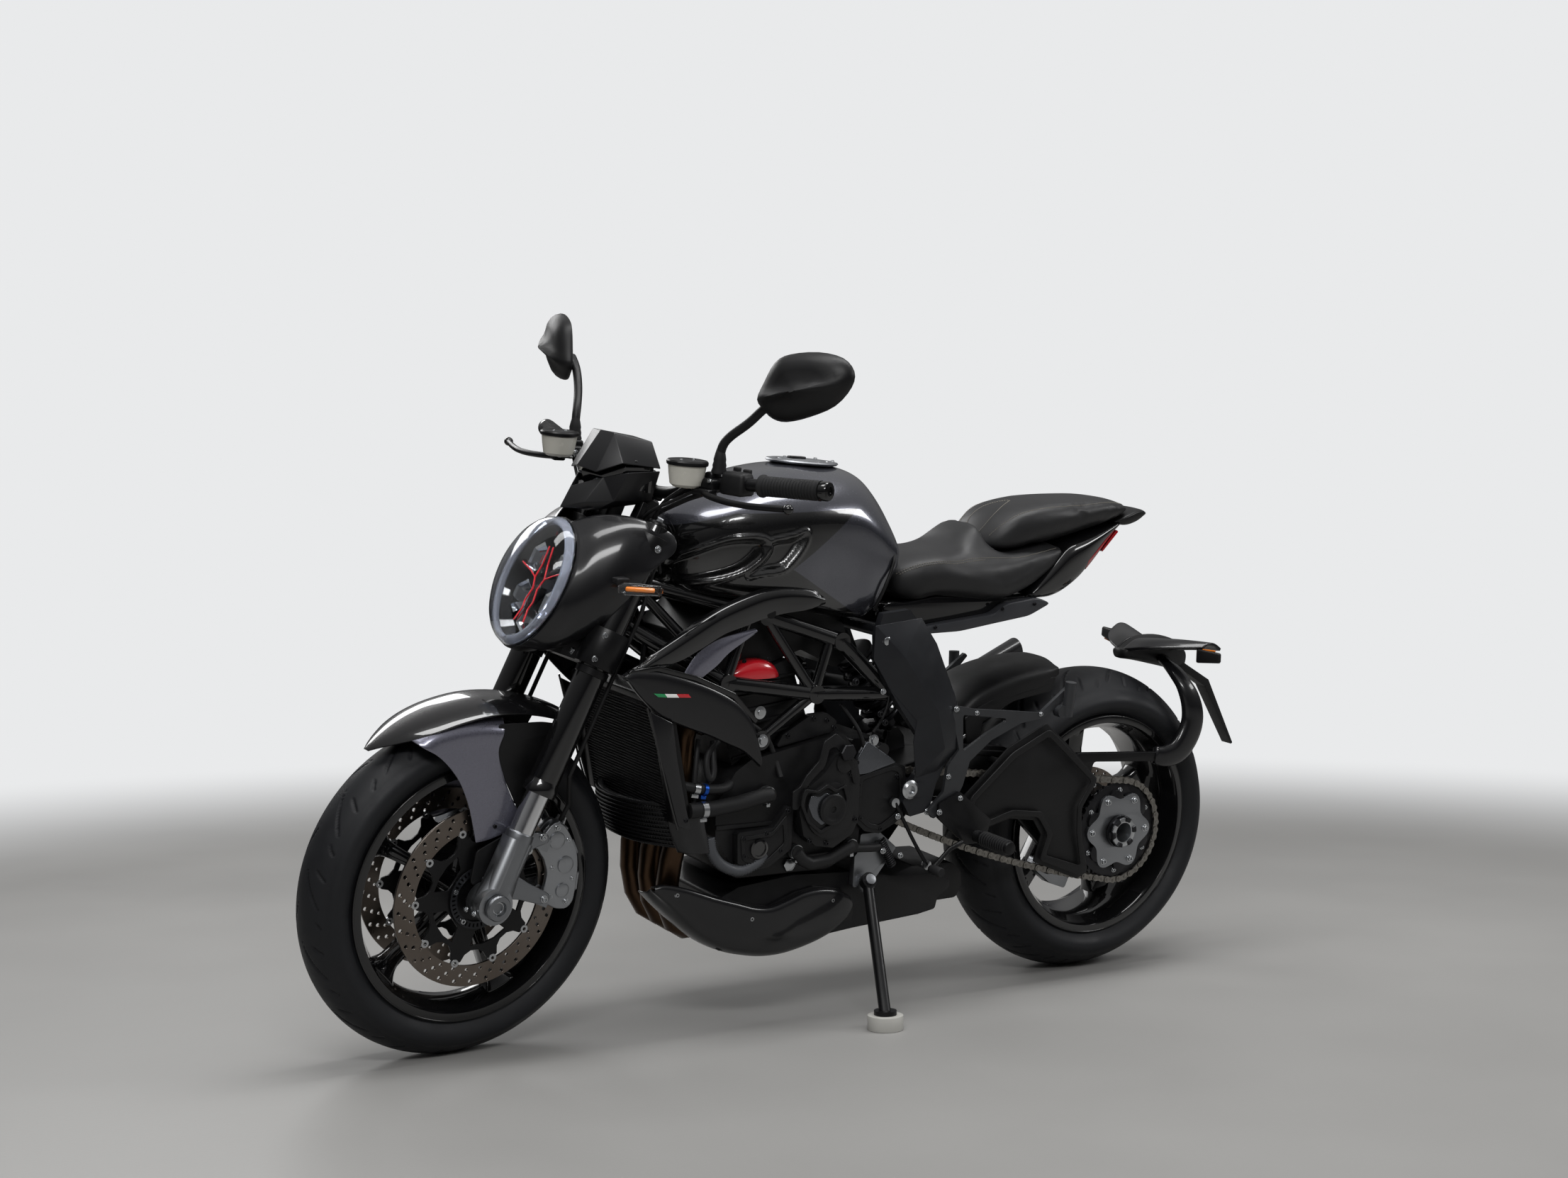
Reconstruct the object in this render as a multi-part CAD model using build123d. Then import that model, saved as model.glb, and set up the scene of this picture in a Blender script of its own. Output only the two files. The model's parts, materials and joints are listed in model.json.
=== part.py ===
from build123d import *
import os
from math import asin, atan2, cos, hypot, pi, radians, sin, sqrt

# A naked three-cylinder sports motorcycle, parked on its side stand with the bars turned a little to the left.
# Millimetres. The machine is modelled upright: +X forward, +Y to its left, +Z up, the rear axle above X = 0 and
# the ground at Z = 0. The front end is then turned about the steering axis and everything leaned to the left.

# ---------------------------------------------------------------- chassis geometry
WHEELBASE = 1400.0
RAKE = 24.0
TRAIL = 103.5
LEAN = 7.0
STEER = 6.0
CLEAR = 0.3
BASE_X = 640.2
BASE_Y = 147.9

# ---------------------------------------------------------------- tyres and wheels
FRONT_TYRE = {"radius": 300.0, "crown": 60.0, "crown_half": 48.0, "half": 60.0, "widest": 257.0, "bead": 45.0}
REAR_TYRE = {"radius": 316.0, "crown": 108.0, "crown_half": 80.0, "half": 99.0, "widest": 256.0, "bead": 78.0}
BEAD_RADIUS = 216.0
CARCASS = 9.0
FLANGE = 13.0
RIM_WALL = 6.0
SPOKES = 5
FRONT_DISC_RADIUS = 160.0
FRONT_DISC_Y = 64.0
REAR_DISC_RADIUS = 110.0
DISC_THICKNESS = 5.0

# ---------------------------------------------------------------- final drive
SPROCKET_Y = 131.0
SPROCKET_TEETH = 41
CHAIN_PITCH = 15.875
CHAIN_WIDTH = 17.0
DRIVE_TEETH = 16
DRIVE_CENTRE = (600.0, 442.0)
CHAIN_SAG = 20.0
SHROUD_Y = 166.3
SWING_PIVOT = (540.0, 447.0)
PIVOT_RADIUS = 15.0
AXLE_BORE = 20.0
FRONT_AXLE_RADIUS = 13
FRONT_AXLE_BORE = 9
AXLE_RADIUS = 30.0

# ---------------------------------------------------------------- front fork
FORK_OFFSET = 27.5
FORK_HALF = 105.6
FORK_TUBE = 55.0
FORK_SLIDER = 43.0
FORK_TOP = 707.0
FORK_TUBE_END = 208.0
FOOT_TOP = 118.0
LOWER_CLAMP = (440.0, 508.0)
UPPER_CLAMP = (655.0, 688.0)

# ---------------------------------------------------------------- side stand and its puck
PUCK_RADIUS = 33.0
PUCK_HEIGHT = 27.0
FOOT_X = 674.0
FOOT_Y = 300.0
STAND_PIVOT = (636.0, 160.0, 276.0)
STAND_FOLDED = (-0.98, 0.17, -0.08)
STAND_BOLT = 6.0
EYE_HALF = 8.0

# ---------------------------------------------------------------- frames of reference
SIN_RAKE = sin(radians(RAKE))
COS_RAKE = cos(radians(RAKE))
AXIS_UP = Vector(-SIN_RAKE, 0, COS_RAKE)
STEER_AXIS = Axis((WHEELBASE + TRAIL, 0, 0), AXIS_UP)


def lean(point):
    """Where an upright point lies once the machine leans to its left."""
    x, y, z = point
    angle = radians(LEAN)
    return (x, y * cos(angle) + z * sin(angle), -y * sin(angle) + z * cos(angle))


def unlean(point):
    """The upright point that comes to this place on the parked machine."""
    x, y, z = point
    angle = radians(LEAN)
    return (x, y * cos(angle) - z * sin(angle), y * sin(angle) + z * cos(angle))


def touch_height(tyre):
    """Height of an upright hub whose leaned tyre just touches the ground."""
    return tyre["radius"] + tyre["crown"] * (1 / cos(radians(LEAN)) - 1)


def front_drop():
    """How far the front wheel slides along the fork so that its turned and leaned tyre touches the ground."""
    hub = Vector(WHEELBASE, 0, FRONT_TYRE["radius"])
    turned = hub - STEER_AXIS.position
    turned = turned.rotate(Axis((0, 0, 0), AXIS_UP), STEER) + STEER_AXIS.position
    spin = Vector(0, 1, 0).rotate(Axis((0, 0, 0), AXIS_UP), STEER)
    hub_z = lean(tuple(turned))[2]
    spin_z = lean(tuple(spin))[2]
    centre_line = FRONT_TYRE["radius"] - FRONT_TYRE["crown"]
    lowest = hub_z - centre_line * sqrt(1 - spin_z**2) - FRONT_TYRE["crown"]
    return -lowest / (COS_RAKE * cos(radians(LEAN)))


REAR_HUB = Vector(0, 0, touch_height(REAR_TYRE))
FRONT_DROP = front_drop()
FRONT_HUB = Vector(WHEELBASE, 0, FRONT_TYRE["radius"]) + AXIS_UP * FRONT_DROP
# The fork's own frame: origin at the front axle, X ahead of the fork, Y left, Z up along the tubes.
FORK = Plane(origin=(WHEELBASE, 0, FRONT_TYRE["radius"]), x_dir=(COS_RAKE, 0, SIN_RAKE), z_dir=tuple(AXIS_UP))
UNSPRUNG = Plane(origin=tuple(FRONT_HUB), x_dir=(COS_RAKE, 0, SIN_RAKE), z_dir=tuple(AXIS_UP))


# ---------------------------------------------------------------- building blocks
def outline(points, radius):
    """A closed outline with rounded corners."""
    return FilletPolyline(*points, radius=radius, close=True)


def side_plate(shape, inner, outer):
    """A side-view outline given a thickness from Y = inner to Y = outer."""
    return extrude(Plane.XZ.offset(-inner) * make_face(shape), amount=-(outer - inner))


def pair(shape):
    """The piece and its mirror image on the other side of the machine."""
    return shape + mirror(shape, about=Plane.XZ)


def rod(start, end, diameter):
    """A round bar between two points."""
    way = Vector(*end) - Vector(*start)
    return extrude(Plane(origin=start, z_dir=tuple(way)) * Circle(diameter / 2), amount=way.length)


def tube_path(points, diameter):
    """A round bar along straight runs that meet at mitres."""
    path = Polyline(*points)
    return sweep(Plane(origin=path @ 0, z_dir=path % 0) * Circle(diameter / 2), path=path,
                 transition=Transition.RIGHT)


def clipped(shape, plan):
    """A side-plate form narrowed to a plan-view half outline of (x, y) points, the same on both sides."""
    other = [(x, -y) for x, y in reversed(plan)]
    return shape & extrude(Plane.XY.offset(-50) * make_face(Polyline(*plan, *other, close=True)), amount=1500)


def ring(centre, y_inner, y_outer, outer_radius, inner_radius=0.0):
    """A disc or washer across the machine, seen round from the side."""
    plane = Plane.XZ.offset(-y_inner)
    face = Circle(outer_radius)
    if inner_radius > 0:
        face -= Circle(inner_radius)
    face = plane * (Pos(centre[0], centre[1]) * face)
    return extrude(face, amount=-(y_outer - y_inner))


def section_loft(stations):
    """A form through closed curves on planes across X; each station is (x, half outline from top to bottom)."""
    faces = []
    for x, half in stations:
        left = [(y, z) for y, z in half]
        right = [(-y, z) for y, z in reversed(half) if y > 0]
        curve = Spline(*left, *right, periodic=True)
        faces.append(Plane.YZ.offset(x) * make_face(curve))
    return loft(faces, ruled=True)


def turned_plane(hub):
    """A plane through a hub whose local X is the radius and local Y runs along the axle to the left."""
    return Plane(origin=tuple(hub), x_dir=(0, 0, 1), z_dir=(-1, 0, 0))


# ---------------------------------------------------------------- wheels
def tyre(hub, size):
    """A carcass with round crown and pinched-in beads, open towards the rim."""
    reach = asin(size["crown_half"] / size["crown"])
    skin = [(BEAD_RADIUS + CLEAR, size["bead"], pi / 2), (BEAD_RADIUS + FLANGE + 2, size["bead"], pi / 2),
            (size["widest"], size["half"], pi / 2)]
    for share in (1, 0.5, 0):
        angle = reach * share
        skin.append((size["radius"] - size["crown"] * (1 - cos(angle)), size["crown"] * sin(angle), angle))
    outer = [(r, y) for r, y, angle in skin]
    inner = [(r - CARCASS * cos(angle), y - CARCASS * sin(angle)) for r, y, angle in skin if (r, y) != outer[1]]
    outer += [(r, -y) for r, y in reversed(outer[:-1])]
    inner += [(r, -y) for r, y in reversed(inner[:-1])]
    profile = turned_plane(hub) * make_face(Polyline(*outer, *reversed(inner), close=True))
    return revolve(profile, axis=Axis(tuple(hub), (0, 1, 0)))


def rim_barrel(hub, bead_half):
    """The rim's band: flanges, bead seats and the drop centre between them."""
    h = bead_half + CLEAR
    top = BEAD_RADIUS + FLANGE
    well = BEAD_RADIUS - 14
    under = BEAD_RADIUS - RIM_WALL
    half = [(well - RIM_WALL, h - 34), (under - 4, h - 12), (under + 4, h + 7), (top, h + 6), (top, h),
            (BEAD_RADIUS, h), (BEAD_RADIUS, h - 14), (well, h - 30)]
    points = half + [(r, -y) for r, y in reversed(half)]
    profile = turned_plane(hub) * make_face(Polyline(*points, close=True))
    return revolve(profile, axis=Axis(tuple(hub), (0, 1, 0)))


def spoke(hub, angle, near, far, y_range):
    """One spoke, waisted between hub and rim: near and far are (radius, width), its faces at the two Ys."""
    waist = 0.62 * min(near[1], far[1])
    middle = (2 * near[0] + 3 * far[0]) / 5
    points = [(near[0], near[1] / 2), (middle, waist / 2), (far[0] - 12, waist / 2 + 2), (far[0], far[1] / 2),
              (far[0], -far[1] / 2), (far[0] - 12, -waist / 2 - 2), (middle, -waist / 2), (near[0], -near[1] / 2)]
    blank = Rot(0, 0, angle) * make_face(Polyline(*points, close=True))
    plane = Plane.XZ.offset(-y_range[0])
    return extrude(plane * (Pos(hub.X, hub.Z) * blank), amount=-(y_range[1] - y_range[0]))


def front_rim():
    wheel = rim_barrel(FRONT_HUB, FRONT_TYRE["bead"])
    wheel += ring((FRONT_HUB.X, FRONT_HUB.Z), -46, 46, 32, 14)
    reach = BEAD_RADIUS - 14 - RIM_WALL + 2
    for number in range(SPOKES):
        angle = 30 + number * 360 / SPOKES
        wheel += spoke(FRONT_HUB, angle, (26, 36), (reach, 44), (-14, 14))
    return wheel


def disc(hub, y, radius, inner, boss, bore, arms=5):
    """A brake disc on its spider, bolted to the hub."""
    middle = (hub.X, hub.Z)
    rotor = ring(middle, y - DISC_THICKNESS / 2, y + DISC_THICKNESS / 2, radius, inner)
    web = Circle(boss) - Circle(bore)
    arm = Pos((boss + inner) / 2, 0) * Rectangle(inner - boss + 12, 12)
    for number in range(arms):
        web += Rot(0, 0, 360 / arms * number) * arm
    plane = Plane.XZ.offset(-(y - 3))
    return rotor + extrude(plane * (Pos(*middle) * web), amount=-6)


def front_discs():
    middle = (FRONT_HUB.X, FRONT_HUB.Z)
    left = disc(FRONT_HUB, FRONT_DISC_Y, FRONT_DISC_RADIUS, 122, 62, 22, 10)
    left += ring(middle, 46 + CLEAR, FRONT_DISC_Y - 3, 40, 22)
    return pair(left)


def rear_rim():
    wheel = rim_barrel(REAR_HUB, REAR_TYRE["bead"])
    wheel += ring((REAR_HUB.X, REAR_HUB.Z), -62, 14, 58, AXLE_RADIUS + CLEAR)
    reach = BEAD_RADIUS - 14 - RIM_WALL + 2
    for number in range(SPOKES):
        angle = 20 + number * 360 / SPOKES
        wheel += spoke(REAR_HUB, angle, (50, 60), (reach, 58), (-56, -18))
    return wheel


def rear_axle():
    """The hollow axle that turns in the swingarm and carries wheel and sprocket, with its wheel nut."""
    middle = (REAR_HUB.X, REAR_HUB.Z)
    shaft = ring(middle, -74, SPROCKET_Y + 26, AXLE_RADIUS, AXLE_BORE)
    nut = ring(middle, -84, -62 - CLEAR, 46, AXLE_BORE)
    return shaft + nut


def sprocket():
    """The toothed ring on its six-lobed carrier."""
    middle = (REAR_HUB.X, REAR_HUB.Z)
    pitch_radius = CHAIN_PITCH / 2 / sin(pi / SPROCKET_TEETH)
    root = pitch_radius - 5.2
    tip = pitch_radius - 0.4
    half_pitch = pi / SPROCKET_TEETH
    points = []
    for number in range(SPROCKET_TEETH):
        for radius, share in ((root, -0.5), (root, 0.5), (tip, 0.85), (tip, 1.15)):
            angle = 2 * half_pitch * number + half_pitch * share
            points.append((REAR_HUB.X + radius * cos(angle), REAR_HUB.Z + radius * sin(angle)))
    teeth = side_plate(Polyline(*points, close=True), SPROCKET_Y - 3.5, SPROCKET_Y + 3.5)
    teeth -= ring(middle, SPROCKET_Y - 10, SPROCKET_Y + 10, 74)
    star = Circle(52)
    for number in range(6):
        star += Rot(0, 0, 60 * number + 20) * (Pos(66, 0) * Circle(19))
    star -= Circle(AXLE_RADIUS + CLEAR)
    plane = Plane.XZ.offset(-(SPROCKET_Y + 3.5))
    carrier = extrude(plane * (Pos(*middle) * star), amount=-6)
    return teeth + carrier + ring(middle, SPROCKET_Y - 6, SPROCKET_Y + 3.5, 50, AXLE_RADIUS + CLEAR)


def rear_disc():
    middle = (REAR_HUB.X, REAR_HUB.Z)
    bore = AXLE_RADIUS + CLEAR
    return disc(REAR_HUB, 32, REAR_DISC_RADIUS, 78, 58, bore) + ring(middle, 14 + CLEAR, 29, 50, bore)


# ---------------------------------------------------------------- fork, clamps and what rides on them
def fork_tubes():
    tube = Pos(0, FORK_HALF, FORK_TUBE_END) * Cylinder(
        FORK_TUBE / 2 - CLEAR, FORK_TOP - FORK_TUBE_END, align=(Align.CENTER, Align.CENTER, Align.MIN)
    )
    return FORK * pair(tube)


def fork_legs():
    """Polished sliders and cast feet with the axle clamps and caliper lugs."""
    leg = Pos(0, FORK_HALF, -6) * extrude(RectangleRounded(50, 44, 14), amount=FOOT_TOP + 6)
    leg += Pos(0, FORK_HALF, FOOT_TOP) * Cylinder(
        FORK_SLIDER / 2, FORK_TUBE_END - CLEAR - FRONT_DROP - FOOT_TOP, align=(Align.CENTER, Align.CENTER, Align.MIN)
    )
    leg += extrude(Plane.XZ.offset(-(FORK_HALF - 22)) * Circle(33), amount=-44)
    leg += Pos(-44, FORK_HALF - 18, 126) * Box(64, 14, 22)
    leg += Pos(-68, FORK_HALF - 18, 36) * Box(110, 14, 22)
    leg += mirror(leg, about=Plane.XZ)
    leg -= extrude(Plane.XZ.offset(200) * Circle(FRONT_AXLE_RADIUS), amount=-400)
    return UNSPRUNG * leg


def front_axle():
    """The hollow axle clamped in both fork feet, standing proud of them at each end."""
    reach = FORK_HALF + 30
    section = Circle(FRONT_AXLE_RADIUS) - Circle(FRONT_AXLE_BORE)
    return UNSPRUNG * extrude(Plane.XZ.offset(reach) * section, amount=-2 * reach)


def clamps():
    """Upper and lower fork clamps and the steering stem between them."""
    parts = []
    for low, high in (LOWER_CLAMP, UPPER_CLAMP):
        blank = outline(
            [(30, FORK_HALF - 20), (30, FORK_HALF + 20), (-12, FORK_HALF + 34), (-34, FORK_HALF + 14),
             (-62, 30), (-62, -30), (-34, -FORK_HALF - 14), (-12, -FORK_HALF - 34), (30, -FORK_HALF - 20),
             (30, -FORK_HALF + 20), (12, -FORK_HALF + 46), (4, 0), (12, FORK_HALF - 46)], 10
        )
        plate = extrude(Plane.XY.offset(low) * make_face(blank), amount=high - low)
        for y in (-FORK_HALF, FORK_HALF):
            plate += Pos(0, y, low) * Cylinder(
                FORK_TUBE / 2 + 10, high - low, align=(Align.CENTER, Align.CENTER, Align.MIN)
            )
            plate -= Pos(0, y, low - 5) * Cylinder(
                FORK_TUBE / 2, high - low + 10, align=(Align.CENTER, Align.CENTER, Align.MIN)
            )
        parts.append(plate)
    stem = Pos(-FORK_OFFSET, 0, LOWER_CLAMP[0]) * Cylinder(
        15, UPPER_CLAMP[1] - LOWER_CLAMP[0], align=(Align.CENTER, Align.CENTER, Align.MIN)
    )
    return FORK * (parts[0] + parts[1] + stem)


def calipers():
    """Two radial four-piston front calipers that straddle the discs."""
    shape = outline([(-56, 112), (-76, 172), (-120, 158), (-166, 108), (-184, 46), (-150, 26), (-112, 32),
                     (-108, 70), (-84, 104)], 8)
    inner = FRONT_DISC_Y - 20
    outer = FORK_HALF - 25 - CLEAR
    body = extrude(Plane.XZ.offset(-inner) * make_face(shape), amount=-(outer - inner))
    gap = DISC_THICKNESS / 2 + 2
    body -= extrude(Plane.XZ.offset(-(FRONT_DISC_Y - gap)) * Circle(FRONT_DISC_RADIUS + 4), amount=-2 * gap)
    return UNSPRUNG * pair(body)


def arch_shell(centre, radius, half, side_drop, wall, start, end):
    """A crowned strip bent round a wheel, from one angle to another, its sides lower than its crown."""
    outer = [(radius - side_drop, -half), (radius - side_drop * 0.3, -half * 0.62), (radius, -half * 0.2)]
    outer += [(r, -y) for r, y in reversed(outer)]
    inner = [(r - wall, y * (1 - wall / half)) for r, y in outer]
    profile = make_face(Polyline(*outer, *reversed(inner), close=True))
    plane = Plane(origin=(centre[0], 0, centre[1]), x_dir=(1, 0, 0), z_dir=(0, 0, -1))
    axis = Axis((centre[0], 0, centre[1]), (0, -1, 0))
    return revolve(plane * profile, axis=axis, revolution_arc=end - start).rotate(axis, start)


def fender():
    """The short front mudguard: a crowned strip bent round the tyre, drawn out to a point in front."""
    shell = arch_shell((1368, 286), 355, 76, 30, 4, 56, 117)
    tip = [(1640, 0), (1565, 26), (1520, 60), (1470, 78), (1180, 78)]
    return Pos(*(AXIS_UP * FRONT_DROP)) * clipped(shell, tip)


def fender_sides():
    """The side panels that carry the mudguard from the fork feet, each with its plain rear part."""
    shape = outline(
        [(1545, 586), (1500, 606), (1430, 616), (1372, 612), (1392, 562), (1334, 440), (1344, 416),
         (1416, 386), (1432, 455), (1482, 555)], [4, 20, 20, 5, 12, 6, 6, 6, 30, 40]
    )
    panel = side_plate(shape, 76.5, 80.3)
    rear = outline([(1388, 608), (1300, 606), (1214, 590), (1250, 530), (1290, 500), (1330, 436), (1396, 560)], 6)
    strut = side_plate(rear, 76.4, 78)
    strut += side_plate(outline([(1344, 416), (1416, 386), (1424, 332), (1400, 321), (1372, 332)], 5), 76.5, 80.3)
    strut += ring((1398, 331), 80, 83.6 - CLEAR, 9)
    return Pos(*(AXIS_UP * FRONT_DROP)) * pair(panel + strut)


def handlebar():
    riser = Pos(-4, 48, UPPER_CLAMP[1] + CLEAR) * Box(34, 30, 88, align=(Align.CENTER, Align.CENTER, Align.MIN))
    return bar_line(22) + FORK * pair(riser)


def grips():
    start = Vector(1009, 437, 1055)
    inner = Vector(1085, 215, 1040)
    way = (start - inner).normalized()
    plane = Plane(origin=tuple(start - way * 130), z_dir=tuple(way))
    grip = plane * (Cylinder(16.5, 118, align=(Align.CENTER, Align.CENTER, Align.MIN)) - Cylinder(
        11 + CLEAR, 300
    ))
    return pair(grip)


def bar_line(diameter):
    """The handlebar's centre line as a solid of this diameter: a bent tube swept back to the grips."""
    half = [(1085, 70, 1000), (1092, 150, 1018), (1085, 215, 1040), (1009, 437, 1055)]
    points = [(x, -y, z) for x, y, z in reversed(half)] + half
    return tube_path(points, diameter)


def switchgear():
    """Switch boxes, lever perches and the levers."""
    box = Pos(1066, 268, 1044) * Rot(0, 0, 17) * Box(44, 50, 42)
    perch = Pos(1086, 221, 1040) * Rot(0, 0, 17) * Box(40, 44, 26)
    arm = Pos(1104, 236, 1028) * Rot(0, 0, 17) * Box(24, 22, 14)
    lever = tube_path([(1105, 232, 1026), (1122, 270, 1022), (1123, 330, 1021), (1110, 390, 1022),
                       (1092, 436, 1026)], 12)
    lever += rod((1093, 428, 1026), (1089, 443, 1026.5), 17)
    holes = bar_line(22 + 2 * CLEAR) + reservoir_pot(CLEAR)
    return pair(box + perch + arm + lever - holes)


def reservoir_pot(grow=0.0):
    return Pos(1127, 203, 1052) * (Cylinder(25 + grow, 32 + 2 * grow) + Pos(0, 0, 20) * Cylinder(27 + grow, 9 + 2 * grow))


def reservoirs():
    return pair(reservoir_pot())


def mirrors():
    """Mirror heads on bent stems, their outer ends set back to face the rider."""
    stem = tube_path([(1078, 228, 1053 + CLEAR), (1078, 228, 1088), (1068, 240, 1112), (1044, 278, 1160),
                      (1036, 300, 1184), (1030, 330, 1200)], 13)
    front = [(-70, -12), (-52, 26), (-8, 43), (64, 46), (98, 34), (102, 14), (66, -22), (10, -46), (-46, -42)]
    back = [(y * 0.66 + 6, z * 0.62) for y, z in front]
    glass = Plane(origin=(1024, 360, 1216), x_dir=(-0.35, 0.9, 0.24), z_dir=(-0.93, -0.36, 0))
    head = loft([glass.offset(-34) * make_face(outline(back, 8)), glass.offset(-14) * make_face(outline(front, 9))],
                ruled=True)
    head += extrude(glass.offset(-14) * make_face(outline(front, 9)), amount=14)
    return pair(stem + head)


def lamp_plane(ahead):
    """A plane across the lamp, square to its beam, this far ahead of the lens rim."""
    rim = Plane(origin=(1284, 0, 835), x_dir=(0, 1, 0), z_dir=(COS_RAKE, 0, SIN_RAKE))
    return rim.offset(ahead)


def headlight_shell():
    """The bowl behind the lens, cut square to the lens rim, and the ears that carry it on the fork clamps."""
    bowl = loft([lamp_plane(-78) * Ellipse(58, 78), lamp_plane(-54) * Ellipse(84, 108),
                 lamp_plane(0) * Ellipse(95, 122)], ruled=True)
    outer = FORK_HALF + FORK_TUBE / 2 + 10 + CLEAR
    shape = outline([(1226, 900), (1196, 948), (1094, 936), (1086, 922), (1150, 872), (1190, 812), (1222, 826)], 4)
    ear = side_plate(shape, outer, outer + 4) + ring((1206, 880), 55, outer + 2, 9)
    return bowl + pair(ear)


def headlight_lens():
    """The domed lens over the lamp, in three steps of slope."""
    return loft([lamp_plane(CLEAR) * Ellipse(95, 122), lamp_plane(18) * Ellipse(90, 115),
                 lamp_plane(38) * Ellipse(68, 88), lamp_plane(52) * Ellipse(36, 50)], ruled=True)


def screen_cavity(gap=0.0):
    """The hollow inside the small screen, smaller all round by a gap."""
    halves = [(1099, [(0, 1086), (57, 1081), (88, 1040), (66, 989), (0, 979)]),
              (1165, [(0, 1098), (47, 1094), (80, 1040), (62, 979), (0, 970)]),
              (1213, [(0, 1034), (22, 1025), (39, 1000), (32, 973), (0, 966)])]
    middle = 1035
    shrunk = []
    for x, half in halves:
        reach = max(y for y, z in half)
        share = 1 - gap / reach
        shrunk.append((x, [(y * share, middle + (z - middle) * share) for y, z in half]))
    return section_loft(shrunk)


def flyscreen():
    """The small screen ahead of the instruments, open behind, on two posts from the upper clamp."""
    outside = [(1100, [(0, 1090), (60, 1085), (92, 1040), (70, 985), (0, 975)]),
               (1165, [(0, 1102), (50, 1098), (84, 1040), (66, 975), (0, 966)]),
               (1215, [(0, 1040), (26, 1030), (44, 1000), (36, 968), (0, 960)]),
               (1246, [(0, 974), (8, 971), (12, 966), (8, 961), (0, 959)])]
    shell = section_loft(outside) - screen_cavity() - Pos(1130, 0, 970) * Box(100, 140, 60)
    post = FORK * (Pos(22, 76, UPPER_CLAMP[1] + CLEAR) * Box(12, 8, 50, align=(Align.CENTER, Align.CENTER, Align.MIN)))
    return shell + pair(post)


def instruments():
    """The instrument panel that closes the screen's open back, its face tilted up to the rider."""
    slab = side_plate(Polyline((1106, 1018), (1118, 1014), (1146, 1078), (1134, 1083), close=True), -100, 100)
    return slab & screen_cavity(2 * CLEAR)


def brake_lines():
    """Front brake lines behind the fork tubes, from the upper clamp to the calipers."""
    line = tube_path([(-33, FORK_HALF, UPPER_CLAMP[0] - CLEAR), (-33, FORK_HALF, 630), (-46, FORK_HALF, 560),
                      (-46, FORK_HALF, 250), (-98, 66, 205), (-98, 62, 166.6)], 8)
    return FORK * pair(line)


def front_indicators():
    """Indicator pills on short stalks outside the headlight ears."""
    pill = rod((1215, 158, 849), (1168, 213, 853), 22)
    root = FORK_HALF + FORK_TUBE / 2 + 14 + 2 * CLEAR
    stalk = rod((1208, root, 862), (1208, 162, 862), 14)
    return pair(pill + stalk)


# ---------------------------------------------------------------- frame
def head_point(height, back=0.0, left=0.0):
    """A point beside the steering head, measured in the fork's frame from the steering axis."""
    return tuple(FORK.from_local_coords(Vector(-FORK_OFFSET - back, left, height)))


def frame_tubes(grow=0.0):
    """The trellis tubes of one side, on their centre lines, with the cast nodes where they meet."""
    u0, u1, u2, u3 = head_point(610, 26, 22), (880, 126, 782), (723, 140, 733), (620, 140, 645)
    l0, l1, l2, l3 = head_point(536, 26, 22), (955, 128, 662), (770, 138, 636), (612, 140, 630)
    mount = (881, 134, 556)
    tubes = rod(u0, u1, 28 + grow)
    for start, end in ((u1, u2), (u2, u3), (l0, l1), (l1, l2), (l2, l3)):
        tubes += rod(start, end, 28 + grow)
    for start, end in ((u1, l2), (l2, (741, 138, 739)), (l1, (905, 118, 790)), (l1, u0), (l2, mount)):
        tubes += rod(start, end, 20 + grow)
    for x, y, z in (u1, u2, l1, l2):
        tubes += ring((x, z), y - 13 - grow / 2, y + 13 + grow / 2, 17 + grow / 2)
    return tubes


def main_frame():
    """The steel-tube trellis with its steering head."""
    low = head_point(LOWER_CLAMP[1] + 3)
    high = head_point(UPPER_CLAMP[0] - 3)
    frame = pair(frame_tubes())
    frame += rod(low, high, 60)
    frame += rod((745, -138, 739), (745, 138, 739), 24)
    frame += pair(ring((881, 556), 124, 144, 18))
    return frame - rod(head_point(LOWER_CLAMP[0]), head_point(UPPER_CLAMP[1]), 32)


def frame_plates():
    """Cast plates that carry the swingarm spindle between the trellis, seat and engine."""
    shape = outline(
        [(648, 786), (588, 792), (562, 765), (552, 715), (520, 692), (530, 660), (494, 622), (456, 602),
         (450, 555), (500, 455), (512, 404), (556, 396), (575, 425), (552, 470), (530, 505),
         (540, 540), (590, 600), (628, 650), (656, 700), (660, 745)], 3
    )
    plates = pair(side_plate(shape, 154 + CLEAR, 170))
    plates += ring(SWING_PIVOT, -172, 172, PIVOT_RADIUS)
    return plates + ring((626, 748), -156, 156, 12)


# ---------------------------------------------------------------- engine
def engine_block():
    """Crankcase and inclined cylinders as one plain mass, stepped in where the chain runs."""
    case = side_plate(outline(
        [(650, 335), (930, 330), (965, 380), (968, 440), (930, 500), (900, 520), (700, 560), (650, 500)], 12),
        -140, 140)
    case += side_plate(outline([(584, 360), (600, 338), (660, 335), (660, 540), (600, 540), (584, 490)], 6), -112, 112)
    barrels = side_plate(outline([(740, 520), (910, 470), (968, 640), (810, 700)], 8), -112, 112)
    small = CHAIN_PITCH / 2 / sin(pi / DRIVE_TEETH)
    drive = ring(DRIVE_CENTRE, 100, 139, 18) + ring(DRIVE_CENTRE, SPROCKET_Y - 3.5, SPROCKET_Y + 3.5, small + 1 - CLEAR)
    lugs = ring((881, 556), 100, 124 - CLEAR, 20) + ring((616, 524), 100, 154, 13)
    ports = rod((930, 78, 600), (966, 78, 592), 56)
    middle_port = rod((930, 0, 600), (966, 0, 592), 56)
    return case + barrels + drive + pair(lugs + ports) + middle_port


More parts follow.
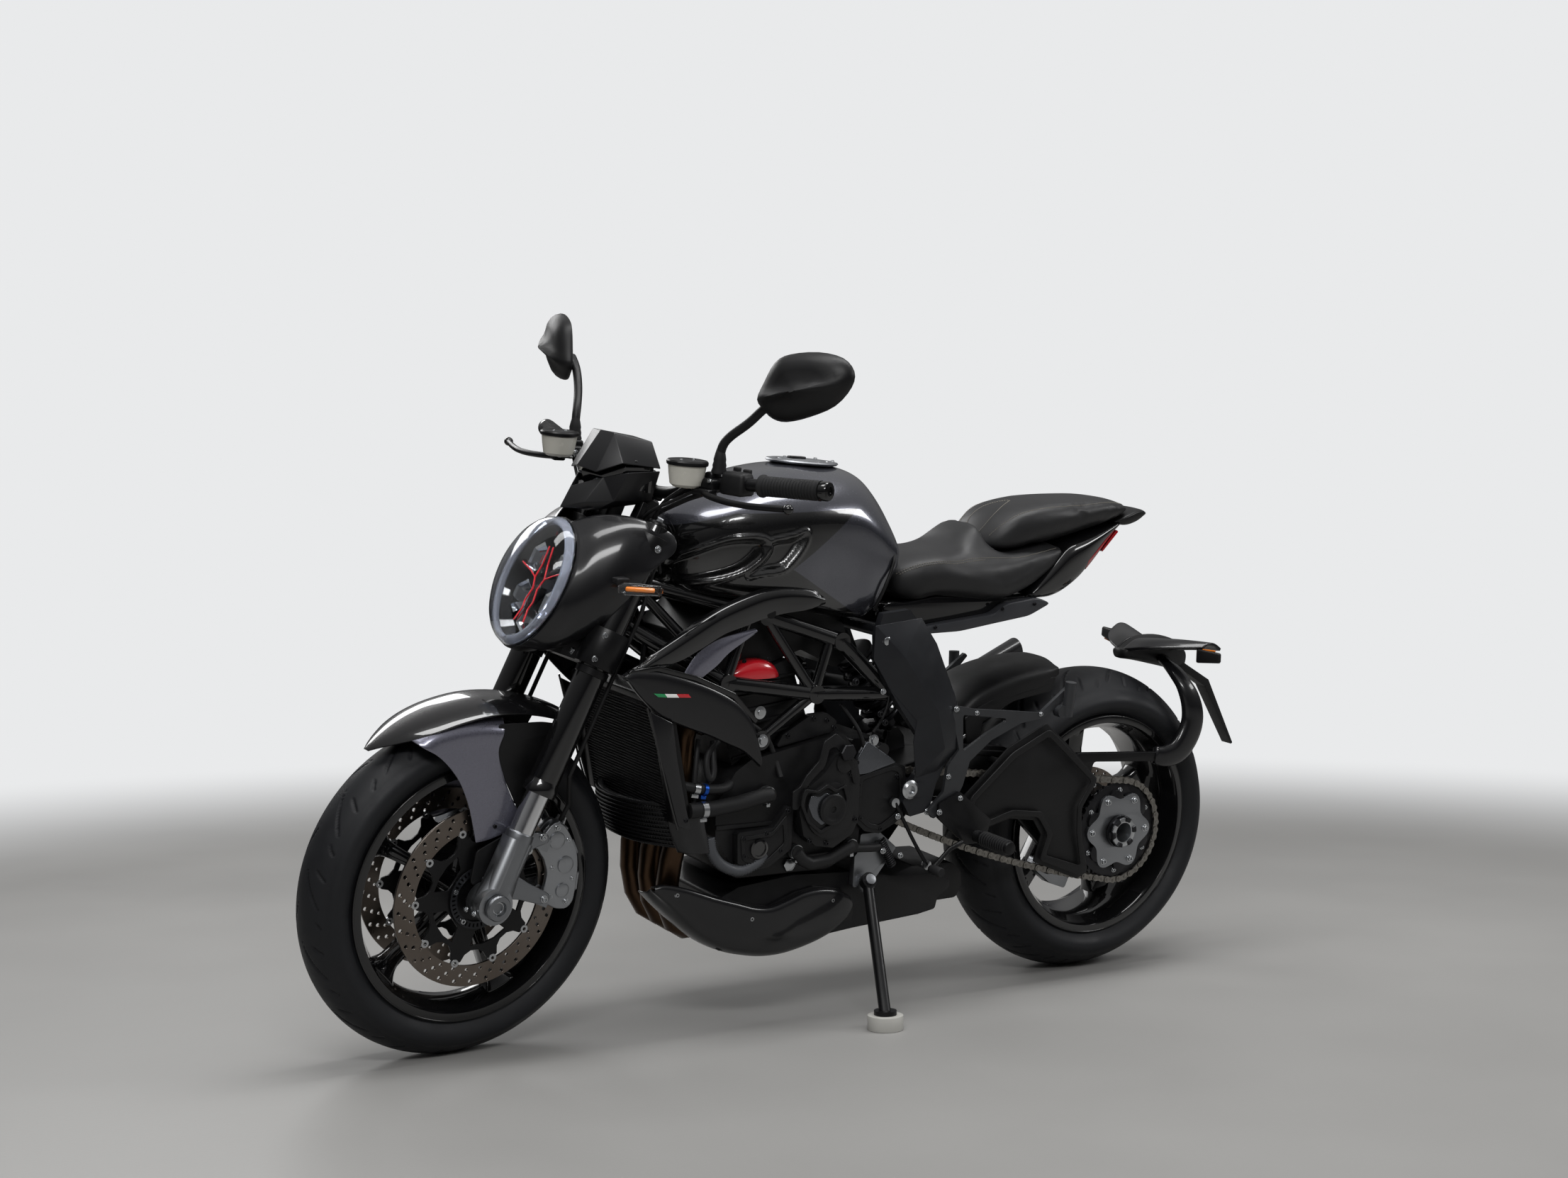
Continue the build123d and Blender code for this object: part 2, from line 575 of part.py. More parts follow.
def engine_covers():
    """Alternator, front, upper and sprocket covers on the left, clutch and water pump on the right."""
    deck = 140 + CLEAR
    generator = outline([(802, 461), (757, 494), (733, 526), (714, 536), (686, 510), (678, 481), (676, 399),
                         (688, 374), (729, 351), (769, 358), (796, 379), (808, 424)], 8)
    left = side_plate(generator, deck, 172) + ring((744, 424), 170, 180, 52) + ring((716, 510), 170, 176, 18)
    front = outline([(930, 392), (853, 396), (826, 431), (812, 431), (812, 352), (860, 322), (890, 320), (926, 334)],
                    6)
    left += side_plate(front, deck, 158)
    sprocket_cover = outline([(674, 480), (655, 482), (590, 500), (562, 490), (556, 440), (560, 394), (577, 381),
                              (613, 364), (646, 371), (674, 396)], 6)
    left += side_plate(sprocket_cover, 144, 153)
    left += side_plate(Polyline((673, 470), (652, 470), (652, 402), (673, 402), close=True), deck, 146)
    upper = side_plate(outline([(840, 536), (826, 560), (766, 594), (731, 596), (708, 580), (712, 561)], 4),
                       112 + CLEAR, 128)
    right = ring((735, 445), -190, -140 - CLEAR, 92) + ring((860, 400), -176, -140 - CLEAR, 44)
    right += side_plate(outline([(690, 520), (620, 500), (600, 400), (650, 345), (700, 360)], 10), -160, -140 - CLEAR)
    return left + upper + right


def cam_cover():
    """The red-lacquered cover that shows through the trellis."""
    return side_plate(outline([(936, 690), (912, 706), (866, 706), (846, 694), (852, 672), (930, 668)], 6), 112, 118)


def airbox():
    """The black box that fills the trellis under the tank."""
    shape = outline([(1010, 742), (960, 790), (770, 784), (690, 760), (664, 700), (700, 676), (780, 712),
                     (960, 652), (1000, 690)], 8)
    brace = rod((745, -138, 739), (745, 138, 739), 24 + 2 * CLEAR)
    return side_plate(shape, -100, 100) - pair(frame_tubes(2 * CLEAR)) - brace


def coolant_hoses():
    """The hose from the radiator to the crankcase side, and the one that runs along its foot."""
    wall = 140 + CLEAR
    upper = tube_path([(1033.6, 156, 440), (985, 156, 440), (930, 156, 446), (880, 156, 456), (862, 156, 458)], 28)
    upper += rod((868, 162, 457), (868, wall, 457), 28)
    lower = tube_path([(800, 156, 346), (786, 156, 330), (768, 156, 321), (727, 156, 324), (694, 156, 338),
                       (674, 156, 347)], 24)
    lower += rod((676, 162, 346), (676, wall, 346), 24) + rod((798, 162, 345), (798, wall, 345), 24)
    return upper + lower


# ---------------------------------------------------------------- cooling
def radiator():
    """The water radiator between the shrouds, and the curved oil cooler under it."""
    core = outline([(1112, 640), (1084, 650), (1034, 430), (1060, 420)], 5)
    water = side_plate(core, -SHROUD_Y + CLEAR, SHROUD_Y - CLEAR)
    stay = rod((1083, 54, 735), (1088, 54, 645), 10)
    water += pair(stay - frame_tubes(2 * CLEAR))
    oil = side_plate(outline([(1104, 446), (1078, 452), (1062, 402), (1058, 368), (1086, 362)], 3), -140, 140)
    oil += pair(rod((966.5, 39, 400), (1068, 39, 400), 10))
    return water + oil


def shrouds():
    shape = outline([(1186, 688), (1100, 700), (1018, 664), (964, 636), (909, 586), (900, 564), (990, 545),
                     (1080, 600), (1120, 610)], 6)
    return pair(side_plate(shape, SHROUD_Y, SHROUD_Y + 6))


# ---------------------------------------------------------------- exhaust
def headers():
    """Three pipes from the cylinder head, down behind the radiator and forward under it, back to the silencer."""
    spine = [(966 + CLEAR, 1, 591.9), (988, 1, 587.1), (1002, 1, 574), (1007, 1, 555), (1007, 1, 380),
             (1016, 0.95, 330), (1018, 0.88, 285), (1010, 0.8, 240), (992, 0.72, 208), (966, 0.62, 192),
             (940 + CLEAR, 0.62, 192)]
    pipes = Part()
    for y in (-78, 0, 78):
        pipes += tube_path([(x, y * share, z) for x, share, z in spine], 42)
    return pipes


def tailpipe(start, end):
    """One of the stacked tailpipes: an open tube cut off upright at its tip."""
    way = (Vector(*end) - Vector(*start)).normalized()
    beyond = tuple(Vector(*end) + way * 60)
    mouth = tuple(Vector(*end) - way * 90)
    tube = rod(start, beyond, 58) - rod(mouth, beyond, 50)
    return tube - Pos(end[0], end[1], end[2]) * Box(200, 100, 300, align=(Align.MAX, Align.CENTER, Align.CENTER))


def silencer():
    """The box under the engine, its heat shield and the three stacked tailpipes right of the rear wheel."""
    box = side_plate(outline([(940, 262), (900, 280), (780, 292), (650, 286), (560, 270), (449, 264), (414, 250), (414, 234),
                              (441, 217), (446, 194), (486, 187), (640, 176), (760, 164), (940, 164)], 8),
                     -100, 124)
    box += side_plate(outline([(470, 266), (360, 262), (338, 242), (334, 214), (346, 190), (470, 186)], 12), -80, 60)
    shield = outline([(1075, 302), (1030, 290), (959, 272), (880, 246), (840, 240), (780, 262), (740, 268), (672, 256),
                      (646, 232), (646, 198), (734, 172), (800, 163), (900, 178), (950, 200), (1010, 240),
                      (1062, 275)], 6)
    collector = side_plate(outline([(560, 215), (540, 300), (470, 500), (400, 540), (300, 520), (340, 340),
                                    (440, 215)], 12), -158, -110)
    pipes = Part()
    for start, end in (((380, -134, 500), (84, -134, 640)), ((400, -134, 420), (120, -134, 545)),
                       ((420, -134, 345), (160, -134, 450))):
        pipes += tailpipe(start, end)
    joint = ring((500, 250), -112, -98, 30)
    return box + side_plate(shield, 124, 131) + collector + pipes + joint


# ---------------------------------------------------------------- tank, seats and tail
def fuel_tank():
    """The tank, solid, with its underside hollowed where the trellis and the airbox pass."""
    body = section_loft([
        (1034, [(0, 958), (44, 950), (72, 915), (77, 882), (62, 840), (0, 830)]),
        (1000, [(0, 985), (60, 975), (104, 930), (112, 880), (92, 826), (0, 812)]),
        (950, [(0, 1008), (76, 996), (134, 940), (142, 880), (118, 818), (0, 802)]),
        (890, [(0, 1030), (88, 1014), (152, 950), (160, 880), (134, 812), (0, 796)]),
        (820, [(0, 1046), (96, 1030), (160, 962), (164, 890), (138, 802), (0, 790)]),
        (750, [(0, 1050), (102, 1034), (158, 965), (160, 880), (132, 780), (0, 776)]),
        (690, [(0, 1046), (106, 1030), (154, 955), (152, 860), (126, 772), (0, 772)]),
        (645, [(0, 1030), (104, 1010), (148, 930), (146, 840), (120, 768), (0, 772)]),
        (618, [(0, 1008), (98, 985), (140, 905), (138, 838), (112, 796), (0, 790)]),
        (588, [(0, 974), (86, 952), (126, 900), (124, 866), (96, 846), (0, 840)]),
        (568, [(0, 938), (60, 926), (96, 900), (96, 884), (66, 866), (0, 862)]),
    ])
    body -= side_plate(Polyline((1010, 742.5), (960, 793), (768, 787), (686, 763), (600, 763), (600, 700), (1010, 700),
                                close=True), -101, 101)
    return body - pair(frame_tubes(2 * CLEAR))


def spear_fairings():
    shape = outline([(1154, 690), (1100, 728), (1010, 772), (940, 803), (880, 824), (800, 826), (762, 806),
                     (735, 775), (800, 790), (873, 781), (914, 762), (1000, 716), (1040, 700)], 5)
    boss = ring((886, 790), 138.5, 160, 9)
    return pair(side_plate(shape, 158, 166) + (boss - frame_tubes(2 * CLEAR)))


def inner_panels():
    """Hooked panels between the spear fairings and the shrouds, screwed to the shrouds' inner faces."""
    shape = outline([(1068, 672), (1030, 722), (975, 752), (916, 760), (955, 738), (985, 712), (1004, 690),
                     (1040, 660)], 3)
    return pair(side_plate(shape, 150, 154) + ring((1050, 669), 153, SHROUD_Y - CLEAR, 5))


def rider_seat():
    shape = outline([(564, 806), (557, 862), (525, 879), (451, 885), (352, 888), (283, 885), (156, 907),
                     (152, 877), (231, 800), (300, 797), (469, 805), (540, 792)], 7)
    seat = clipped(side_plate(shape, -130, 130), [(570, 84), (480, 116), (300, 126), (140, 92)])
    hump = outline([(460, 880), (396, 944), (352, 948), (340, 880)], 9)
    return seat + side_plate(hump, -72, 72)


def pillion_seat():
    shape = outline([(336, 888), (330, 905), (300, 956), (262, 974), (171, 988), (41, 991), (-20, 983), (-46, 968),
                     (30, 936), (157, 907.5), (283, 885.4)], 4)
    return clipped(side_plate(shape, -98, 98), [(345, 58), (290, 84), (180, 97), (40, 92), (-60, 58)])


def tail_fairing():
    """Gloss tail cone behind the seat, with the lip under the pillion pad's end."""
    cone = outline([(150, 876), (150, 906), (32, 933), (-8, 945), (-16, 938), (42, 874), (135, 808), (195, 786),
                    (229, 798)], 3)
    lip = outline([(0, 944), (-50, 968), (-88, 966), (-103, 955), (-81, 940), (-12, 926)], 3)
    shape = side_plate(cone, -96, 96) + side_plate(lip, -66, 66)
    return clipped(shape, [(240, 96), (150, 92), (40, 74), (-40, 62), (-110, 40)])


def seat_base():
    """The seat's tray and the long rail under it, bolted to the frame plates."""
    tray = outline([(590, 790), (564, 796), (540, 791), (469, 804), (300, 796), (237, 799), (214, 787), (318, 766),
                    (533, 742), (590, 742)], 4)
    rail = outline([(533, 744), (337, 769), (308, 789), (229, 797), (196, 785), (249, 760), (335, 748), (418, 735),
                    (533, 732)], 3)
    base = side_plate(tray, -84, 84) + side_plate(rail, -108, 108)
    return base + pair(ring((575, 765), 80, 154, 11))


def tail_light():
    return side_plate(Polyline((-4.8, 924.9), (33, 883.3), (29.6, 880.2), (-8.2, 921.8), close=True), -52, 52)


# ---------------------------------------------------------------- rear end
def swingarm():
    """The single-sided arm: pivot tube, beam outboard of the tyre, and the round hub carrier."""
    middle = (REAR_HUB.X, REAR_HUB.Z)
    arm = side_plate(outline([(560, 478), (400, 515), (300, 505), (120, 440), (60, 390), (40, 240), (110, 222),
                              (200, 310), (255, 360), (380, 400), (560, 415)], 10), 104, 119)
    arm += side_plate(outline([(560, 478), (400, 515), (395, 408), (560, 415)], 8), -100, 104)
    arm -= ring(middle, -110, 103.7, REAR_TYRE["radius"] + 14)
    arm += ring(SWING_PIVOT, -119, 119, 32)
    arm -= extrude(Plane.XZ.offset(-(105 - CLEAR)) * plate_arm(CLEAR), amount=-20)
    arm += ring(middle, 44, 119, 74)
    arm += side_plate(outline([(40, 300), (70, 290), (128, 246), (112, 214), (40, 214)], 6), 46, 58)
    ear = outline([(520, 480), (512, 532), (494, 538), (478, 520), (470, 480)], 6)
    arm += pair(side_plate(ear, 18, 28)) + ring((500, 520), -28, 28, 8)
    arm -= ring(SWING_PIVOT, -130, 130, PIVOT_RADIUS + CLEAR)
    return arm - ring(middle, 0, 200, AXLE_RADIUS + CLEAR)


def chain():
    """The drive chain as a fixed channel round both sprockets, its lower run slack."""
    big = CHAIN_PITCH / 2 / sin(pi / SPROCKET_TEETH)
    small = CHAIN_PITCH / 2 / sin(pi / DRIVE_TEETH)
    c1, c2 = (REAR_HUB.X, REAR_HUB.Z), DRIVE_CENTRE
    distance = hypot(c2[0] - c1[0], c2[1] - c1[1])
    heading = atan2(c2[1] - c1[1], c2[0] - c1[0])
    spread = asin((big - small) / distance)
    half = 7.0

    def loop(grow):
        a, b = big + grow, small + grow
        up, down = heading + pi / 2 - spread, heading - pi / 2 + spread
        p1 = (c1[0] + a * cos(up), c1[1] + a * sin(up))
        p2 = (c2[0] + b * cos(up), c2[1] + b * sin(up))
        p3 = (c2[0] + b * cos(down), c2[1] + b * sin(down))
        p4 = (c1[0] + a * cos(down), c1[1] + a * sin(down))
        nose = (c2[0] + b * cos(heading), c2[1] + b * sin(heading))
        back = (c1[0] - a * cos(heading), c1[1] - a * sin(heading))
        low = ((p3[0] + p4[0]) / 2, (p3[1] + p4[1]) / 2 - CHAIN_SAG)
        return make_face(
            Line(p1, p2) + ThreePointArc(p2, nose, p3) + ThreePointArc(p3, low, p4) + ThreePointArc(p4, back, p1)
        )

    outer = loop(half)
    inner = SPROCKET_Y - CHAIN_WIDTH / 2
    sides = extrude(Plane.XZ.offset(-inner) * (outer - loop(-half)), amount=-CHAIN_WIDTH)
    slot = extrude(Plane.XZ.offset(-(SPROCKET_Y - 5)) * (loop(1.0) - loop(-2 * half)), amount=-10)
    return sides - slot


def hugger():
    """The rear mudguard: a bent top with side skirts, standing off the tyre, on the swingarm."""
    top = Polyline((370, 580), (343, 607), (259, 641), (172, 655), (142, 652), (142, 648), (172, 651), (257, 637),
                   (341, 603), (366, 577), close=True)
    skirt = outline([(370, 580), (343, 607), (259, 641), (172, 655), (142, 652), (140, 633), (158, 606), (254, 589),
                     (330, 552), (338, 496), (366, 492), (376, 560)], 3)
    shell = side_plate(top, -85, 85) + pair(side_plate(skirt, 82, 85))
    return shell + ring((352, 500), 84, 104 - CLEAR, 8)


def chain_guard():
    """The cover outboard of the chain, from the pivot to the sprocket."""
    shape = outline([(418, 380), (413, 421), (311, 510), (219, 553), (161, 508), (76, 432), (112, 376), (108, 326),
                     (84, 240), (110, 228), (227, 274), (212, 328), (235, 359), (297, 367), (364, 350)], 5)
    guard = side_plate(shape, SPROCKET_Y + 14, SPROCKET_Y + 18)
    for place in ((330, 482), (240, 418)):
        guard += ring(place, 119 + CLEAR, SPROCKET_Y + 15, 7)
    return guard


def plate_arm(grow=0.0):
    """The blade that leaves the hub carrier and passes outside the tyre, seen from the side."""
    shape = outline([(118, 400), (118, 470), (108, 482), (-128, 468), (-142, 456), (-120, 447), (62, 458),
                     (75, 400)], 3)
    return offset(make_face(shape), amount=grow) if grow else make_face(shape)


def plate_carrier():
    """The arm round the back of the tyre that holds the hood, the number plate's back and the rear lamps."""
    blade = extrude(Plane.XZ.offset(-105) * plate_arm(), amount=-13)
    arm = side_plate(outline([(-112, 469), (-141, 456), (-180, 455), (-228, 511), (-240, 555), (-212, 585),
                              (-212, 640), (-160, 640), (-150, 596), (-178, 565), (-172, 529)], 6), 105, 126)
    hood = side_plate(outline([(-84, 652), (-88, 674), (-118, 692), (-200, 697), (-244, 688), (-192, 670),
                               (-262, 628), (-262, 615), (-200, 618), (-130, 632)], 4), -126, 126)
    hood = clipped(hood, [(-60, 60), (-110, 84), (-150, 126), (-270, 126)])
    plate = side_plate(outline([(-240, 650), (-343, 596), (-432, 449), (-426, 443), (-330, 574), (-236, 630)], 1),
                       -16, 16)
    return blade + arm + hood + plate


def rear_indicators():
    return pair(rod((-158, 126 + CLEAR, 650), (-158, 186, 650), 22))


def passenger_brackets():
    """Cast brackets with a triangular window and a heel guard, and the passengers' pegs folded up."""
    shape = outline([(468, 606), (422, 597), (329, 589), (262, 582), (186, 640), (178, 634), (215, 594), (256, 571),
                     (309, 564), (380, 534), (428, 496), (441, 450), (462, 411), (506, 390), (522, 404), (486, 440),
                     (480, 490), (456, 520), (478, 592)], 3)
    window = outline([(452, 588), (336, 574), (392, 548), (446, 516)], 4)
    plate = side_plate(shape, 170 + CLEAR, 178) - side_plate(window, 160, 190)
    peg = rod((200, 184, 574), (200, 189, 642), 22)
    return pair(plate + peg + ring((215, 584), 172, 190, 12))


def footpegs():
    """The rider's pegs on their hangers, and the gear lever with its rod."""
    peg = rod((405, 184, 350), (405, 290, 350), 24)
    hanger = outline([(500, 420), (452, 440), (372, 380), (384, 336), (430, 335), (500, 392)], 6)
    side = peg + side_plate(hanger, 178 + CLEAR, 186)
    lever = tube_path([(440, 188, 342), (472, 190, 330), (514, 192, 294)], 9) + rod((512, 188, 296), (512, 222, 296), 14)
    return pair(side + lever)


def shock():
    """The rear spring unit between the arm's ears and the upper cross bolt."""
    body = rod((508, 0, 545), (600, 0, 690), 62)
    ends = rod((500, 0, 520), (626, 0, 748), 24)
    eyes = ring((500, 520), -14, 14, 18) + ring((626, 748), -14, 14, 19)
    bores = ring((500, 520), -40, 40, 8 + CLEAR) + ring((626, 748), -40, 40, 12 + CLEAR)
    return body + ends + eyes - bores


def rear_caliper():
    shape = outline([(128, 246), (70, 226), (40, 200), (50, 176), (90, 190), (138, 226)], 6)
    body = side_plate(shape, 18, 46 - CLEAR)
    return body - ring((REAR_HUB.X, REAR_HUB.Z), 27, 37, REAR_DISC_RADIUS + 4)


def stand_axis():
    """The side stand's hinge line: square to the leg both down and folded back."""
    foot = Vector(*unlean((FOOT_X, FOOT_Y, PUCK_HEIGHT + CLEAR)))
    down = (foot - Vector(*STAND_PIVOT)).normalized()
    return down.cross(Vector(*STAND_FOLDED)).normalized()


def along_stand(distance):
    """A point on the hinge line, measured outwards from the middle of the leg's eye."""
    return tuple(Vector(*STAND_PIVOT) + stand_axis() * distance)


def stand_bracket():
    """The bracket on the crankcase with the hinge bolt for the side stand."""
    shape = outline([(655, 260), (612, 264), (560, 330), (600, 362), (644, 362), (646, 330), (655, 320)], 4)
    plate = side_plate(shape, 125, 139) + ring((625, 350), 112 + CLEAR, 130, 12)
    boss = rod(along_stand(-22), along_stand(-EYE_HALF - CLEAR), 30)
    bolt = rod(along_stand(-20), along_stand(EYE_HALF + 5), 2 * STAND_BOLT)
    head = rod(along_stand(EYE_HALF + CLEAR), along_stand(EYE_HALF + 6), 20)
    return plate + boss + bolt + head


# ---------------------------------------------------------------- side stand
def side_stand():
    """The leg from its hinge eye to the flat foot that rests on the puck."""
    foot = unlean((FOOT_X, FOOT_Y, PUCK_HEIGHT + CLEAR))
    leg = rod(STAND_PIVOT, foot, 22)
    pad = Pos(FOOT_X, FOOT_Y, PUCK_HEIGHT + CLEAR) * Cylinder(21, 8, align=(Align.CENTER, Align.CENTER, Align.MIN))
    leg += pad.rotate(Axis.X, LEAN)
    cut = Pos(FOOT_X, FOOT_Y, PUCK_HEIGHT + CLEAR) * Box(200, 200, 60, align=(Align.CENTER, Align.CENTER, Align.MAX))
    leg -= cut.rotate(Axis.X, LEAN)
    leg -= rod(along_stand(-60), along_stand(-EYE_HALF), 34)
    leg -= rod(along_stand(EYE_HALF), along_stand(60), 34)
    leg += rod(along_stand(-EYE_HALF), along_stand(EYE_HALF), 30)
    return leg - rod(along_stand(-60), along_stand(60), 2 * (STAND_BOLT + CLEAR))


def stand_puck():
    puck = Pos(FOOT_X, FOOT_Y, 0) * Cylinder(PUCK_RADIUS, PUCK_HEIGHT, align=(Align.CENTER, Align.CENTER, Align.MIN))
    return puck.rotate(Axis.X, LEAN)


STEERED = {
    "front_tyre": lambda: tyre(FRONT_HUB, FRONT_TYRE),
    "front_rim": front_rim,
    "front_discs": front_discs,
    "fork_tubes": fork_tubes,
    "fork_legs": fork_legs,
    "front_axle": front_axle,
    "fork_clamps": clamps,
    "front_calipers": calipers,
    "front_fender": fender,
    "fender_sides": fender_sides,
    "handlebar": handlebar,
    "grips": grips,
    "switchgear": switchgear,
    "reservoirs": reservoirs,
    "mirrors": mirrors,
    "headlight_shell": headlight_shell,
    "headlight_lens": headlight_lens,
    "flyscreen": flyscreen,
    "front_indicators": front_indicators,
    "instruments": instruments,
    "brake_lines": brake_lines,
}
FIXED = {
    "main_frame": main_frame,
    "frame_plates": frame_plates,
    "engine_block": engine_block,
    "engine_covers": engine_covers,
    "cam_cover": cam_cover,
    "airbox": airbox,
    "coolant_hoses": coolant_hoses,
    "radiator": radiator,
    "radiator_shrouds": shrouds,
    "exhaust_headers": headers,
    "silencer": silencer,
    "fuel_tank": fuel_tank,
    "spear_fairings": spear_fairings,
    "inner_panels": inner_panels,
    "rider_seat": rider_seat,
    "pillion_seat": pillion_seat,
    "tail_fairing": tail_fairing,
    "seat_base": seat_base,
    "tail_light": tail_light,
    "swingarm": swingarm,
    "drive_chain": chain,
    "rear_hugger": hugger,
    "chain_guard": chain_guard,
    "plate_carrier": plate_carrier,
    "rear_indicators": rear_indicators,
    "passenger_brackets": passenger_brackets,
    "rider_footpegs": footpegs,
    "rear_shock": shock,
    "rear_caliper": rear_caliper,
    "stand_bracket": stand_bracket,
    "stand_puck": stand_puck,
    "side_stand": side_stand,
    "rear_tyre": lambda: tyre(REAR_HUB, REAR_TYRE),
    "rear_rim": rear_rim,
    "rear_axle": rear_axle,
    "rear_sprocket": sprocket,
    "rear_disc": rear_disc,
}


def parked(shape):
    """Lean the upright machine to its left and put the origin under the middle of its outline."""
    return Pos(-BASE_X, -BASE_Y, 0) * shape.rotate(Axis.X, -LEAN)


def main():
    os.makedirs("parts", exist_ok=True)
    for name, make in STEERED.items():
        export_step(parked(make().rotate(STEER_AXIS, STEER)), f"parts/{name}.step")
    for name, make in FIXED.items():
        export_step(parked(make()), f"parts/{name}.step")


if __name__ == "__main__":
    main()
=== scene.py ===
import json
import math

import bmesh
import bpy
import numpy as np
from mathutils import Matrix, Vector


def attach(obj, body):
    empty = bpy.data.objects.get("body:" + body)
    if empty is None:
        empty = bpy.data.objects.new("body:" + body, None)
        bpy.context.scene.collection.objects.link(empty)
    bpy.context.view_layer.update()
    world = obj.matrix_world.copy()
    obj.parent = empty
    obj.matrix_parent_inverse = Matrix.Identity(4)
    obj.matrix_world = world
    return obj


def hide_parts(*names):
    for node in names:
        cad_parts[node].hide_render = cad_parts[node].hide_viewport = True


bl_info = {"name": "Roadster motorcycle dresser", "version": (1, 0, 0), "blender": (4, 5, 0),
           "location": "View3D > Sidebar > Roadster",
           "description": "Gives a packed CAD roadster its tread, bodywork, trim, finishes and studio",
           "category": "Object"}

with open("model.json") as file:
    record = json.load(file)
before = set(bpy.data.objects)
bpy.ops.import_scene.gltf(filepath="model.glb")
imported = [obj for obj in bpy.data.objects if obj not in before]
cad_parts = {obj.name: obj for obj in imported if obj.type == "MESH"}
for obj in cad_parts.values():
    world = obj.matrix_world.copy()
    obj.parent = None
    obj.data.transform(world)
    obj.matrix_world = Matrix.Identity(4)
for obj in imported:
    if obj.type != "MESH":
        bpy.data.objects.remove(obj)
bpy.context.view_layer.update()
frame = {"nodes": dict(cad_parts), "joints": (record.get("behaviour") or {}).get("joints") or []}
MM = 0.001
SIDES = (1, -1)  # left and right
WELD = 0.00002  # points closer than this, in metres, are one
FLAT_ANGLE, SOFT_ANGLE, SHARP_ANGLE = math.radians(0.4), math.radians(38), 0.55

# ---------------------------------------------------------------- where things are


def joint(name):
    """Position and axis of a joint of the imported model."""
    found = next(j for j in frame["joints"] if j["name"] == name)
    return Vector(found["pos_m"]), Vector(found["axis"]).normalized()


REAR_HUB, REAR_AXIS = joint("rear_wheel_spin")
FRONT_HUB, FRONT_AXIS = joint("front_wheel_spin")
STEER_POINT, STEER_AXIS = joint("steering_turn")
LEAN = math.atan2(REAR_AXIS.z, REAR_AXIS.y)
HUB_HEIGHT = REAR_HUB.z / math.cos(LEAN)
UPRIGHT = (Matrix.Translation(REAR_HUB) @ Matrix.Rotation(LEAN, 4, "X")
           @ Matrix.Translation((0, 0, -HUB_HEIGHT)))


def turn_angle():
    """How far the parked front end is turned about the steering axis."""
    straight = REAR_AXIS - STEER_AXIS * REAR_AXIS.dot(STEER_AXIS)
    turned = FRONT_AXIS - STEER_AXIS * FRONT_AXIS.dot(STEER_AXIS)
    return math.atan2(STEER_AXIS.dot(straight.cross(turned)), straight.dot(turned))


STEERED = (Matrix.Translation(STEER_POINT) @ Matrix.Rotation(turn_angle(), 4, STEER_AXIS)
           @ Matrix.Translation(-STEER_POINT) @ UPRIGHT)
FRONT_HUB_UPRIGHT = STEERED.inverted() @ FRONT_HUB
WHEEL_FRAMES = {
    "front": STEERED @ Matrix.Translation(FRONT_HUB_UPRIGHT),
    "rear": UPRIGHT @ Matrix.Translation((0, 0, HUB_HEIGHT)),
}


# ---------------------------------------------------------------- small helpers
def linear(code):
    """An sRGB hex colour as linear RGBA."""
    values = [int(code[i:i + 2], 16) / 255 for i in (1, 3, 5)]
    return tuple([v / 12.92 if v <= 0.04045 else ((v + 0.055) / 1.055) ** 2.4 for v in values] + [1.0])


def add(tree, kind, inputs=None, **settings):
    """Adds a node with its settings; its inputs are values, or sockets to link from."""
    made = tree.nodes.new(kind)
    for name, value in settings.items():
        setattr(made, name, value)
    for name, value in (inputs or {}).items():
        if isinstance(value, bpy.types.NodeSocket):
            tree.links.new(value, made.inputs[name])
        else:
            made.inputs[name].default_value = value
    return made


def moved(matrix, place):
    """A frame moved within itself, in millimetres."""
    return matrix @ Matrix.Translation(Vector(place) * MM)


def facing(matrix, side=1):
    """A frame whose Z axis points to the machine's left (side 1) or its right (-1)."""
    return matrix @ Matrix.Rotation(-side * math.pi / 2, 4, "X")


def polar(radius, angle):
    """A flat point at a radius and an angle."""
    return radius * math.cos(angle), radius * math.sin(angle)


def turns(count, phase=0.0):
    """Angles evenly spaced round a circle, the first one phase steps on."""
    return [2 * math.pi * (i + phase) / count for i in range(count)]


def squircle(angle, power):
    """A point of a rounded square of half width 1."""
    c, s = math.cos(angle), math.sin(angle)
    return abs(c) ** power * math.copysign(1, c), abs(s) ** power * math.copysign(1, s)


def linked(name, data):
    """A new object in the scene."""
    piece = bpy.data.objects.new(name, data)
    bpy.context.scene.collection.objects.link(piece)
    return piece


def mesh_piece(name, points, faces, material, matrix=UPRIGHT, smooth=True):
    """A mesh object from points in millimetres, put in place by its matrix, its object left at the origin."""
    data = bpy.data.meshes.new(name)
    data.from_pydata([tuple(matrix @ (Vector(p) * MM)) for p in points], [], faces)
    data.materials.append(material)
    data.update()
    piece = linked(name, data)
    if smooth:
        data.shade_smooth()
    return piece


def grid_faces(rows, columns, wrap_rows=False, wrap_columns=True):
    """Quads between neighbouring rings of a grid of points."""
    faces = []
    for r in range(rows if wrap_rows else rows - 1):
        above = (r + 1) % rows * columns
        for c in range(columns if wrap_columns else columns - 1):
            ahead = (c + 1) % columns
            faces.append((r * columns + c, r * columns + ahead, above + ahead, above + c))
    return faces


def end_faces(rows, columns):
    """The polygons that close the first and the last ring of a grid."""
    return [tuple(range(columns))[::-1], tuple(range((rows - 1) * columns, rows * columns))]


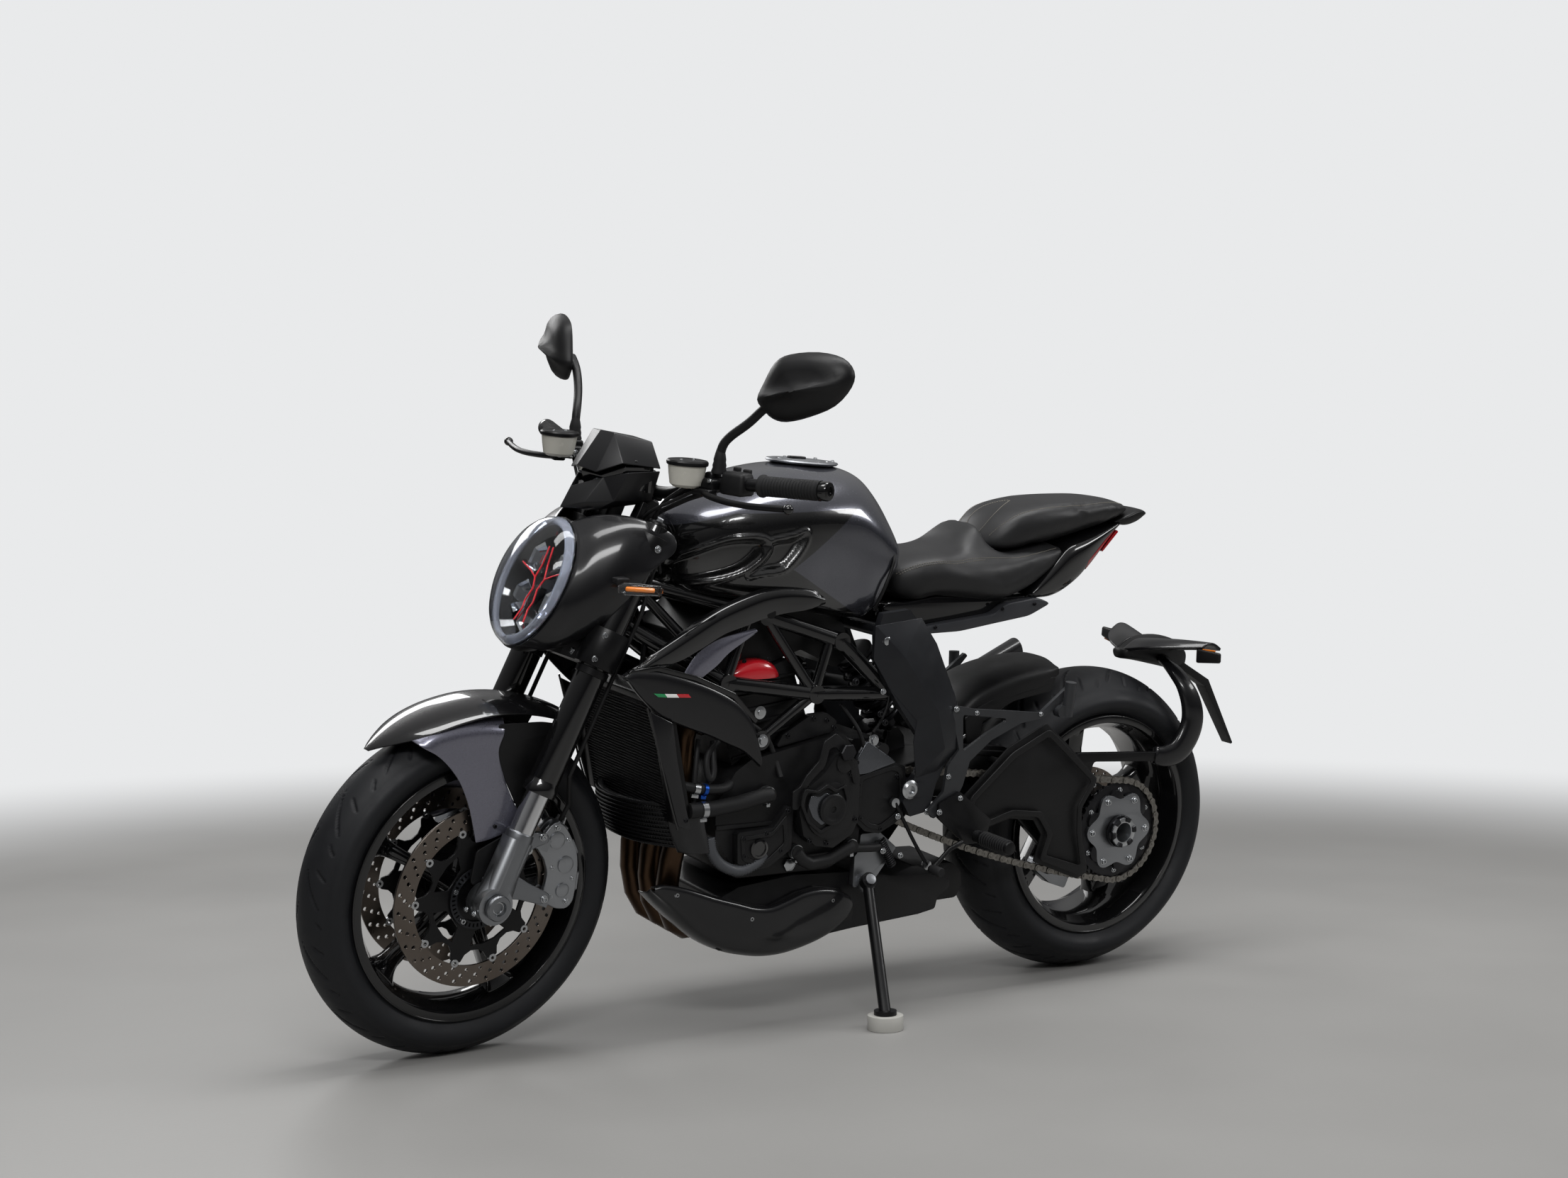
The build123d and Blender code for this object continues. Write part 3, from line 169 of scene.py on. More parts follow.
def prisms(shapes):
    """Points and faces of straight solids, each an (x, z) outline between two sides y."""
    points, faces = [], []
    for outline, low, high in shapes:
        start, n = len(points), len(outline)
        points += [(x, y, z) for y in (low, high) for x, z in outline]
        faces += [tuple(start + i for i in range(n)), tuple(start + n + i for i in reversed(range(n)))]
        faces += [(start + i, start + n + i, start + n + (i + 1) % n, start + (i + 1) % n) for i in range(n)]
    return points, faces


def outward(piece):
    """Merges doubles and turns every face outwards."""
    shape = bmesh.new()
    shape.from_mesh(piece.data)
    bmesh.ops.remove_doubles(shape, verts=shape.verts, dist=WELD)
    bmesh.ops.recalc_face_normals(shape, faces=shape.faces)
    shape.to_mesh(piece.data)
    shape.free()
    piece.data.update()


def plain(piece):
    """Turns the evaluated object, modifiers and all, into a plain mesh."""
    bpy.context.view_layer.update()
    data = bpy.data.meshes.new_from_object(piece.evaluated_get(bpy.context.evaluated_depsgraph_get()))
    old = piece.data
    if piece.type != "MESH":
        name = piece.name
        bpy.data.objects.remove(piece)
        return linked(name, data)
    piece.modifiers.clear()
    piece.data = data
    if old.users == 0:
        bpy.data.meshes.remove(old)
    return piece


def settle(piece, body, stands_for=()):
    """Ties a finished piece to its CAD body and hides the CAD nodes it stands for."""
    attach(piece, body)
    if stands_for:
        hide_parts(*stands_for)
    return piece


def pipe(name, points, radius, material, matrix=UPRIGHT, sides=8, fine=8):
    """A round tube along a smooth line through given points, in millimetres."""
    curve = bpy.data.curves.new(name, "CURVE")
    curve.dimensions = "3D"
    curve.bevel_depth = radius * MM
    curve.bevel_resolution = max(sides // 2 - 2, 1)
    curve.resolution_u = fine
    curve.use_fill_caps = True
    line = curve.splines.new("NURBS")
    line.points.add(len(points) - 1)
    for target, point in zip(line.points, points):
        place = matrix @ (Vector(point) * MM)
        target.co = (place.x, place.y, place.z, 1)
    line.order_u = 3
    line.use_endpoint_u = True
    curve.materials.append(material)
    piece = plain(linked(name, curve))
    piece.data.shade_smooth()
    return piece


def flat_plate(name, outlines, depth, material, matrix, edge=0.0):
    """A plate cut from closed outlines (its rim, then its holes), as thick as depth in millimetres."""
    curve = bpy.data.curves.new(name, "CURVE")
    curve.dimensions = "2D"
    curve.fill_mode = "BOTH"
    curve.extrude = depth / 2 * MM
    if edge:
        curve.bevel_depth = edge * MM
        curve.bevel_resolution = 2
        curve.offset = -edge * MM
        curve.extrude = max(depth / 2 - edge, 0.05) * MM
    for outline in outlines:
        line = curve.splines.new("POLY")
        line.points.add(len(outline) - 1)
        for target, (x, y) in zip(line.points, outline):
            target.co = (x * MM, y * MM, 0, 1)
        line.use_cyclic_u = True
    curve.materials.append(material)
    piece = plain(linked(name, curve))
    piece.data.transform(matrix)
    outward(piece)
    return piece


def circle(radius, count, centre=(0, 0)):
    """Points round a circle."""
    return [(centre[0] + x, centre[1] + y) for x, y in (polar(radius, a) for a in turns(count))]


def joined(name, pieces):
    """One object from several meshes, each face keeping its material."""
    shape = bmesh.new()
    materials = []
    for piece in pieces:
        offset = {}
        for index, material in enumerate(piece.data.materials):
            if material not in materials:
                materials.append(material)
            offset[index] = materials.index(material)
        before = len(shape.faces)
        shape.from_mesh(piece.data)
        shape.faces.ensure_lookup_table()
        for face in shape.faces[before:]:
            face.material_index = offset.get(face.material_index, 0)
    data = bpy.data.meshes.new(name)
    shape.to_mesh(data)
    shape.free()
    for material in materials:
        data.materials.append(material)
    for piece in pieces:
        bpy.data.objects.remove(piece)
    return linked(name, data)


def group(name, pieces, body, stands_for=()):
    """The pieces as one, tied to their body, the CAD nodes they stand for hidden."""
    return settle(joined(name, pieces), body, stands_for)


# ---------------------------------------------------------------- materials
def finish(name, base, roughness, metallic=0.0, coat=0.0, coat_roughness=0.03, grain=None, shift=None,
           cloud=(12.0, 0.12), specular=0.5, **sockets):
    """A material of a real finish: base colour drifting slightly in clouds, and a grain in relief.

    grain is (size in mm, relief in mm); cloud is (patches per metre, how far the colour drifts);
    shift is the second colour of the drift; specular is lower for blacks that soak up light."""
    material = bpy.data.materials.new(name)
    material.use_nodes = True
    tree = material.node_tree
    tree.nodes.clear()
    place = add(tree, "ShaderNodeTexCoord")
    patches = add(tree, "ShaderNodeTexNoise",
                  {"Vector": place.outputs["Object"], "Scale": cloud[0], "Detail": 5.0})
    mix = add(tree, "ShaderNodeMix", {"Factor": patches.outputs["Fac"]}, data_type="RGBA")
    first = linear(base)
    second = linear(shift) if shift else tuple(min(1.0, c * (1 + 2 * cloud[1]) + 0.002)
                                               for c in first[:3]) + (1.0,)
    mix.inputs[6].default_value = first
    mix.inputs[7].default_value = second
    rough = add(tree, "ShaderNodeMapRange", {"Value": patches.outputs["Fac"], "From Min": 0.3,
                                             "From Max": 0.7, "To Min": roughness * 0.88,
                                             "To Max": min(1.0, roughness * 1.15)})
    shader = add(tree, "ShaderNodeBsdfPrincipled", {"Base Color": mix.outputs[2],
                                                    "Roughness": rough.outputs["Result"],
                                                    "Metallic": metallic, "Specular IOR Level": specular,
                                                    "Coat Weight": coat, "Coat Roughness": coat_roughness,
                                                    **sockets})
    if grain:
        texture = add(tree, "ShaderNodeTexNoise", {"Vector": place.outputs["Object"],
                                                   "Scale": 1000 / grain[0], "Detail": 3.0,
                                                   "Roughness": 0.6})
        bump = add(tree, "ShaderNodeBump",
                   {"Height": texture.outputs["Fac"], "Distance": grain[1] * MM, "Strength": 1.0})
        tree.links.new(bump.outputs["Normal"], shader.inputs["Normal"])
    add(tree, "ShaderNodeOutputMaterial", {"Surface": shader.outputs["BSDF"]})
    return material


def part_of(material, kind):
    """The first node of a kind in a material."""
    return next(n for n in material.node_tree.nodes if n.bl_idname == kind)


def make_materials():
    m = {}
    # Tyre rubber: carbon-black compound, dull, with a fine moulded skin.
    m["tyre"] = finish("tyre_rubber", "#111215", 0.56, grain=(0.9, 0.10), cloud=(30.0, 0.25), specular=0.3)
    # Two-pack black lacquer over alloy or ABS: almost no body colour, a clear mirror-like coat.
    m["gloss_black"] = finish("black_lacquer", "#070708", 0.22, coat=1.0, coat_roughness=0.02,
                              cloud=(6.0, 0.3), specular=0.15)
    # Powder-coated steel and alloy: satin, with the coat's slight orange peel.
    m["satin_black"] = finish("black_powder_coat", "#070708", 0.34, grain=(1.6, 0.03), cloud=(25.0, 0.5),
                              specular=0.25)
    # Moulded ABS and nylon: matt with a spark-eroded grain.
    m["matt_black"] = finish("moulded_black_abs", "#0a0a0b", 0.46, grain=(0.6, 0.04), cloud=(20.0, 0.4),
                             specular=0.28)
    # Cast and painted engine alloy: dark, rougher, dusty in its hollows.
    m["engine"] = finish("painted_casting", "#0b0b0c", 0.42, grain=(1.2, 0.08), cloud=(40.0, 0.8),
                         specular=0.28)
    # Graphite metallic lacquer: aluminium flake under clear coat.
    m["graphite"] = finish("graphite_metallic_lacquer", "#686874", 0.30, metallic=0.75, coat=1.0,
                           coat_roughness=0.03, cloud=(300.0, 0.15))
    # Plain forged or cast aluminium, shot-blasted.
    m["cast_alloy"] = finish("shot_blasted_aluminium", "#85878a", 0.40, metallic=1.0, grain=(0.8, 0.05))
    m["dark_casting"] = finish("dark_cast_aluminium", "#1d1e21", 0.36, metallic=0.35, grain=(1.0, 0.04),
                               cloud=(20.0, 0.3), specular=0.35)
    # Hard-anodised, polished fork slider.
    m["polished"] = finish("polished_aluminium", "#c9cacc", 0.16, metallic=1.0, cloud=(60.0, 0.05))
    # Ground stainless brake rotor, browned by heat.
    m["rotor"] = finish("ground_rotor_steel", "#77706a", 0.30, metallic=1.0, grain=(0.5, 0.02),
                        shift="#5d544c")
    m["steel"] = finish("zinc_plated_steel", "#a9abad", 0.28, metallic=1.0, grain=(0.5, 0.015))
    m["chain"] = finish("oiled_chain_steel", "#96938d", 0.36, metallic=0.9, shift="#4d4a46",
                        cloud=(180.0, 0.2))
    # Stainless header, tempered to bronze by the exhaust's heat.
    m["bronze"] = finish("heat_tinted_stainless", "#5a4431", 0.34, metallic=1.0, shift="#2d2521",
                         cloud=(9.0, 0.2))
    m["seat"] = finish("seat_vinyl", "#1a1a1b", 0.46, grain=(1.4, 0.16), cloud=(14.0, 0.25), specular=0.35)
    m["thread"] = finish("grey_polyester_thread", "#6d6960", 0.7, grain=(0.5, 0.05))
    m["grip"] = finish("grip_rubber", "#161617", 0.68, grain=(0.8, 0.05), specular=0.3)
    m["hose"] = finish("coolant_hose_rubber", "#131314", 0.55, grain=(1.0, 0.05), specular=0.3)
    m["red"] = finish("red_enamel", "#b3121f", 0.25, coat=0.8)
    m["red_lens"] = finish("red_acrylic", "#a30d18", 0.12, coat=1.0, cloud=(60.0, 0.1))
    m["amber"] = finish("amber_acrylic", "#c06a1a", 0.16, coat=1.0, cloud=(60.0, 0.1))
    m["milky"] = finish("translucent_nylon", "#b9b7ae", 0.25, grain=(1.2, 0.03), cloud=(60.0, 0.05))
    m["white"] = finish("white_lacquer", "#e6e6e4", 0.3, coat=0.5)
    m["green"] = finish("green_lacquer", "#17804a", 0.3, coat=0.5)
    m["puck"] = finish("pale_hdpe", "#a9a8a3", 0.45, grain=(1.5, 0.05))
    m["black_glass"] = finish("black_glass", "#050506", 0.06, coat=1.0, cloud=(5.0, 0.1))
    m["clear"] = finish("clear_polycarbonate", "#f4f6f8", 0.04, cloud=(5.0, 0.01),
                        **{"Transmission Weight": 1.0, "IOR": 1.3})
    m["pale_lamp"] = finish("frosted_light_guide", "#c3c8d6", 0.18, cloud=(30.0, 0.05),
                            **{"Transmission Weight": 0.8, "IOR": 1.2})
    # Tank lacquer: graphite flake and solid black under one clear coat, parted along the tank's crease.
    # The graphite over the top, above the crease, is partly real paint and partly a painted reflection of the
    # ceiling.
    m["tank"] = finish("tank_lacquer", "#4c4d54", 0.24, metallic=0.75, coat=1.0, coat_roughness=0.02,
                       cloud=(300.0, 0.12))
    m["dark_steel"] = finish("black_oxide_steel", "#232325", 0.34, metallic=0.8, grain=(0.5, 0.02),
                             cloud=(60.0, 0.3))
    m["foot_alloy"] = finish("bead_blasted_fork_foot", "#77797c", 0.38, metallic=1.0, grain=(0.9, 0.04))
    m["caliper"] = finish("anodised_caliper", "#8b8d90", 0.34, metallic=0.9, grain=(0.6, 0.03),
                          cloud=(20.0, 0.15))
    m["mirror"] = finish("silvered_mirror", "#d8dadd", 0.03, metallic=1.0, cloud=(4.0, 0.02))
    m["screen"] = finish("moulded_screen", "#0d0d0f", 0.36, coat=0.15, coat_roughness=0.3, cloud=(6.0, 0.2),
                         specular=0.3)
    m["shroud"] = finish("satin_shroud_abs", "#0b0b0d", 0.34, coat=0.55, coat_roughness=0.1,
                         grain=(0.7, 0.02), cloud=(10.0, 0.4), specular=0.2)
    m["bracket"] = finish("satin_graphite_casting", "#2c2d2f", 0.34, metallic=0.2, grain=(0.9, 0.03),
                          cloud=(20.0, 0.3), specular=0.35)
    m["rail"] = finish("painted_rail", "#2a2b2e", 0.34, grain=(0.9, 0.04), cloud=(14.0, 0.35), specular=0.35)
    m["blue"] = finish("blue_anodised_clamp", "#1f4fa8", 0.32, metallic=0.9, cloud=(60.0, 0.1))
    m["polished_cover"] = finish("polished_cover_facet", "#56585c", 0.26, metallic=0.9, cloud=(40.0, 0.2))
    m["carbon_grey"] = finish("grey_braided_sleeve", "#3d3f43", 0.5, grain=(1.2, 0.12), cloud=(80.0, 0.2))
    let_shadows_through(m["clear"])
    m["fins"] = radiator_fins()
    return m


def let_shadows_through(material):
    """Clear plastic passes light to what stands behind it, so shadow rays go through."""
    tree = material.node_tree
    out = part_of(material, "ShaderNodeOutputMaterial")
    shader = part_of(material, "ShaderNodeBsdfPrincipled")
    rays = add(tree, "ShaderNodeLightPath")
    gap = add(tree, "ShaderNodeBsdfTransparent")
    mix = add(tree, "ShaderNodeMixShader",
              {"Fac": rays.outputs["Is Shadow Ray"], 1: shader.outputs["BSDF"], 2: gap.outputs["BSDF"]})
    tree.links.new(mix.outputs["Shader"], out.inputs["Surface"])


def radiator_fins():
    """Painted radiator core: fins 4 mm apart between flat tubes, drawn coarser than the real 1.5 mm."""
    material = finish("painted_radiator_core", "#101011", 0.5, cloud=(30.0, 0.4))
    tree = material.node_tree
    shader = part_of(material, "ShaderNodeBsdfPrincipled")
    place = part_of(material, "ShaderNodeTexCoord")
    waves = add(tree, "ShaderNodeTexWave", {"Vector": place.outputs["Object"], "Scale": 75.0},
                bands_direction="Y")
    rows = add(tree, "ShaderNodeTexWave", {"Vector": place.outputs["Object"], "Scale": 28.0},
               bands_direction="Z")
    both = add(tree, "ShaderNodeMath", {0: waves.outputs["Fac"], 1: rows.outputs["Fac"]},
               operation="MULTIPLY")
    bump = add(tree, "ShaderNodeBump", {"Height": both.outputs[0], "Distance": 0.002, "Strength": 1.0})
    tree.links.new(bump.outputs["Normal"], shader.inputs["Normal"])
    return material


MAT = make_materials()

# CAD node: (finish, width of its soft edges in mm)
CAD_FINISH = {"front_rim": ("gloss_black", 0.8), "rear_rim": ("gloss_black", 0.8),
              "fork_tubes": ("gloss_black", 0.5), "fork_legs": ("cast_alloy", 1.5),
              "fork_clamps": ("satin_black", 1.2), "front_calipers": ("cast_alloy", 1.2),
              "handlebar": ("satin_black", 0.8), "switchgear": ("matt_black", 1.0),
              "reservoirs": ("milky", 1.0), "front_indicators": ("amber", 1.5),
              "headlight_shell": ("matt_black", 1.0), "main_frame": ("gloss_black", 0.6),
              "frame_plates": ("dark_casting", 1.2), "engine_block": ("engine", 1.5),
              "engine_covers": ("engine", 1.8), "radiator": ("fins", 0.8),
              "radiator_shrouds": ("satin_black", 1.2), "exhaust_headers": ("bronze", 0.5),
              "silencer": ("satin_black", 1.5), "swingarm": ("satin_black", 1.8),
              "rear_hugger": ("matt_black", 0.8), "chain_guard": ("matt_black", 0.8),
              "plate_carrier": ("matt_black", 1.0), "rear_indicators": ("amber", 1.5),
              "passenger_brackets": ("bracket", 1.2), "rider_footpegs": ("satin_black", 1.0),
              "rear_shock": ("steel", 0.8), "rear_caliper": ("cast_alloy", 1.0),
              "stand_bracket": ("cast_alloy", 1.0), "stand_puck": ("puck", 1.5),
              "side_stand": ("satin_black", 1.0), "rear_axle": ("steel", 0.8),
              "rear_sprocket": ("dark_steel", 0.5), "front_discs": ("satin_black", 0.4),
              "rear_disc": ("rotor", 0.4), "tail_light": ("red_lens", 0.5),
              "seat_base": ("matt_black", 1.0), "tail_fairing": ("gloss_black", 1.5),
              "spear_fairings": ("gloss_black", 1.2), "front_fender": ("gloss_black", 0.8),
              "fender_sides": ("graphite", 0.8), "flyscreen": ("satin_black", 1.0),
              "mirrors": ("matt_black", 1.0), "grips": ("grip", 0.8), "drive_chain": ("chain", 0.4),
              "fuel_tank": ("gloss_black", 1.0), "front_tyre": ("tyre", 0.5), "rear_tyre": ("tyre", 0.5),
              "rider_seat": ("seat", 2.0), "pillion_seat": ("seat", 2.0), "headlight_lens": ("clear", 0.5),
              "instruments": ("matt_black", 1.0), "brake_lines": ("hose", 0.4), "cam_cover": ("red", 1.0),
              "airbox": ("matt_black", 1.5), "coolant_hoses": ("hose", 0.5),
              "inner_panels": ("graphite", 0.8), "front_axle": ("steel", 0.6)}


def number_input(tree, name, value):
    """A number on a node group's interface, with what it is when it is left alone."""
    tree.interface.new_socket(name, in_out="INPUT", socket_type="NodeSocketFloat").default_value = value


def weld_tree():
    """Geometry Nodes that merge a CAD mesh's loose triangles and shade it smooth up to a sharp-edge angle."""
    tree = bpy.data.node_groups.new("smooth_casting", "GeometryNodeTree")
    tree.interface.new_socket("Geometry", in_out="INPUT", socket_type="NodeSocketGeometry")
    number_input(tree, "Merge Distance", WELD)
    number_input(tree, "Sharp Angle", SHARP_ANGLE)
    tree.interface.new_socket("Geometry", in_out="OUTPUT", socket_type="NodeSocketGeometry")
    source = add(tree, "NodeGroupInput")
    merged = add(tree, "GeometryNodeMergeByDistance",
                 {"Geometry": source.outputs["Geometry"], "Distance": source.outputs["Merge Distance"]})
    angle = add(tree, "GeometryNodeInputMeshEdgeAngle")
    sharp = add(tree, "FunctionNodeCompare",
                {0: angle.outputs["Unsigned Angle"], 1: source.outputs["Sharp Angle"]}, data_type="FLOAT",
                operation="LESS_EQUAL")
    edges = add(tree, "GeometryNodeSetShadeSmooth",
                {"Geometry": merged.outputs["Geometry"], "Shade Smooth": sharp.outputs["Result"]},
                domain="EDGE")
    faces = add(tree, "GeometryNodeSetShadeSmooth",
                {"Geometry": edges.outputs["Geometry"], "Shade Smooth": True}, domain="FACE")
    add(tree, "NodeGroupOutput", {"Geometry": faces.outputs["Geometry"]})
    return tree


class RoadsterSettings(bpy.types.PropertyGroup):
    """Sizes and colours that a user would change."""

    wall_hex: bpy.props.StringProperty(name="Backdrop colour", description="sRGB hex of the backdrop",
                                       default="#e9eaeb")
    floor_hex: bpy.props.StringProperty(name="Floor colour", description="sRGB hex of the floor",
                                        default="#8e8d8b")
    lens_mm: bpy.props.FloatProperty(name="Lens", description="Focal length on a 36 mm sensor", default=49.22)
    tread_depth: bpy.props.FloatProperty(name="Tread depth", description="Depth of the tyre grooves",
                                         default=0.004, unit="LENGTH")
    tread_pitches: bpy.props.IntProperty(name="Tread pitches", description="Groove groups round a tyre",
                                         default=14)
    weld_distance: bpy.props.FloatProperty(name="Weld distance",
                                           description="Merging distance of CAD triangles", default=WELD,
                                           unit="LENGTH")


class ROADSTER_OT_finishes(bpy.types.Operator):
    """Gives every CAD node its finish, smooth shading and soft edges"""

    bl_idname = "roadster.finishes"
    bl_label = "CAD finishes"

    def execute(self, context):
        tree = weld_tree()
        for name, (finish_name, edge) in CAD_FINISH.items():
            node = frame["nodes"].get(name)
            if node is None:
                continue
            node.data.materials.clear()
            node.data.materials.append(MAT[finish_name])
            weld = node.modifiers.new("weld", "WELD")
            weld.merge_threshold = context.scene.roadster.weld_distance
            flat = node.modifiers.new("flat", "DECIMATE")
            flat.decimate_type = "DISSOLVE"
            flat.angle_limit = FLAT_ANGLE
            soft = node.modifiers.new("soft_edges", "BEVEL")
            soft.width = edge * MM
            soft.segments = 2
            soft.limit_method = "ANGLE"
            soft.angle_limit = SOFT_ANGLE
            soft.use_clamp_overlap = True
            shade = node.modifiers.new("shade", "NODES")
            shade.node_group = tree
        return {"FINISHED"}


# ---------------------------------------------------------------- shaping helpers
STEM = UPRIGHT.to_3x3().inverted() @ STEER_AXIS
RAKE = math.atan2(-STEM.x, STEM.z)
UNSPRUNG = WHEEL_FRAMES["front"] @ Matrix.Rotation(-RAKE, 4, "Y")
LAMP_RIM = (1284, 0, 835)
LAMP = moved(STEERED, LAMP_RIM) @ Matrix(((0, -math.sin(RAKE), math.cos(RAKE), 0), (1, 0, 0, 0),
                                          (0, math.cos(RAKE), math.sin(RAKE), 0), (0, 0, 0, 1)))
ACROSS = Matrix.Rotation(math.pi / 2, 4, "X")


def flow(points, steps, closed=False):
    """Points along smooth curves through the given ones, on the array's first axis, so many steps a span."""
    v = np.asarray(points, float)
    if closed:
        p0, p1, p2, p3 = np.roll(v, 1, 0), v, np.roll(v, -1, 0), np.roll(v, -2, 0)
    else:
        line = np.concatenate([[2 * v[0] - v[1]], v, [2 * v[-1] - v[-2]]])
        p0, p1, p2, p3 = line[:-3], line[1:-2], line[2:-1], line[3:]
    t = (np.arange(steps) / steps).reshape((1, steps) + (1,) * (v.ndim - 1))
    p0, p1, p2, p3 = (p[:, None] for p in (p0, p1, p2, p3))
    curve = 0.5 * (2 * p1 + (p2 - p0) * t + (2 * p0 - 5 * p1 + 4 * p2 - p3) * t ** 2
                   + (3 * p1 - p0 - 3 * p2 + p3) * t ** 3)
    curve = curve.reshape((-1,) + v.shape[1:])
    return curve if closed else np.concatenate([curve, v[-1:]])


def rounded(points, radius, steps=5):
    """A closed outline with each corner eased by a curve that starts radius before it."""
    result = []
    count = len(points)
    for i in range(count):
        a, b, c = (np.array(points[j % count], float) for j in (i - 1, i, i + 1))
        to_a, to_c = a - b, c - b
        start = b + to_a * min(0.45, radius / max(np.linalg.norm(to_a), 1e-6))
        end = b + to_c * min(0.45, radius / max(np.linalg.norm(to_c), 1e-6))
        for t in np.linspace(0, 1, steps):
            result.append(tuple((1 - t) ** 2 * start + 2 * t * (1 - t) * b + t * t * end))
    return result


def both_sides(half):
    """A closed ring of points from half of it: from the top middle down the left side, then up the right."""
    right = [(p[0], -p[1], p[2]) for p in reversed(half) if p[1] > 0.01]
    return list(half) + right


def across_x(stations):
    """Rings on planes across the machine from (x, [(y, z), ...]) stations."""
    return [both_sides([(x, y, z) for y, z in half]) for x, half in stations]


def woven(rows, steps, closed=False):
    """A finer grid of points through a coarse one, smooth both ways."""
    lines = flow(np.array(rows, float), steps[0]).transpose(1, 0, 2)
    return flow(lines, steps[1], closed).transpose(1, 0, 2)


def skin(name, rings, material, matrix=UPRIGHT, steps=(4, 4), shape=None):
    """A closed smooth body through rings of points; shape may move its points (n, 3) in millimetres."""
    grid = woven(rings, steps, closed=True)
    points = grid.reshape(-1, 3)
    if shape is not None:
        points = shape(points)
    size = grid.shape[:2]
    piece = mesh_piece(name, points.tolist(), grid_faces(*size) + end_faces(*size), material, matrix)
    outward(piece)
    return piece


def sheet(name, rows, material, thickness, matrix=UPRIGHT, steps=(4, 4), edge=0.6):
    """A thin smooth panel through a grid of points, thickened both ways and with eased edges."""
    grid = woven(rows, steps)
    faces = grid_faces(*grid.shape[:2], wrap_columns=False)
    piece = mesh_piece(name, grid.reshape(-1, 3).tolist(), faces, material, matrix)
    outward(piece)
    return thickened(piece, thickness, edge)


def walled(piece, thickness, offset=-1):
    """A wall on an open skin, inside it (offset -1) or both ways (0)."""
    wall = piece.modifiers.new("wall", "SOLIDIFY")
    wall.thickness = thickness * MM
    wall.offset = offset
    return wall


def thickened(piece, thickness, edge=0.6, angle=50):
    """Gives an open skin its wall and eases its edges."""
    walled(piece, thickness, 0).use_quality_normals = True
    eased(piece, edge, angle)
    return plain(piece)


def eased(piece, width, angle=35, segments=2):
    """A rounded edge wherever faces meet at more than the angle."""
    soft = piece.modifiers.new("eased_edges", "BEVEL")
    soft.width = width * MM
    soft.segments = segments
    soft.limit_method = "ANGLE"
    soft.angle_limit = math.radians(angle)
    soft.harden_normals = False
    return piece


def mirrored(piece, name, matrix=UPRIGHT):
    """A copy of a piece on the other side of the machine."""
    data = piece.data.copy()
    data.transform(matrix @ Matrix.Scale(-1, 4, (0, 1, 0)) @ matrix.inverted())
    data.flip_normals()
    return linked(name, data)


def pair_of(piece, matrix=UPRIGHT):
    """The piece joined with its mirror image."""
    name = piece.name
    other = mirrored(piece, name + "_right", matrix)
    both = joined(name + "_both", [piece, other])
    both.name = name
    both.data.shade_smooth()
    return both


def board(name, points, inner, outer, material, matrix=UPRIGHT, corner=6.0, edge=1.2, holes=()):
    """A plate seen from the side: an (x, z) outline with eased corners, from y = inner to y = outer."""
    outlines = [rounded(points, corner) if corner else points] + [list(hole) for hole in holes]
    at = moved(matrix, (0, (inner + outer) / 2, 0)) @ ACROSS
    piece = flat_plate(name, outlines, abs(outer - inner), material, at, edge)
    smooth_to(piece, 30)
    return piece


def smooth_to(piece, angle):
    """Smooth shading, with edges sharper than the angle kept crisp."""
    shape = bmesh.new()
    shape.from_mesh(piece.data)
    for face in shape.faces:
        face.smooth = True
    for line in shape.edges:
        line.smooth = len(line.link_faces) == 2 and line.calc_face_angle(0) < math.radians(angle)
    shape.to_mesh(piece.data)
    shape.free()


def turned(name, profile, material, matrix, steps=40, sharp=40):
    """A turned part: (radius, height) points spun about the matrix's Z axis, in millimetres."""
    points = [(*polar(radius, a), height) for radius, height in profile for a in turns(steps)]
    faces = grid_faces(len(profile), steps) + end_faces(len(profile), steps)
    piece = mesh_piece(name, points, faces, material, matrix)
    outward(piece)
    smooth_to(piece, sharp)
    return piece


def towards(place, direction, matrix=UPRIGHT, beside=(0, 0, 1)):
    """A matrix at a place in millimetres whose Z axis points in a direction."""
    z = Vector(direction).normalized()
    x = Vector(beside).cross(z)
    if x.length < 0.01:
        x = Vector((1, 0, 0)).cross(z)
    x.normalize()
    y = z.cross(x)
    turn = Matrix((x, y, z)).transposed().to_4x4()
    return moved(matrix, place) @ turn


def box_piece(name, size, material, matrix, edge=1.5, taper=(1.0, 1.0)):
    """A block with eased edges, its far end scaled by taper."""
    x, y, z = (s / 2 for s in size)
    points = []
    for height, (a, b) in ((-z, (1, 1)), (z, taper)):
        points += [(-x * a, -y * b, height), (x * a, -y * b, height), (x * a, y * b, height),
                   (-x * a, y * b, height)]
    faces = [(3, 2, 1, 0), (4, 5, 6, 7), (0, 1, 5, 4), (1, 2, 6, 5), (2, 3, 7, 6), (3, 0, 4, 7)]
    piece = mesh_piece(name, points, faces, material, matrix)
    eased(piece, edge, 20, 3)
    return plain(piece)


def facet_shell(name, points, faces, material, thickness, edge, matrix=UPRIGHT):
    """A shell of flat facets, given for the left side and mirrored, with a wall and eased edges."""
    verts = list(points) + [(x, -y, z) for x, y, z in points]
    polys = [tuple(f) for f in faces] + [tuple(len(points) + i for i in reversed(f)) for f in faces]
    piece = mesh_piece(name, verts, polys, material, matrix, smooth=False)
    outward(piece)
    walled(piece, thickness)
    eased(piece, edge, 8, 3)
    piece = plain(piece)
    smooth_to(piece, 25)
    return piece


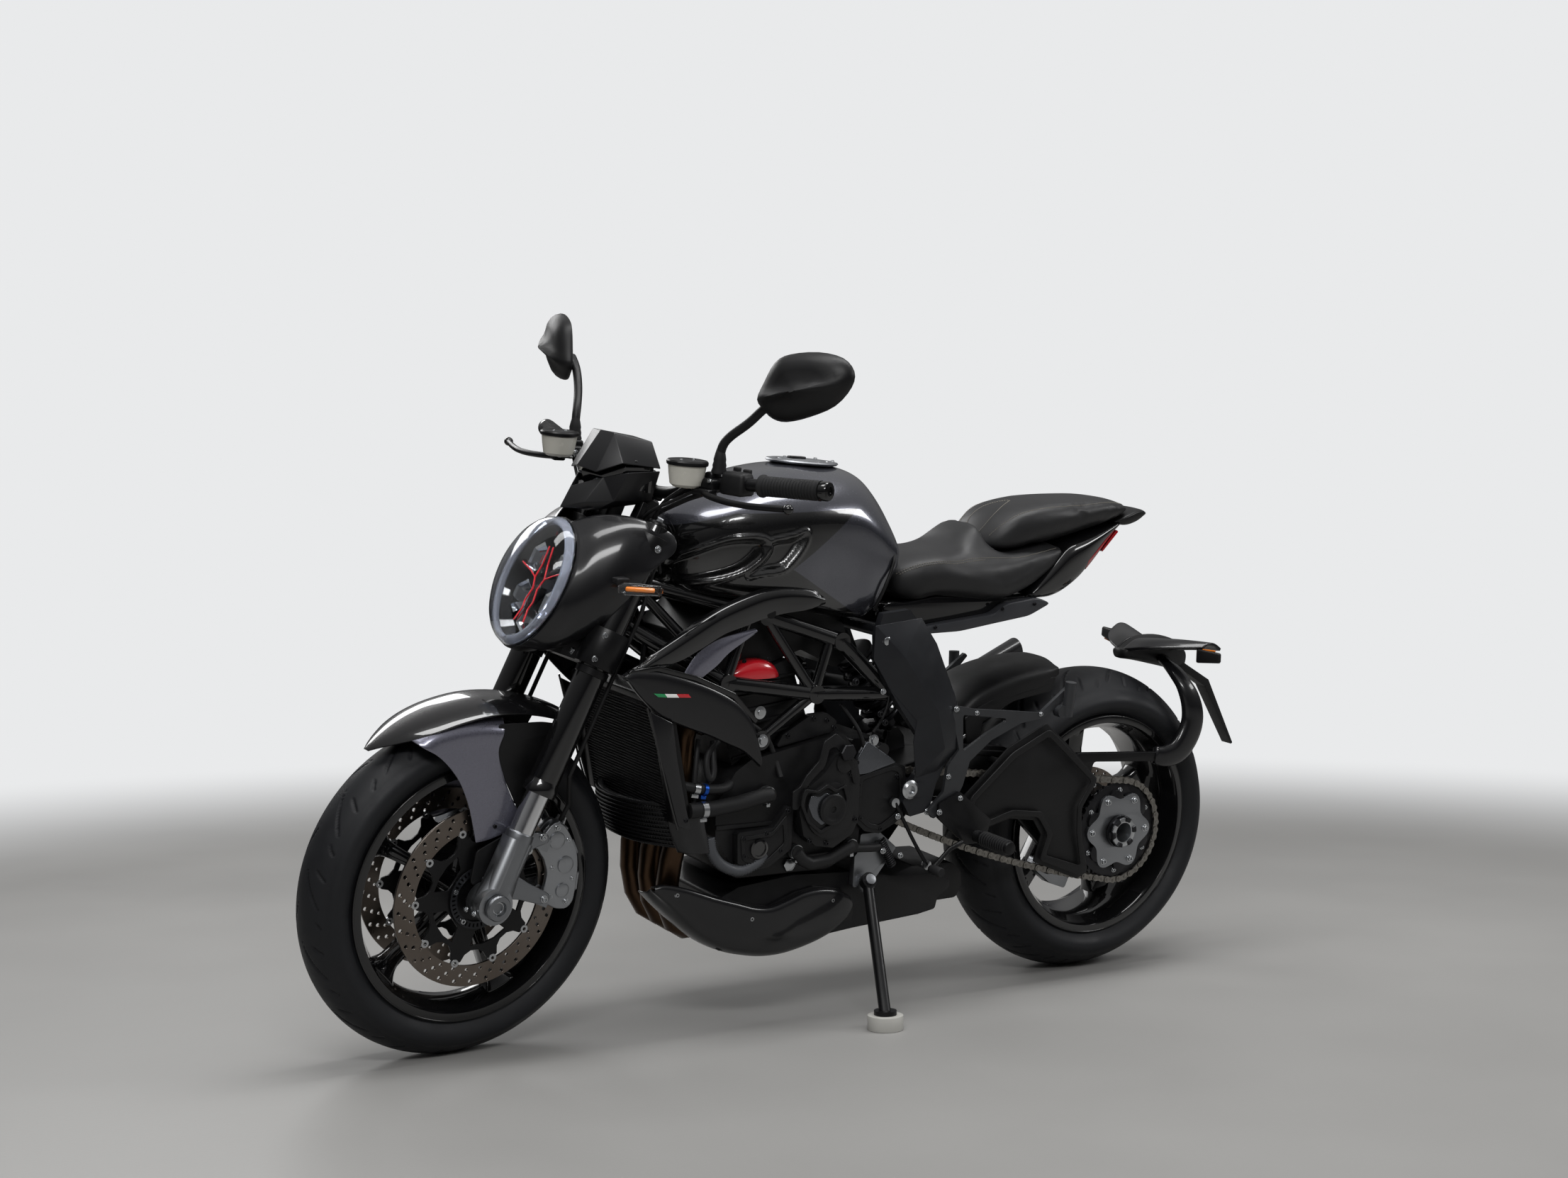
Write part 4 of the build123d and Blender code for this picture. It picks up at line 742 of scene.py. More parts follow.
def distance_to(points, outline):
    """Signed distance of (n, 2) points to a closed outline, negative inside."""
    a = np.array(outline, float)
    b = np.roll(a, -1, 0)
    best = np.full(len(points), 1e9)
    inside = np.zeros(len(points), bool)
    for p, q in zip(a, b):
        way = q - p
        t = np.clip(((points - p) @ way) / (way @ way), 0, 1)
        best = np.minimum(best, np.linalg.norm(points - (p + t[:, None] * way), axis=1))
        crosses = ((p[1] > points[:, 1]) != (q[1] > points[:, 1]))
        with np.errstate(divide="ignore", invalid="ignore"):
            at = (q[0] - p[0]) * (points[:, 1] - p[1]) / (q[1] - p[1]) + p[0]
        inside ^= crosses & (points[:, 0] < at)
    return np.where(inside, -best, best)


def ease(value, low, high):
    """0 below low, 1 above high, smooth between."""
    t = np.clip((value - low) / (high - low), 0, 1)
    return t * t * (3 - 2 * t)


def along(path):
    """A frame at each point of a path, its Z axis the way the path runs, with the share of the way there."""
    last = len(path) - 1
    for i, p in enumerate(path):
        way = path[min(i + 1, last)] - path[max(i - 1, 0)]
        yield towards(p, way, Matrix.Identity(4), (0, 1, 0)), i / last


# ---------------------------------------------------------------- repeated small pieces
def pattern_tree():
    """Geometry Nodes that set a piece on every point, turned and sized by the points' own attributes."""
    tree = bpy.data.node_groups.new("row_of_pieces", "GeometryNodeTree")
    tree.interface.new_socket("Geometry", in_out="INPUT", socket_type="NodeSocketGeometry")
    tree.interface.new_socket("Piece", in_out="INPUT", socket_type="NodeSocketObject")
    tree.interface.new_socket("Finish", in_out="INPUT", socket_type="NodeSocketMaterial")
    tree.interface.new_socket("Geometry", in_out="OUTPUT", socket_type="NodeSocketGeometry")
    source = add(tree, "NodeGroupInput")
    shape = add(tree, "GeometryNodeObjectInfo", {"Object": source.outputs["Piece"]})
    turn = add(tree, "GeometryNodeInputNamedAttribute", {"Name": "turn"}, data_type="FLOAT_VECTOR")
    size = add(tree, "GeometryNodeInputNamedAttribute", {"Name": "size"}, data_type="FLOAT_VECTOR")
    rotation = add(tree, "FunctionNodeEulerToRotation", {"Euler": turn.outputs["Attribute"]})
    placed = add(tree, "GeometryNodeInstanceOnPoints", {"Points": source.outputs["Geometry"],
                                                        "Instance": shape.outputs["Geometry"],
                                                        "Rotation": rotation.outputs["Rotation"],
                                                        "Scale": size.outputs["Attribute"]})
    real = add(tree, "GeometryNodeRealizeInstances", {"Geometry": placed.outputs["Instances"]})
    made = add(tree, "GeometryNodeSetMaterial",
               {"Geometry": real.outputs["Geometry"], "Material": source.outputs["Finish"]})
    add(tree, "NodeGroupOutput", {"Geometry": made.outputs["Geometry"]})
    return tree


PATTERN = pattern_tree()


def row_of(name, places, model, material, sharp=35):
    """Copies of a model (a small mesh in millimetres) at (matrix, size) places, joined in one mesh."""
    data = bpy.data.meshes.new(name)
    data.from_pydata([tuple(m.translation) for m, size in places], [], [])
    angles = data.attributes.new("turn", "FLOAT_VECTOR", "POINT")
    sizes = data.attributes.new("size", "FLOAT_VECTOR", "POINT")
    angles.data.foreach_set("vector", [v for m, size in places for v in m.to_euler()])
    sizes.data.foreach_set("vector", [size for m, size in places for _ in range(3)])
    piece = linked(name, data)
    modifier = piece.modifiers.new("row", "NODES")
    modifier.node_group = PATTERN
    keys = {item.name: item.identifier for item in PATTERN.interface.items_tree if item.in_out == "INPUT"}
    modifier[keys["Piece"]] = model
    modifier[keys["Finish"]] = material
    piece = plain(piece)
    bpy.data.objects.remove(model)
    smooth_to(piece, sharp)
    return piece


def template(name, points, faces):
    """A small mesh about its own origin, in millimetres, for a row of copies."""
    return mesh_piece(name, points, faces, MAT["steel"], Matrix.Identity(4), smooth=False)


def bolt_template():
    """A flanged socket-head screw of unit diameter (1 mm) that stands on its origin."""
    steps, sixth = 12, math.pi / 3
    hexagon = [math.cos(sixth / 2) / math.cos(a % sixth - sixth / 2) for a in turns(steps)]
    profile = ((0.50, -0.05, 0), (0.50, 0.07, 0), (0.47, 0.10, 0), (0.37, 0.11, 0), (0.37, 0.30, 0),
               (0.33, 0.36, 0), (0.22, 0.36, 1), (0.20, 0.14, 1))
    points = []
    for radius, height, six in profile:
        points += [(*polar(radius * (share if six else 1), a), height)
                   for a, share in zip(turns(steps), hexagon)]
    return template("socket_screw", points, grid_faces(len(profile), steps) + end_faces(len(profile), steps))


def bolts(name, places, material, matrix=UPRIGHT):
    """Socket screws at ((x, y, z), direction, head diameter) in millimetres."""
    return row_of(name, [(towards(p, d, matrix), size) for p, d, size in places], bolt_template(), material)


# ---------------------------------------------------------------- tyres
TYRES = {
    "front": {"radius": 300.0, "crown": 60.0, "crown_half": 48.0, "half": 60.0, "widest": 257.0,
              "bead": 45.0},
    "rear": {"radius": 316.0, "crown": 108.0, "crown_half": 80.0, "half": 99.0, "widest": 256.0,
             "bead": 78.0},
}


def tyre_profile(size, count):
    """Points (radius, side) over the tyre from bead to bead, evenly spaced over the crown."""
    drop = size["crown"] - math.sqrt(size["crown"] ** 2 - size["crown_half"] ** 2)
    reach = math.asin(size["crown_half"] / size["crown"])
    points = []
    for i in range(count + 1):
        angle = reach * (2 * i / count - 1)
        points.append((size["radius"] - size["crown"] * (1 - math.cos(angle)),
                       size["crown"] * math.sin(angle)))
    shoulder = (size["radius"] - drop, size["crown_half"])
    widest = (size["widest"], size["half"] - 0.4)
    rim = (231.0, size["bead"])
    side = []
    steps = 14
    for i in range(1, steps + 1):
        t = i / steps
        # a curve through the shoulder, the widest point and the rim
        a, b, c = (2 * t - 1) * (t - 1), 4 * t * (1 - t), t * (2 * t - 1)
        side.append((a * shoulder[0] + b * widest[0] + c * rim[0], a * shoulder[1] + b * widest[1]
                     + c * rim[1]))
    side += [(222.0, size["bead"] - 0.6), (217.2, size["bead"] - 3.0)]
    return [(r, -y) for r, y in reversed(side)] + points + side, len(side)


def groove(angle, across, start, end, lead, width):
    """How deep (0 to 1) a slash is at an angle round the wheel: it runs from start to end, ahead by lead."""
    t = np.clip((across - start) / (end - start), 0, 1)
    centre = lead * t ** 0.75
    # signed distance round the tyre, in mm
    gap = np.abs(angle - centre)
    taper = np.clip(4 * np.minimum(t + 0.04, 1.06 - t), 0, 1)
    inside = ((across > start) & (across < end)).astype(float)
    return inside * np.clip((width * taper - gap) / 1.6 + 0.5, 0, 1)


def tread_depth_at(wheel, turn, across, pitches):
    """Depth share of the tread pattern: on each side a long slash from near the middle and two short ones."""
    size = TYRES[wheel]
    pitch = 2 * math.pi * size["radius"] / pitches
    half = size["crown_half"]
    total = np.zeros_like(turn)
    for side, offset in ((1, 0.0), (-1, 0.5)):
        place = across * side
        local = (turn / (2 * math.pi) * pitches + offset) % 1.0 * pitch - pitch * 0.5
        total = np.maximum(total, groove(-local + 10, place, half * 0.10, half * 0.86, pitch * 0.55, 3.0))
        for shift, low, high in ((pitch * 0.05, 0.55, 0.98), (pitch * 0.40, 0.72, 1.0)):
            wrapped = (-local + shift + pitch * 0.5) % pitch - pitch * 0.5
            total = np.maximum(total, groove(wrapped, place, half * low, half * high, pitch * 0.14, 2.2))
    return total


class ROADSTER_OT_tyres(bpy.types.Operator):
    """Moulds the tread into both tyres"""

    bl_idname = "roadster.tyres"
    bl_label = "Tyres"

    def execute(self, context):
        settings = context.scene.roadster
        for wheel, across_count in (("front", 44), ("rear", 60)):
            profile, edge = tyre_profile(TYRES[wheel], across_count)
            around = 760
            radius = np.array([p[0] for p in profile])
            side = np.array([p[1] for p in profile])
            turn = np.linspace(0, 2 * math.pi, around, endpoint=False)
            angles, sides = np.meshgrid(turn, side, indexing="ij")
            arc = TYRES[wheel]["crown"] * np.arcsin(np.clip(side / TYRES[wheel]["crown"], -1, 1))
            arcs = np.meshgrid(turn, arc, indexing="ij")[1]
            depth = tread_depth_at(wheel, angles, arcs, settings.tread_pitches
                                   + (2 if wheel == "rear" else 0))
            depth[:, :edge] = 0
            depth[:, len(profile) - edge:] = 0
            radii = np.tile(radius, (around, 1)) - depth * settings.tread_depth / MM
            points = np.stack([radii * np.cos(angles), sides, radii * np.sin(angles)], axis=-1).reshape(-1, 3)
            piece = mesh_piece(f"{wheel}_tyre_tread", points.tolist(),
                               grid_faces(around, len(profile), wrap_rows=True, wrap_columns=True),
                               MAT["tyre"], WHEEL_FRAMES[wheel])
            outward(piece)
            settle(piece, f"{wheel}_wheel", [f"{wheel}_tyre"])
        return {"FINISHED"}


# ---------------------------------------------------------------- wheels and brakes
def perforated_disc(name, radius, inner, holes, width, material, matrix):
    """A flat ring drilled with skewed rows of holes, its two faces square to the matrix's Y axis."""
    outlines = [circle(radius, 96), circle(inner, 96)]
    for row, (at, count, size) in enumerate(holes):
        outlines += [circle(size, 10, polar(at, angle)) for angle in turns(count, row * 0.33)]
    return flat_plate(name, outlines, width, material, matrix @ ACROSS)


class ROADSTER_OT_front_brake(bpy.types.Operator):
    """Drilled front rotors on their carriers, with bobbins, bolts and the wheel-speed ring"""

    bl_idname = "roadster.front_brake"
    bl_label = "Front discs"

    # (radius, angle) round a point of the carrier's star, a window in it, a slot of the wheel-speed ring
    STAR_POINT = ((96, -0.235), (104, -0.13), (117, -0.085), (121, 0.0), (117, 0.085), (104, 0.13),
                  (96, 0.235))
    WINDOW = ((88, -0.42), (88, -0.14), (88, 0.14), (88, 0.42), (62, 0.34), (58, 0.0), (62, -0.34))
    SPEED_SLOT = ((46, -0.22), (53, -0.22), (53, 0.22), (46, 0.22))

    def execute(self, context):
        hub = WHEEL_FRAMES["front"]
        rotors, carriers, bobbins, screws = [], [], [], []
        for side in SIDES:
            at = moved(hub, (0, side * 64, 0))
            rotors.append(perforated_disc(f"front_rotor_{side}", 160, 123,
                                          ((130.5, 30, 3.2), (141, 30, 3.9), (152, 30, 3.9)), 5,
                                          MAT["rotor"], at))
            star = [polar(r, base + t) for base in turns(10) for r, t in self.STAR_POINT]
            windows = [[polar(r, base + t) for r, t in self.WINDOW] for base in turns(5, 0.5)]
            carriers.append(flat_plate(f"front_carrier_{side}", [star, circle(24, 40)] + windows, 4.4,
                                       MAT["satin_black"], at @ ACROSS))
            slots = [[polar(r, 2 * math.pi * (i + t) / 40) for r, t in self.SPEED_SLOT] for i in range(40)]
            carriers.append(flat_plate(f"speed_ring_{side}", [circle(56, 72), circle(43, 72)] + slots, 1.4,
                                       MAT["dark_casting"], moved(at, (0, side * 6.5, 0)) @ ACROSS))
            for x, z in circle(121, 10):
                bobbins.append((towards((x, side * 61.0, z), (0, side, 0), hub), 1.0))
            for angle in turns(5, 0.25):
                x, z = polar(49, angle)
                screws.append(((x, side * 68.0, z), (0, side, 0), 13))
        group("front_rotors", rotors, "front_wheel", ["front_discs"])
        group("front_disc_carriers", carriers, "front_wheel")
        section = ((3.2, 0.0), (7.0, 0.0), (7.4, 0.6), (7.4, 5.4), (7.0, 6.0), (3.2, 6.0))
        steps = 16
        points = [(*polar(radius, a), height) for radius, height in section for a in turns(steps)]
        button = template("disc_bobbin", points, grid_faces(len(section), steps, wrap_rows=True))
        settle(row_of("front_bobbins", bobbins, button, MAT["steel"]), "front_wheel")
        settle(bolts("front_disc_screws", screws, MAT["steel"], hub), "front_wheel")
        spacers = [turned(f"front_disc_boss_{side}",
                          [(22, 46.4), (40, 46.4), (40, 61), (34, 66), (24, 66), (22, 64)],
                          MAT["satin_black"], facing(hub, side)) for side in SIDES]
        group("front_disc_bosses", spacers, "front_wheel")
        return {"FINISHED"}


class ROADSTER_OT_rims(bpy.types.Operator):
    """The raised bead round each rim and the spokes' rounded skins"""

    bl_idname = "roadster.rims"
    bl_label = "Rim trim"

    COUNT = 5
    # how far out the rim's bead stands on each wheel
    BEADS = {"front": 45.3, "rear": 78.3}
    # the first spoke's angle, then (radius, half width, half depth, sideways offset) out along a spoke
    SPOKES = {
        "front": (30, ((30, 18, 30, 0), (48, 15.5, 25, 0), (80, 12.5, 19, 0), (120, 11.5, 16, 0),
                       (155, 13, 16, 0), (178, 17, 20, 0), (193, 26, 27, 0), (203, 38, 33, 0))),
        "rear": (20, ((52, 32, 21, -36), (80, 25, 19, -37), (115, 20, 17, -38), (150, 20, 18, -38),
                      (178, 27, 22, -37), (196, 38, 28, -34), (204, 50, 34, -30))),
    }

    @staticmethod
    def spoke(name, base, sections, hub):
        """One spoke's rounded skin, at an angle round the hub."""
        rings = []
        for radius, width, half, offset in sections:
            ring = []
            for turn in turns(12):
                across, around = squircle(turn, 0.7)
                around *= width
                ring.append((radius * math.cos(base) - around * math.sin(base), offset + half * across,
                             radius * math.sin(base) + around * math.cos(base)))
            rings.append(ring)
        return skin(name, rings, MAT["gloss_black"], hub, (3, 3))

    def execute(self, context):
        for wheel, bead in self.BEADS.items():
            lines = []
            for side in SIDES:
                points = [(x, side * (bead + out), z)
                          for radius, out in ((226.6, 6.15), (228.2, 6.15), (228.2, 6.4), (226.6, 6.4))
                          for x, z in circle(radius, 120)]
                ring = mesh_piece(f"{wheel}_rim_line_{side}", points, grid_faces(4, 120, wrap_rows=True),
                                  MAT["gloss_black"], WHEEL_FRAMES[wheel])
                outward(ring)
                lines.append(ring)
            group(f"{wheel}_rim_lines", lines, f"{wheel}_wheel")
        for wheel, (first, sections) in self.SPOKES.items():
            skins = [self.spoke(f"{wheel}_spoke_{i}", math.radians(first + 360 / self.COUNT * i), sections,
                                WHEEL_FRAMES[wheel]) for i in range(self.COUNT)]
            group(f"{wheel}_spokes", skins, f"{wheel}_wheel")
        return {"FINISHED"}


class ROADSTER_OT_final_drive(bpy.types.Operator):
    """Chain links, the sprocket's six-lobed carrier and screws, the hollow wheel nut and the rear disc"""

    bl_idname = "roadster.final_drive"
    bl_label = "Final drive"

    PITCH = 15.875
    BIG, SMALL = 41, 16
    CENTRE = (600.0, 442.0)
    ACROSS_Y = 131.0
    SAG = 20.0
    END_RADIUS = 6.8

    def chain_path(self):
        """Points a pitch apart on the chain's loop in the side view, the lower run sagging a little."""
        big = self.PITCH / 2 / math.sin(math.pi / self.BIG)
        small = self.PITCH / 2 / math.sin(math.pi / self.SMALL)
        c1, c2 = np.array([0.0, HUB_HEIGHT / MM]), np.array(self.CENTRE)
        way = c2 - c1
        heading = math.atan2(way[1], way[0])
        spread = math.asin((big - small) / np.linalg.norm(way))
        up, down = heading + math.pi / 2 - spread, heading - math.pi / 2 + spread
        line = []
        start, end = c1 + polar(big, up), c2 + polar(small, up)
        line += [start + (end - start) * t for t in np.linspace(0, 1, 60, endpoint=False)]
        line += [c2 + polar(small, a) for a in np.linspace(up, down, 40, endpoint=False)]
        start, end = c2 + polar(small, down), c1 + polar(big, down)
        line += [start + (end - start) * t - (0, 4 * self.SAG * t * (1 - t))
                 for t in np.linspace(0, 1, 60, endpoint=False)]
        line += [c1 + polar(big, a) for a in np.linspace(down, up - 2 * math.pi, 60, endpoint=False)]
        line = np.array(line + [line[0]])
        lengths = np.concatenate([[0], np.cumsum(np.linalg.norm(np.diff(line, axis=0), axis=1))])
        count = 2 * round(lengths[-1] / self.PITCH / 2)
        at = np.linspace(0, lengths[-1], count, endpoint=False)
        return np.stack([np.interp(at, lengths, line[:, 0]), np.interp(at, lengths, line[:, 1])], axis=1)

    def link(self, name, plates, waist, pin_radius, pin_half):
        """A pair of side plates (y from, y to) between two pins or rollers, about the first of them."""
        half_turn = np.linspace(-math.pi / 2, math.pi / 2, 6)
        near = [(-x, z) for x, z in (polar(self.END_RADIUS, a) for a in half_turn)]
        far = [(15.9 + x, z) for x, z in (polar(self.END_RADIUS, a) for a in reversed(half_turn))]
        outline = near + [(7.9, waist)] + far + [(7.9, -waist)]
        shapes = [(outline, low, high) for low, high in plates]
        shapes += [(circle(pin_radius, 8, (centre, 0)), -pin_half, pin_half) for centre in (0.0, self.PITCH)]
        piece = template(name, *prisms(shapes))
        outward(piece)
        return piece

    def execute(self, context):
        pins = self.chain_path()
        outer, inner = [], []
        for i, pin in enumerate(pins):
            ahead = pins[(i + 1) % len(pins)] - pin
            turn = Matrix.Rotation(-math.atan2(ahead[1], ahead[0]), 4, "Y")
            place = moved(UPRIGHT, (pin[0], self.ACROSS_Y, pin[1])) @ turn
            (outer if i % 2 else inner).append((place, 1.0))
        links = [
            row_of("chain_outer_links", outer,
                   self.link("outer_link", ((6.6, 8.4), (-8.4, -6.6)), 4.6, 2.6, 9.2), MAT["chain"]),
            row_of("chain_inner_links", inner,
                   self.link("inner_link", ((4.4, 6.2), (-6.2, -4.4)), 5.4, 5.0, 5.5), MAT["chain"]),
        ]
        group("chain_links", links, "chassis", ["drive_chain"])

        hub = WHEEL_FRAMES["rear"]
        star = [polar(75 + 9 * math.cos(6 * angle), angle) for angle in turns(72)]
        at = moved(hub, (0, 137.5, 0)) @ ACROSS
        carrier = flat_plate("sprocket_carrier", [star, circle(33, 48)], 7, MAT["cast_alloy"], at)
        eased(carrier, 1.2, 50)
        carrier = plain(carrier)
        smooth_to(carrier, 35)
        settle(carrier, "rear_wheel")
        # (radius, height, whether the castle's notches are cut there)
        nut = ((20.2, 140, 0), (31, 140, 0), (33, 142, 0), (33, 150, 0), (31, 152, 1), (31, 160, 1),
               (24, 160, 1), (22, 158, 1))
        steps, notch_depth = 48, 6
        points = []
        for radius, height, notch in nut:
            points += [(*polar(radius, a), height - (notch_depth if notch and (i // 4) % 2 else 0))
                       for i, a in enumerate(turns(steps))]
        cap = mesh_piece("rear_wheel_nut", points, grid_faces(len(nut), steps, wrap_rows=True),
                         MAT["dark_steel"], facing(hub))
        outward(cap)
        smooth_to(cap, 35)
        settle(cap, "rear_wheel")
        screws = [((71 * math.cos(a), 141.0, 71 * math.sin(a)), (0, 1, 0), 15) for a in turns(6)]
        screws += [((84 * math.cos(a), 134.5, 84 * math.sin(a)), (0, 1, 0), 11) for a in turns(6, 0.5)]
        settle(bolts("sprocket_screws", screws, MAT["steel"], hub), "rear_wheel")
        rotor = perforated_disc("rear_rotor", 110, 80, ((87, 30, 3.2), (95, 30, 3.2), (103, 30, 3.2)), 5,
                                MAT["rotor"], moved(hub, (0, 32, 0)))
        web = flat_plate("rear_disc_web", [circle(82, 60), circle(31, 40)]
                         + [circle(13, 20, polar(62, a)) for a in turns(6)], 5, MAT["satin_black"],
                         moved(hub, (0, 31, 0)) @ ACROSS)
        middle = turned("rear_disc_boss", [(30.5, 14.4), (50, 14.4), (50, 29), (30.5, 29)],
                        MAT["satin_black"], facing(hub))
        group("rear_disc_set", [rotor, web, middle], "rear_wheel", ["rear_disc"])
        return {"FINISHED"}


# ---------------------------------------------------------------- front end
class ROADSTER_OT_front_fender(bpy.types.Operator):
    """The crowned front mudguard with its graphite side panels and their rear parts"""

    bl_idname = "roadster.front_fender"
    bl_label = "Front mudguard"

    def execute(self, context):
        centre = (1368.3, 285.4)
        rows = []
        for angle, half, radius in ((50.5, 6, 356), (53, 20, 357), (57, 40, 357), (62, 60, 357),
                                    (68, 73, 357), (75, 77, 357), (84, 78, 357), (93, 78, 356),
                                    (102, 77, 355), (110, 74, 354), (116, 66, 352)):
            a = math.radians(angle)
            row = []
            for share in (-1, -0.86, -0.62, -0.32, 0, 0.32, 0.62, 0.86, 1):
                drop = 20 * abs(share) ** 2.6 * half / 78
                row.append((centre[0] + (radius - drop) * math.cos(a), half * share, centre[1]
                            + (radius - drop) * math.sin(a)))
            rows.append(row)
        guard = sheet("front_mudguard", rows, MAT["gloss_black"], 3.2, STEERED, (4, 4), 1.2)
        settle(guard, "steering", ["front_fender"])
        rows = [
            [(1542, 46, 586), (1512, 50, 603), (1462, 52, 614), (1412, 56, 616), (1370, 60, 612)],
            [(1528, 72, 575), (1498, 75, 590), (1455, 77, 598), (1410, 78.4, 598), (1376, 78.4, 592)],
            [(1497, 79, 556), (1470, 80, 562), (1440, 80.6, 563), (1410, 80.6, 562), (1386, 79.8, 558)],
            [(1464, 80.5, 520), (1442, 81.6, 523), (1420, 81.8, 522), (1395, 81.4, 518), (1372, 80, 512)],
            [(1442, 80.8, 478), (1423, 82, 478), (1402, 82.2, 477), (1378, 82, 474), (1352, 80.4, 470)],
            [(1430, 80.8, 440), (1410, 82, 438), (1388, 82.2, 438), (1364, 82, 440), (1338, 80.4, 444)],
            [(1420, 80.6, 402), (1402, 81.4, 404), (1384, 81.6, 408), (1364, 81.4, 414), (1342, 80.2, 421)],
        ]
        panel = sheet("mudguard_panel", rows, MAT["graphite"], 3.4, STEERED, (5, 5), 1.0)
        panel = pair_of(panel, STEERED)
        settle(panel, "steering", ["fender_sides"])
        back = board("mudguard_rear", [(1386, 606), (1300, 604), (1218, 589), (1252, 530), (1290, 500),
                                       (1330, 436), (1396, 560)], 74.5, 77.6, MAT["matt_black"], STEERED, 8,
                     1.0)
        foot = board("mudguard_foot", [(1344, 418), (1417, 386), (1425, 330), (1400, 314), (1370, 330)],
                     76.6, 80.4, MAT["matt_black"], STEERED, 8, 1.2)
        settle(pair_of(joined("mudguard_stays", [back, foot]), STEERED), "steering")
        screws = [((1398, 80.4 * s, 334), (0, s, 0), 13) for s in SIDES]
        screws += [((1386, 82.4 * s, 428), (0, s, 0), 10) for s in SIDES]
        settle(bolts("mudguard_screws", screws, MAT["dark_steel"], STEERED), "steering")
        return {"FINISHED"}


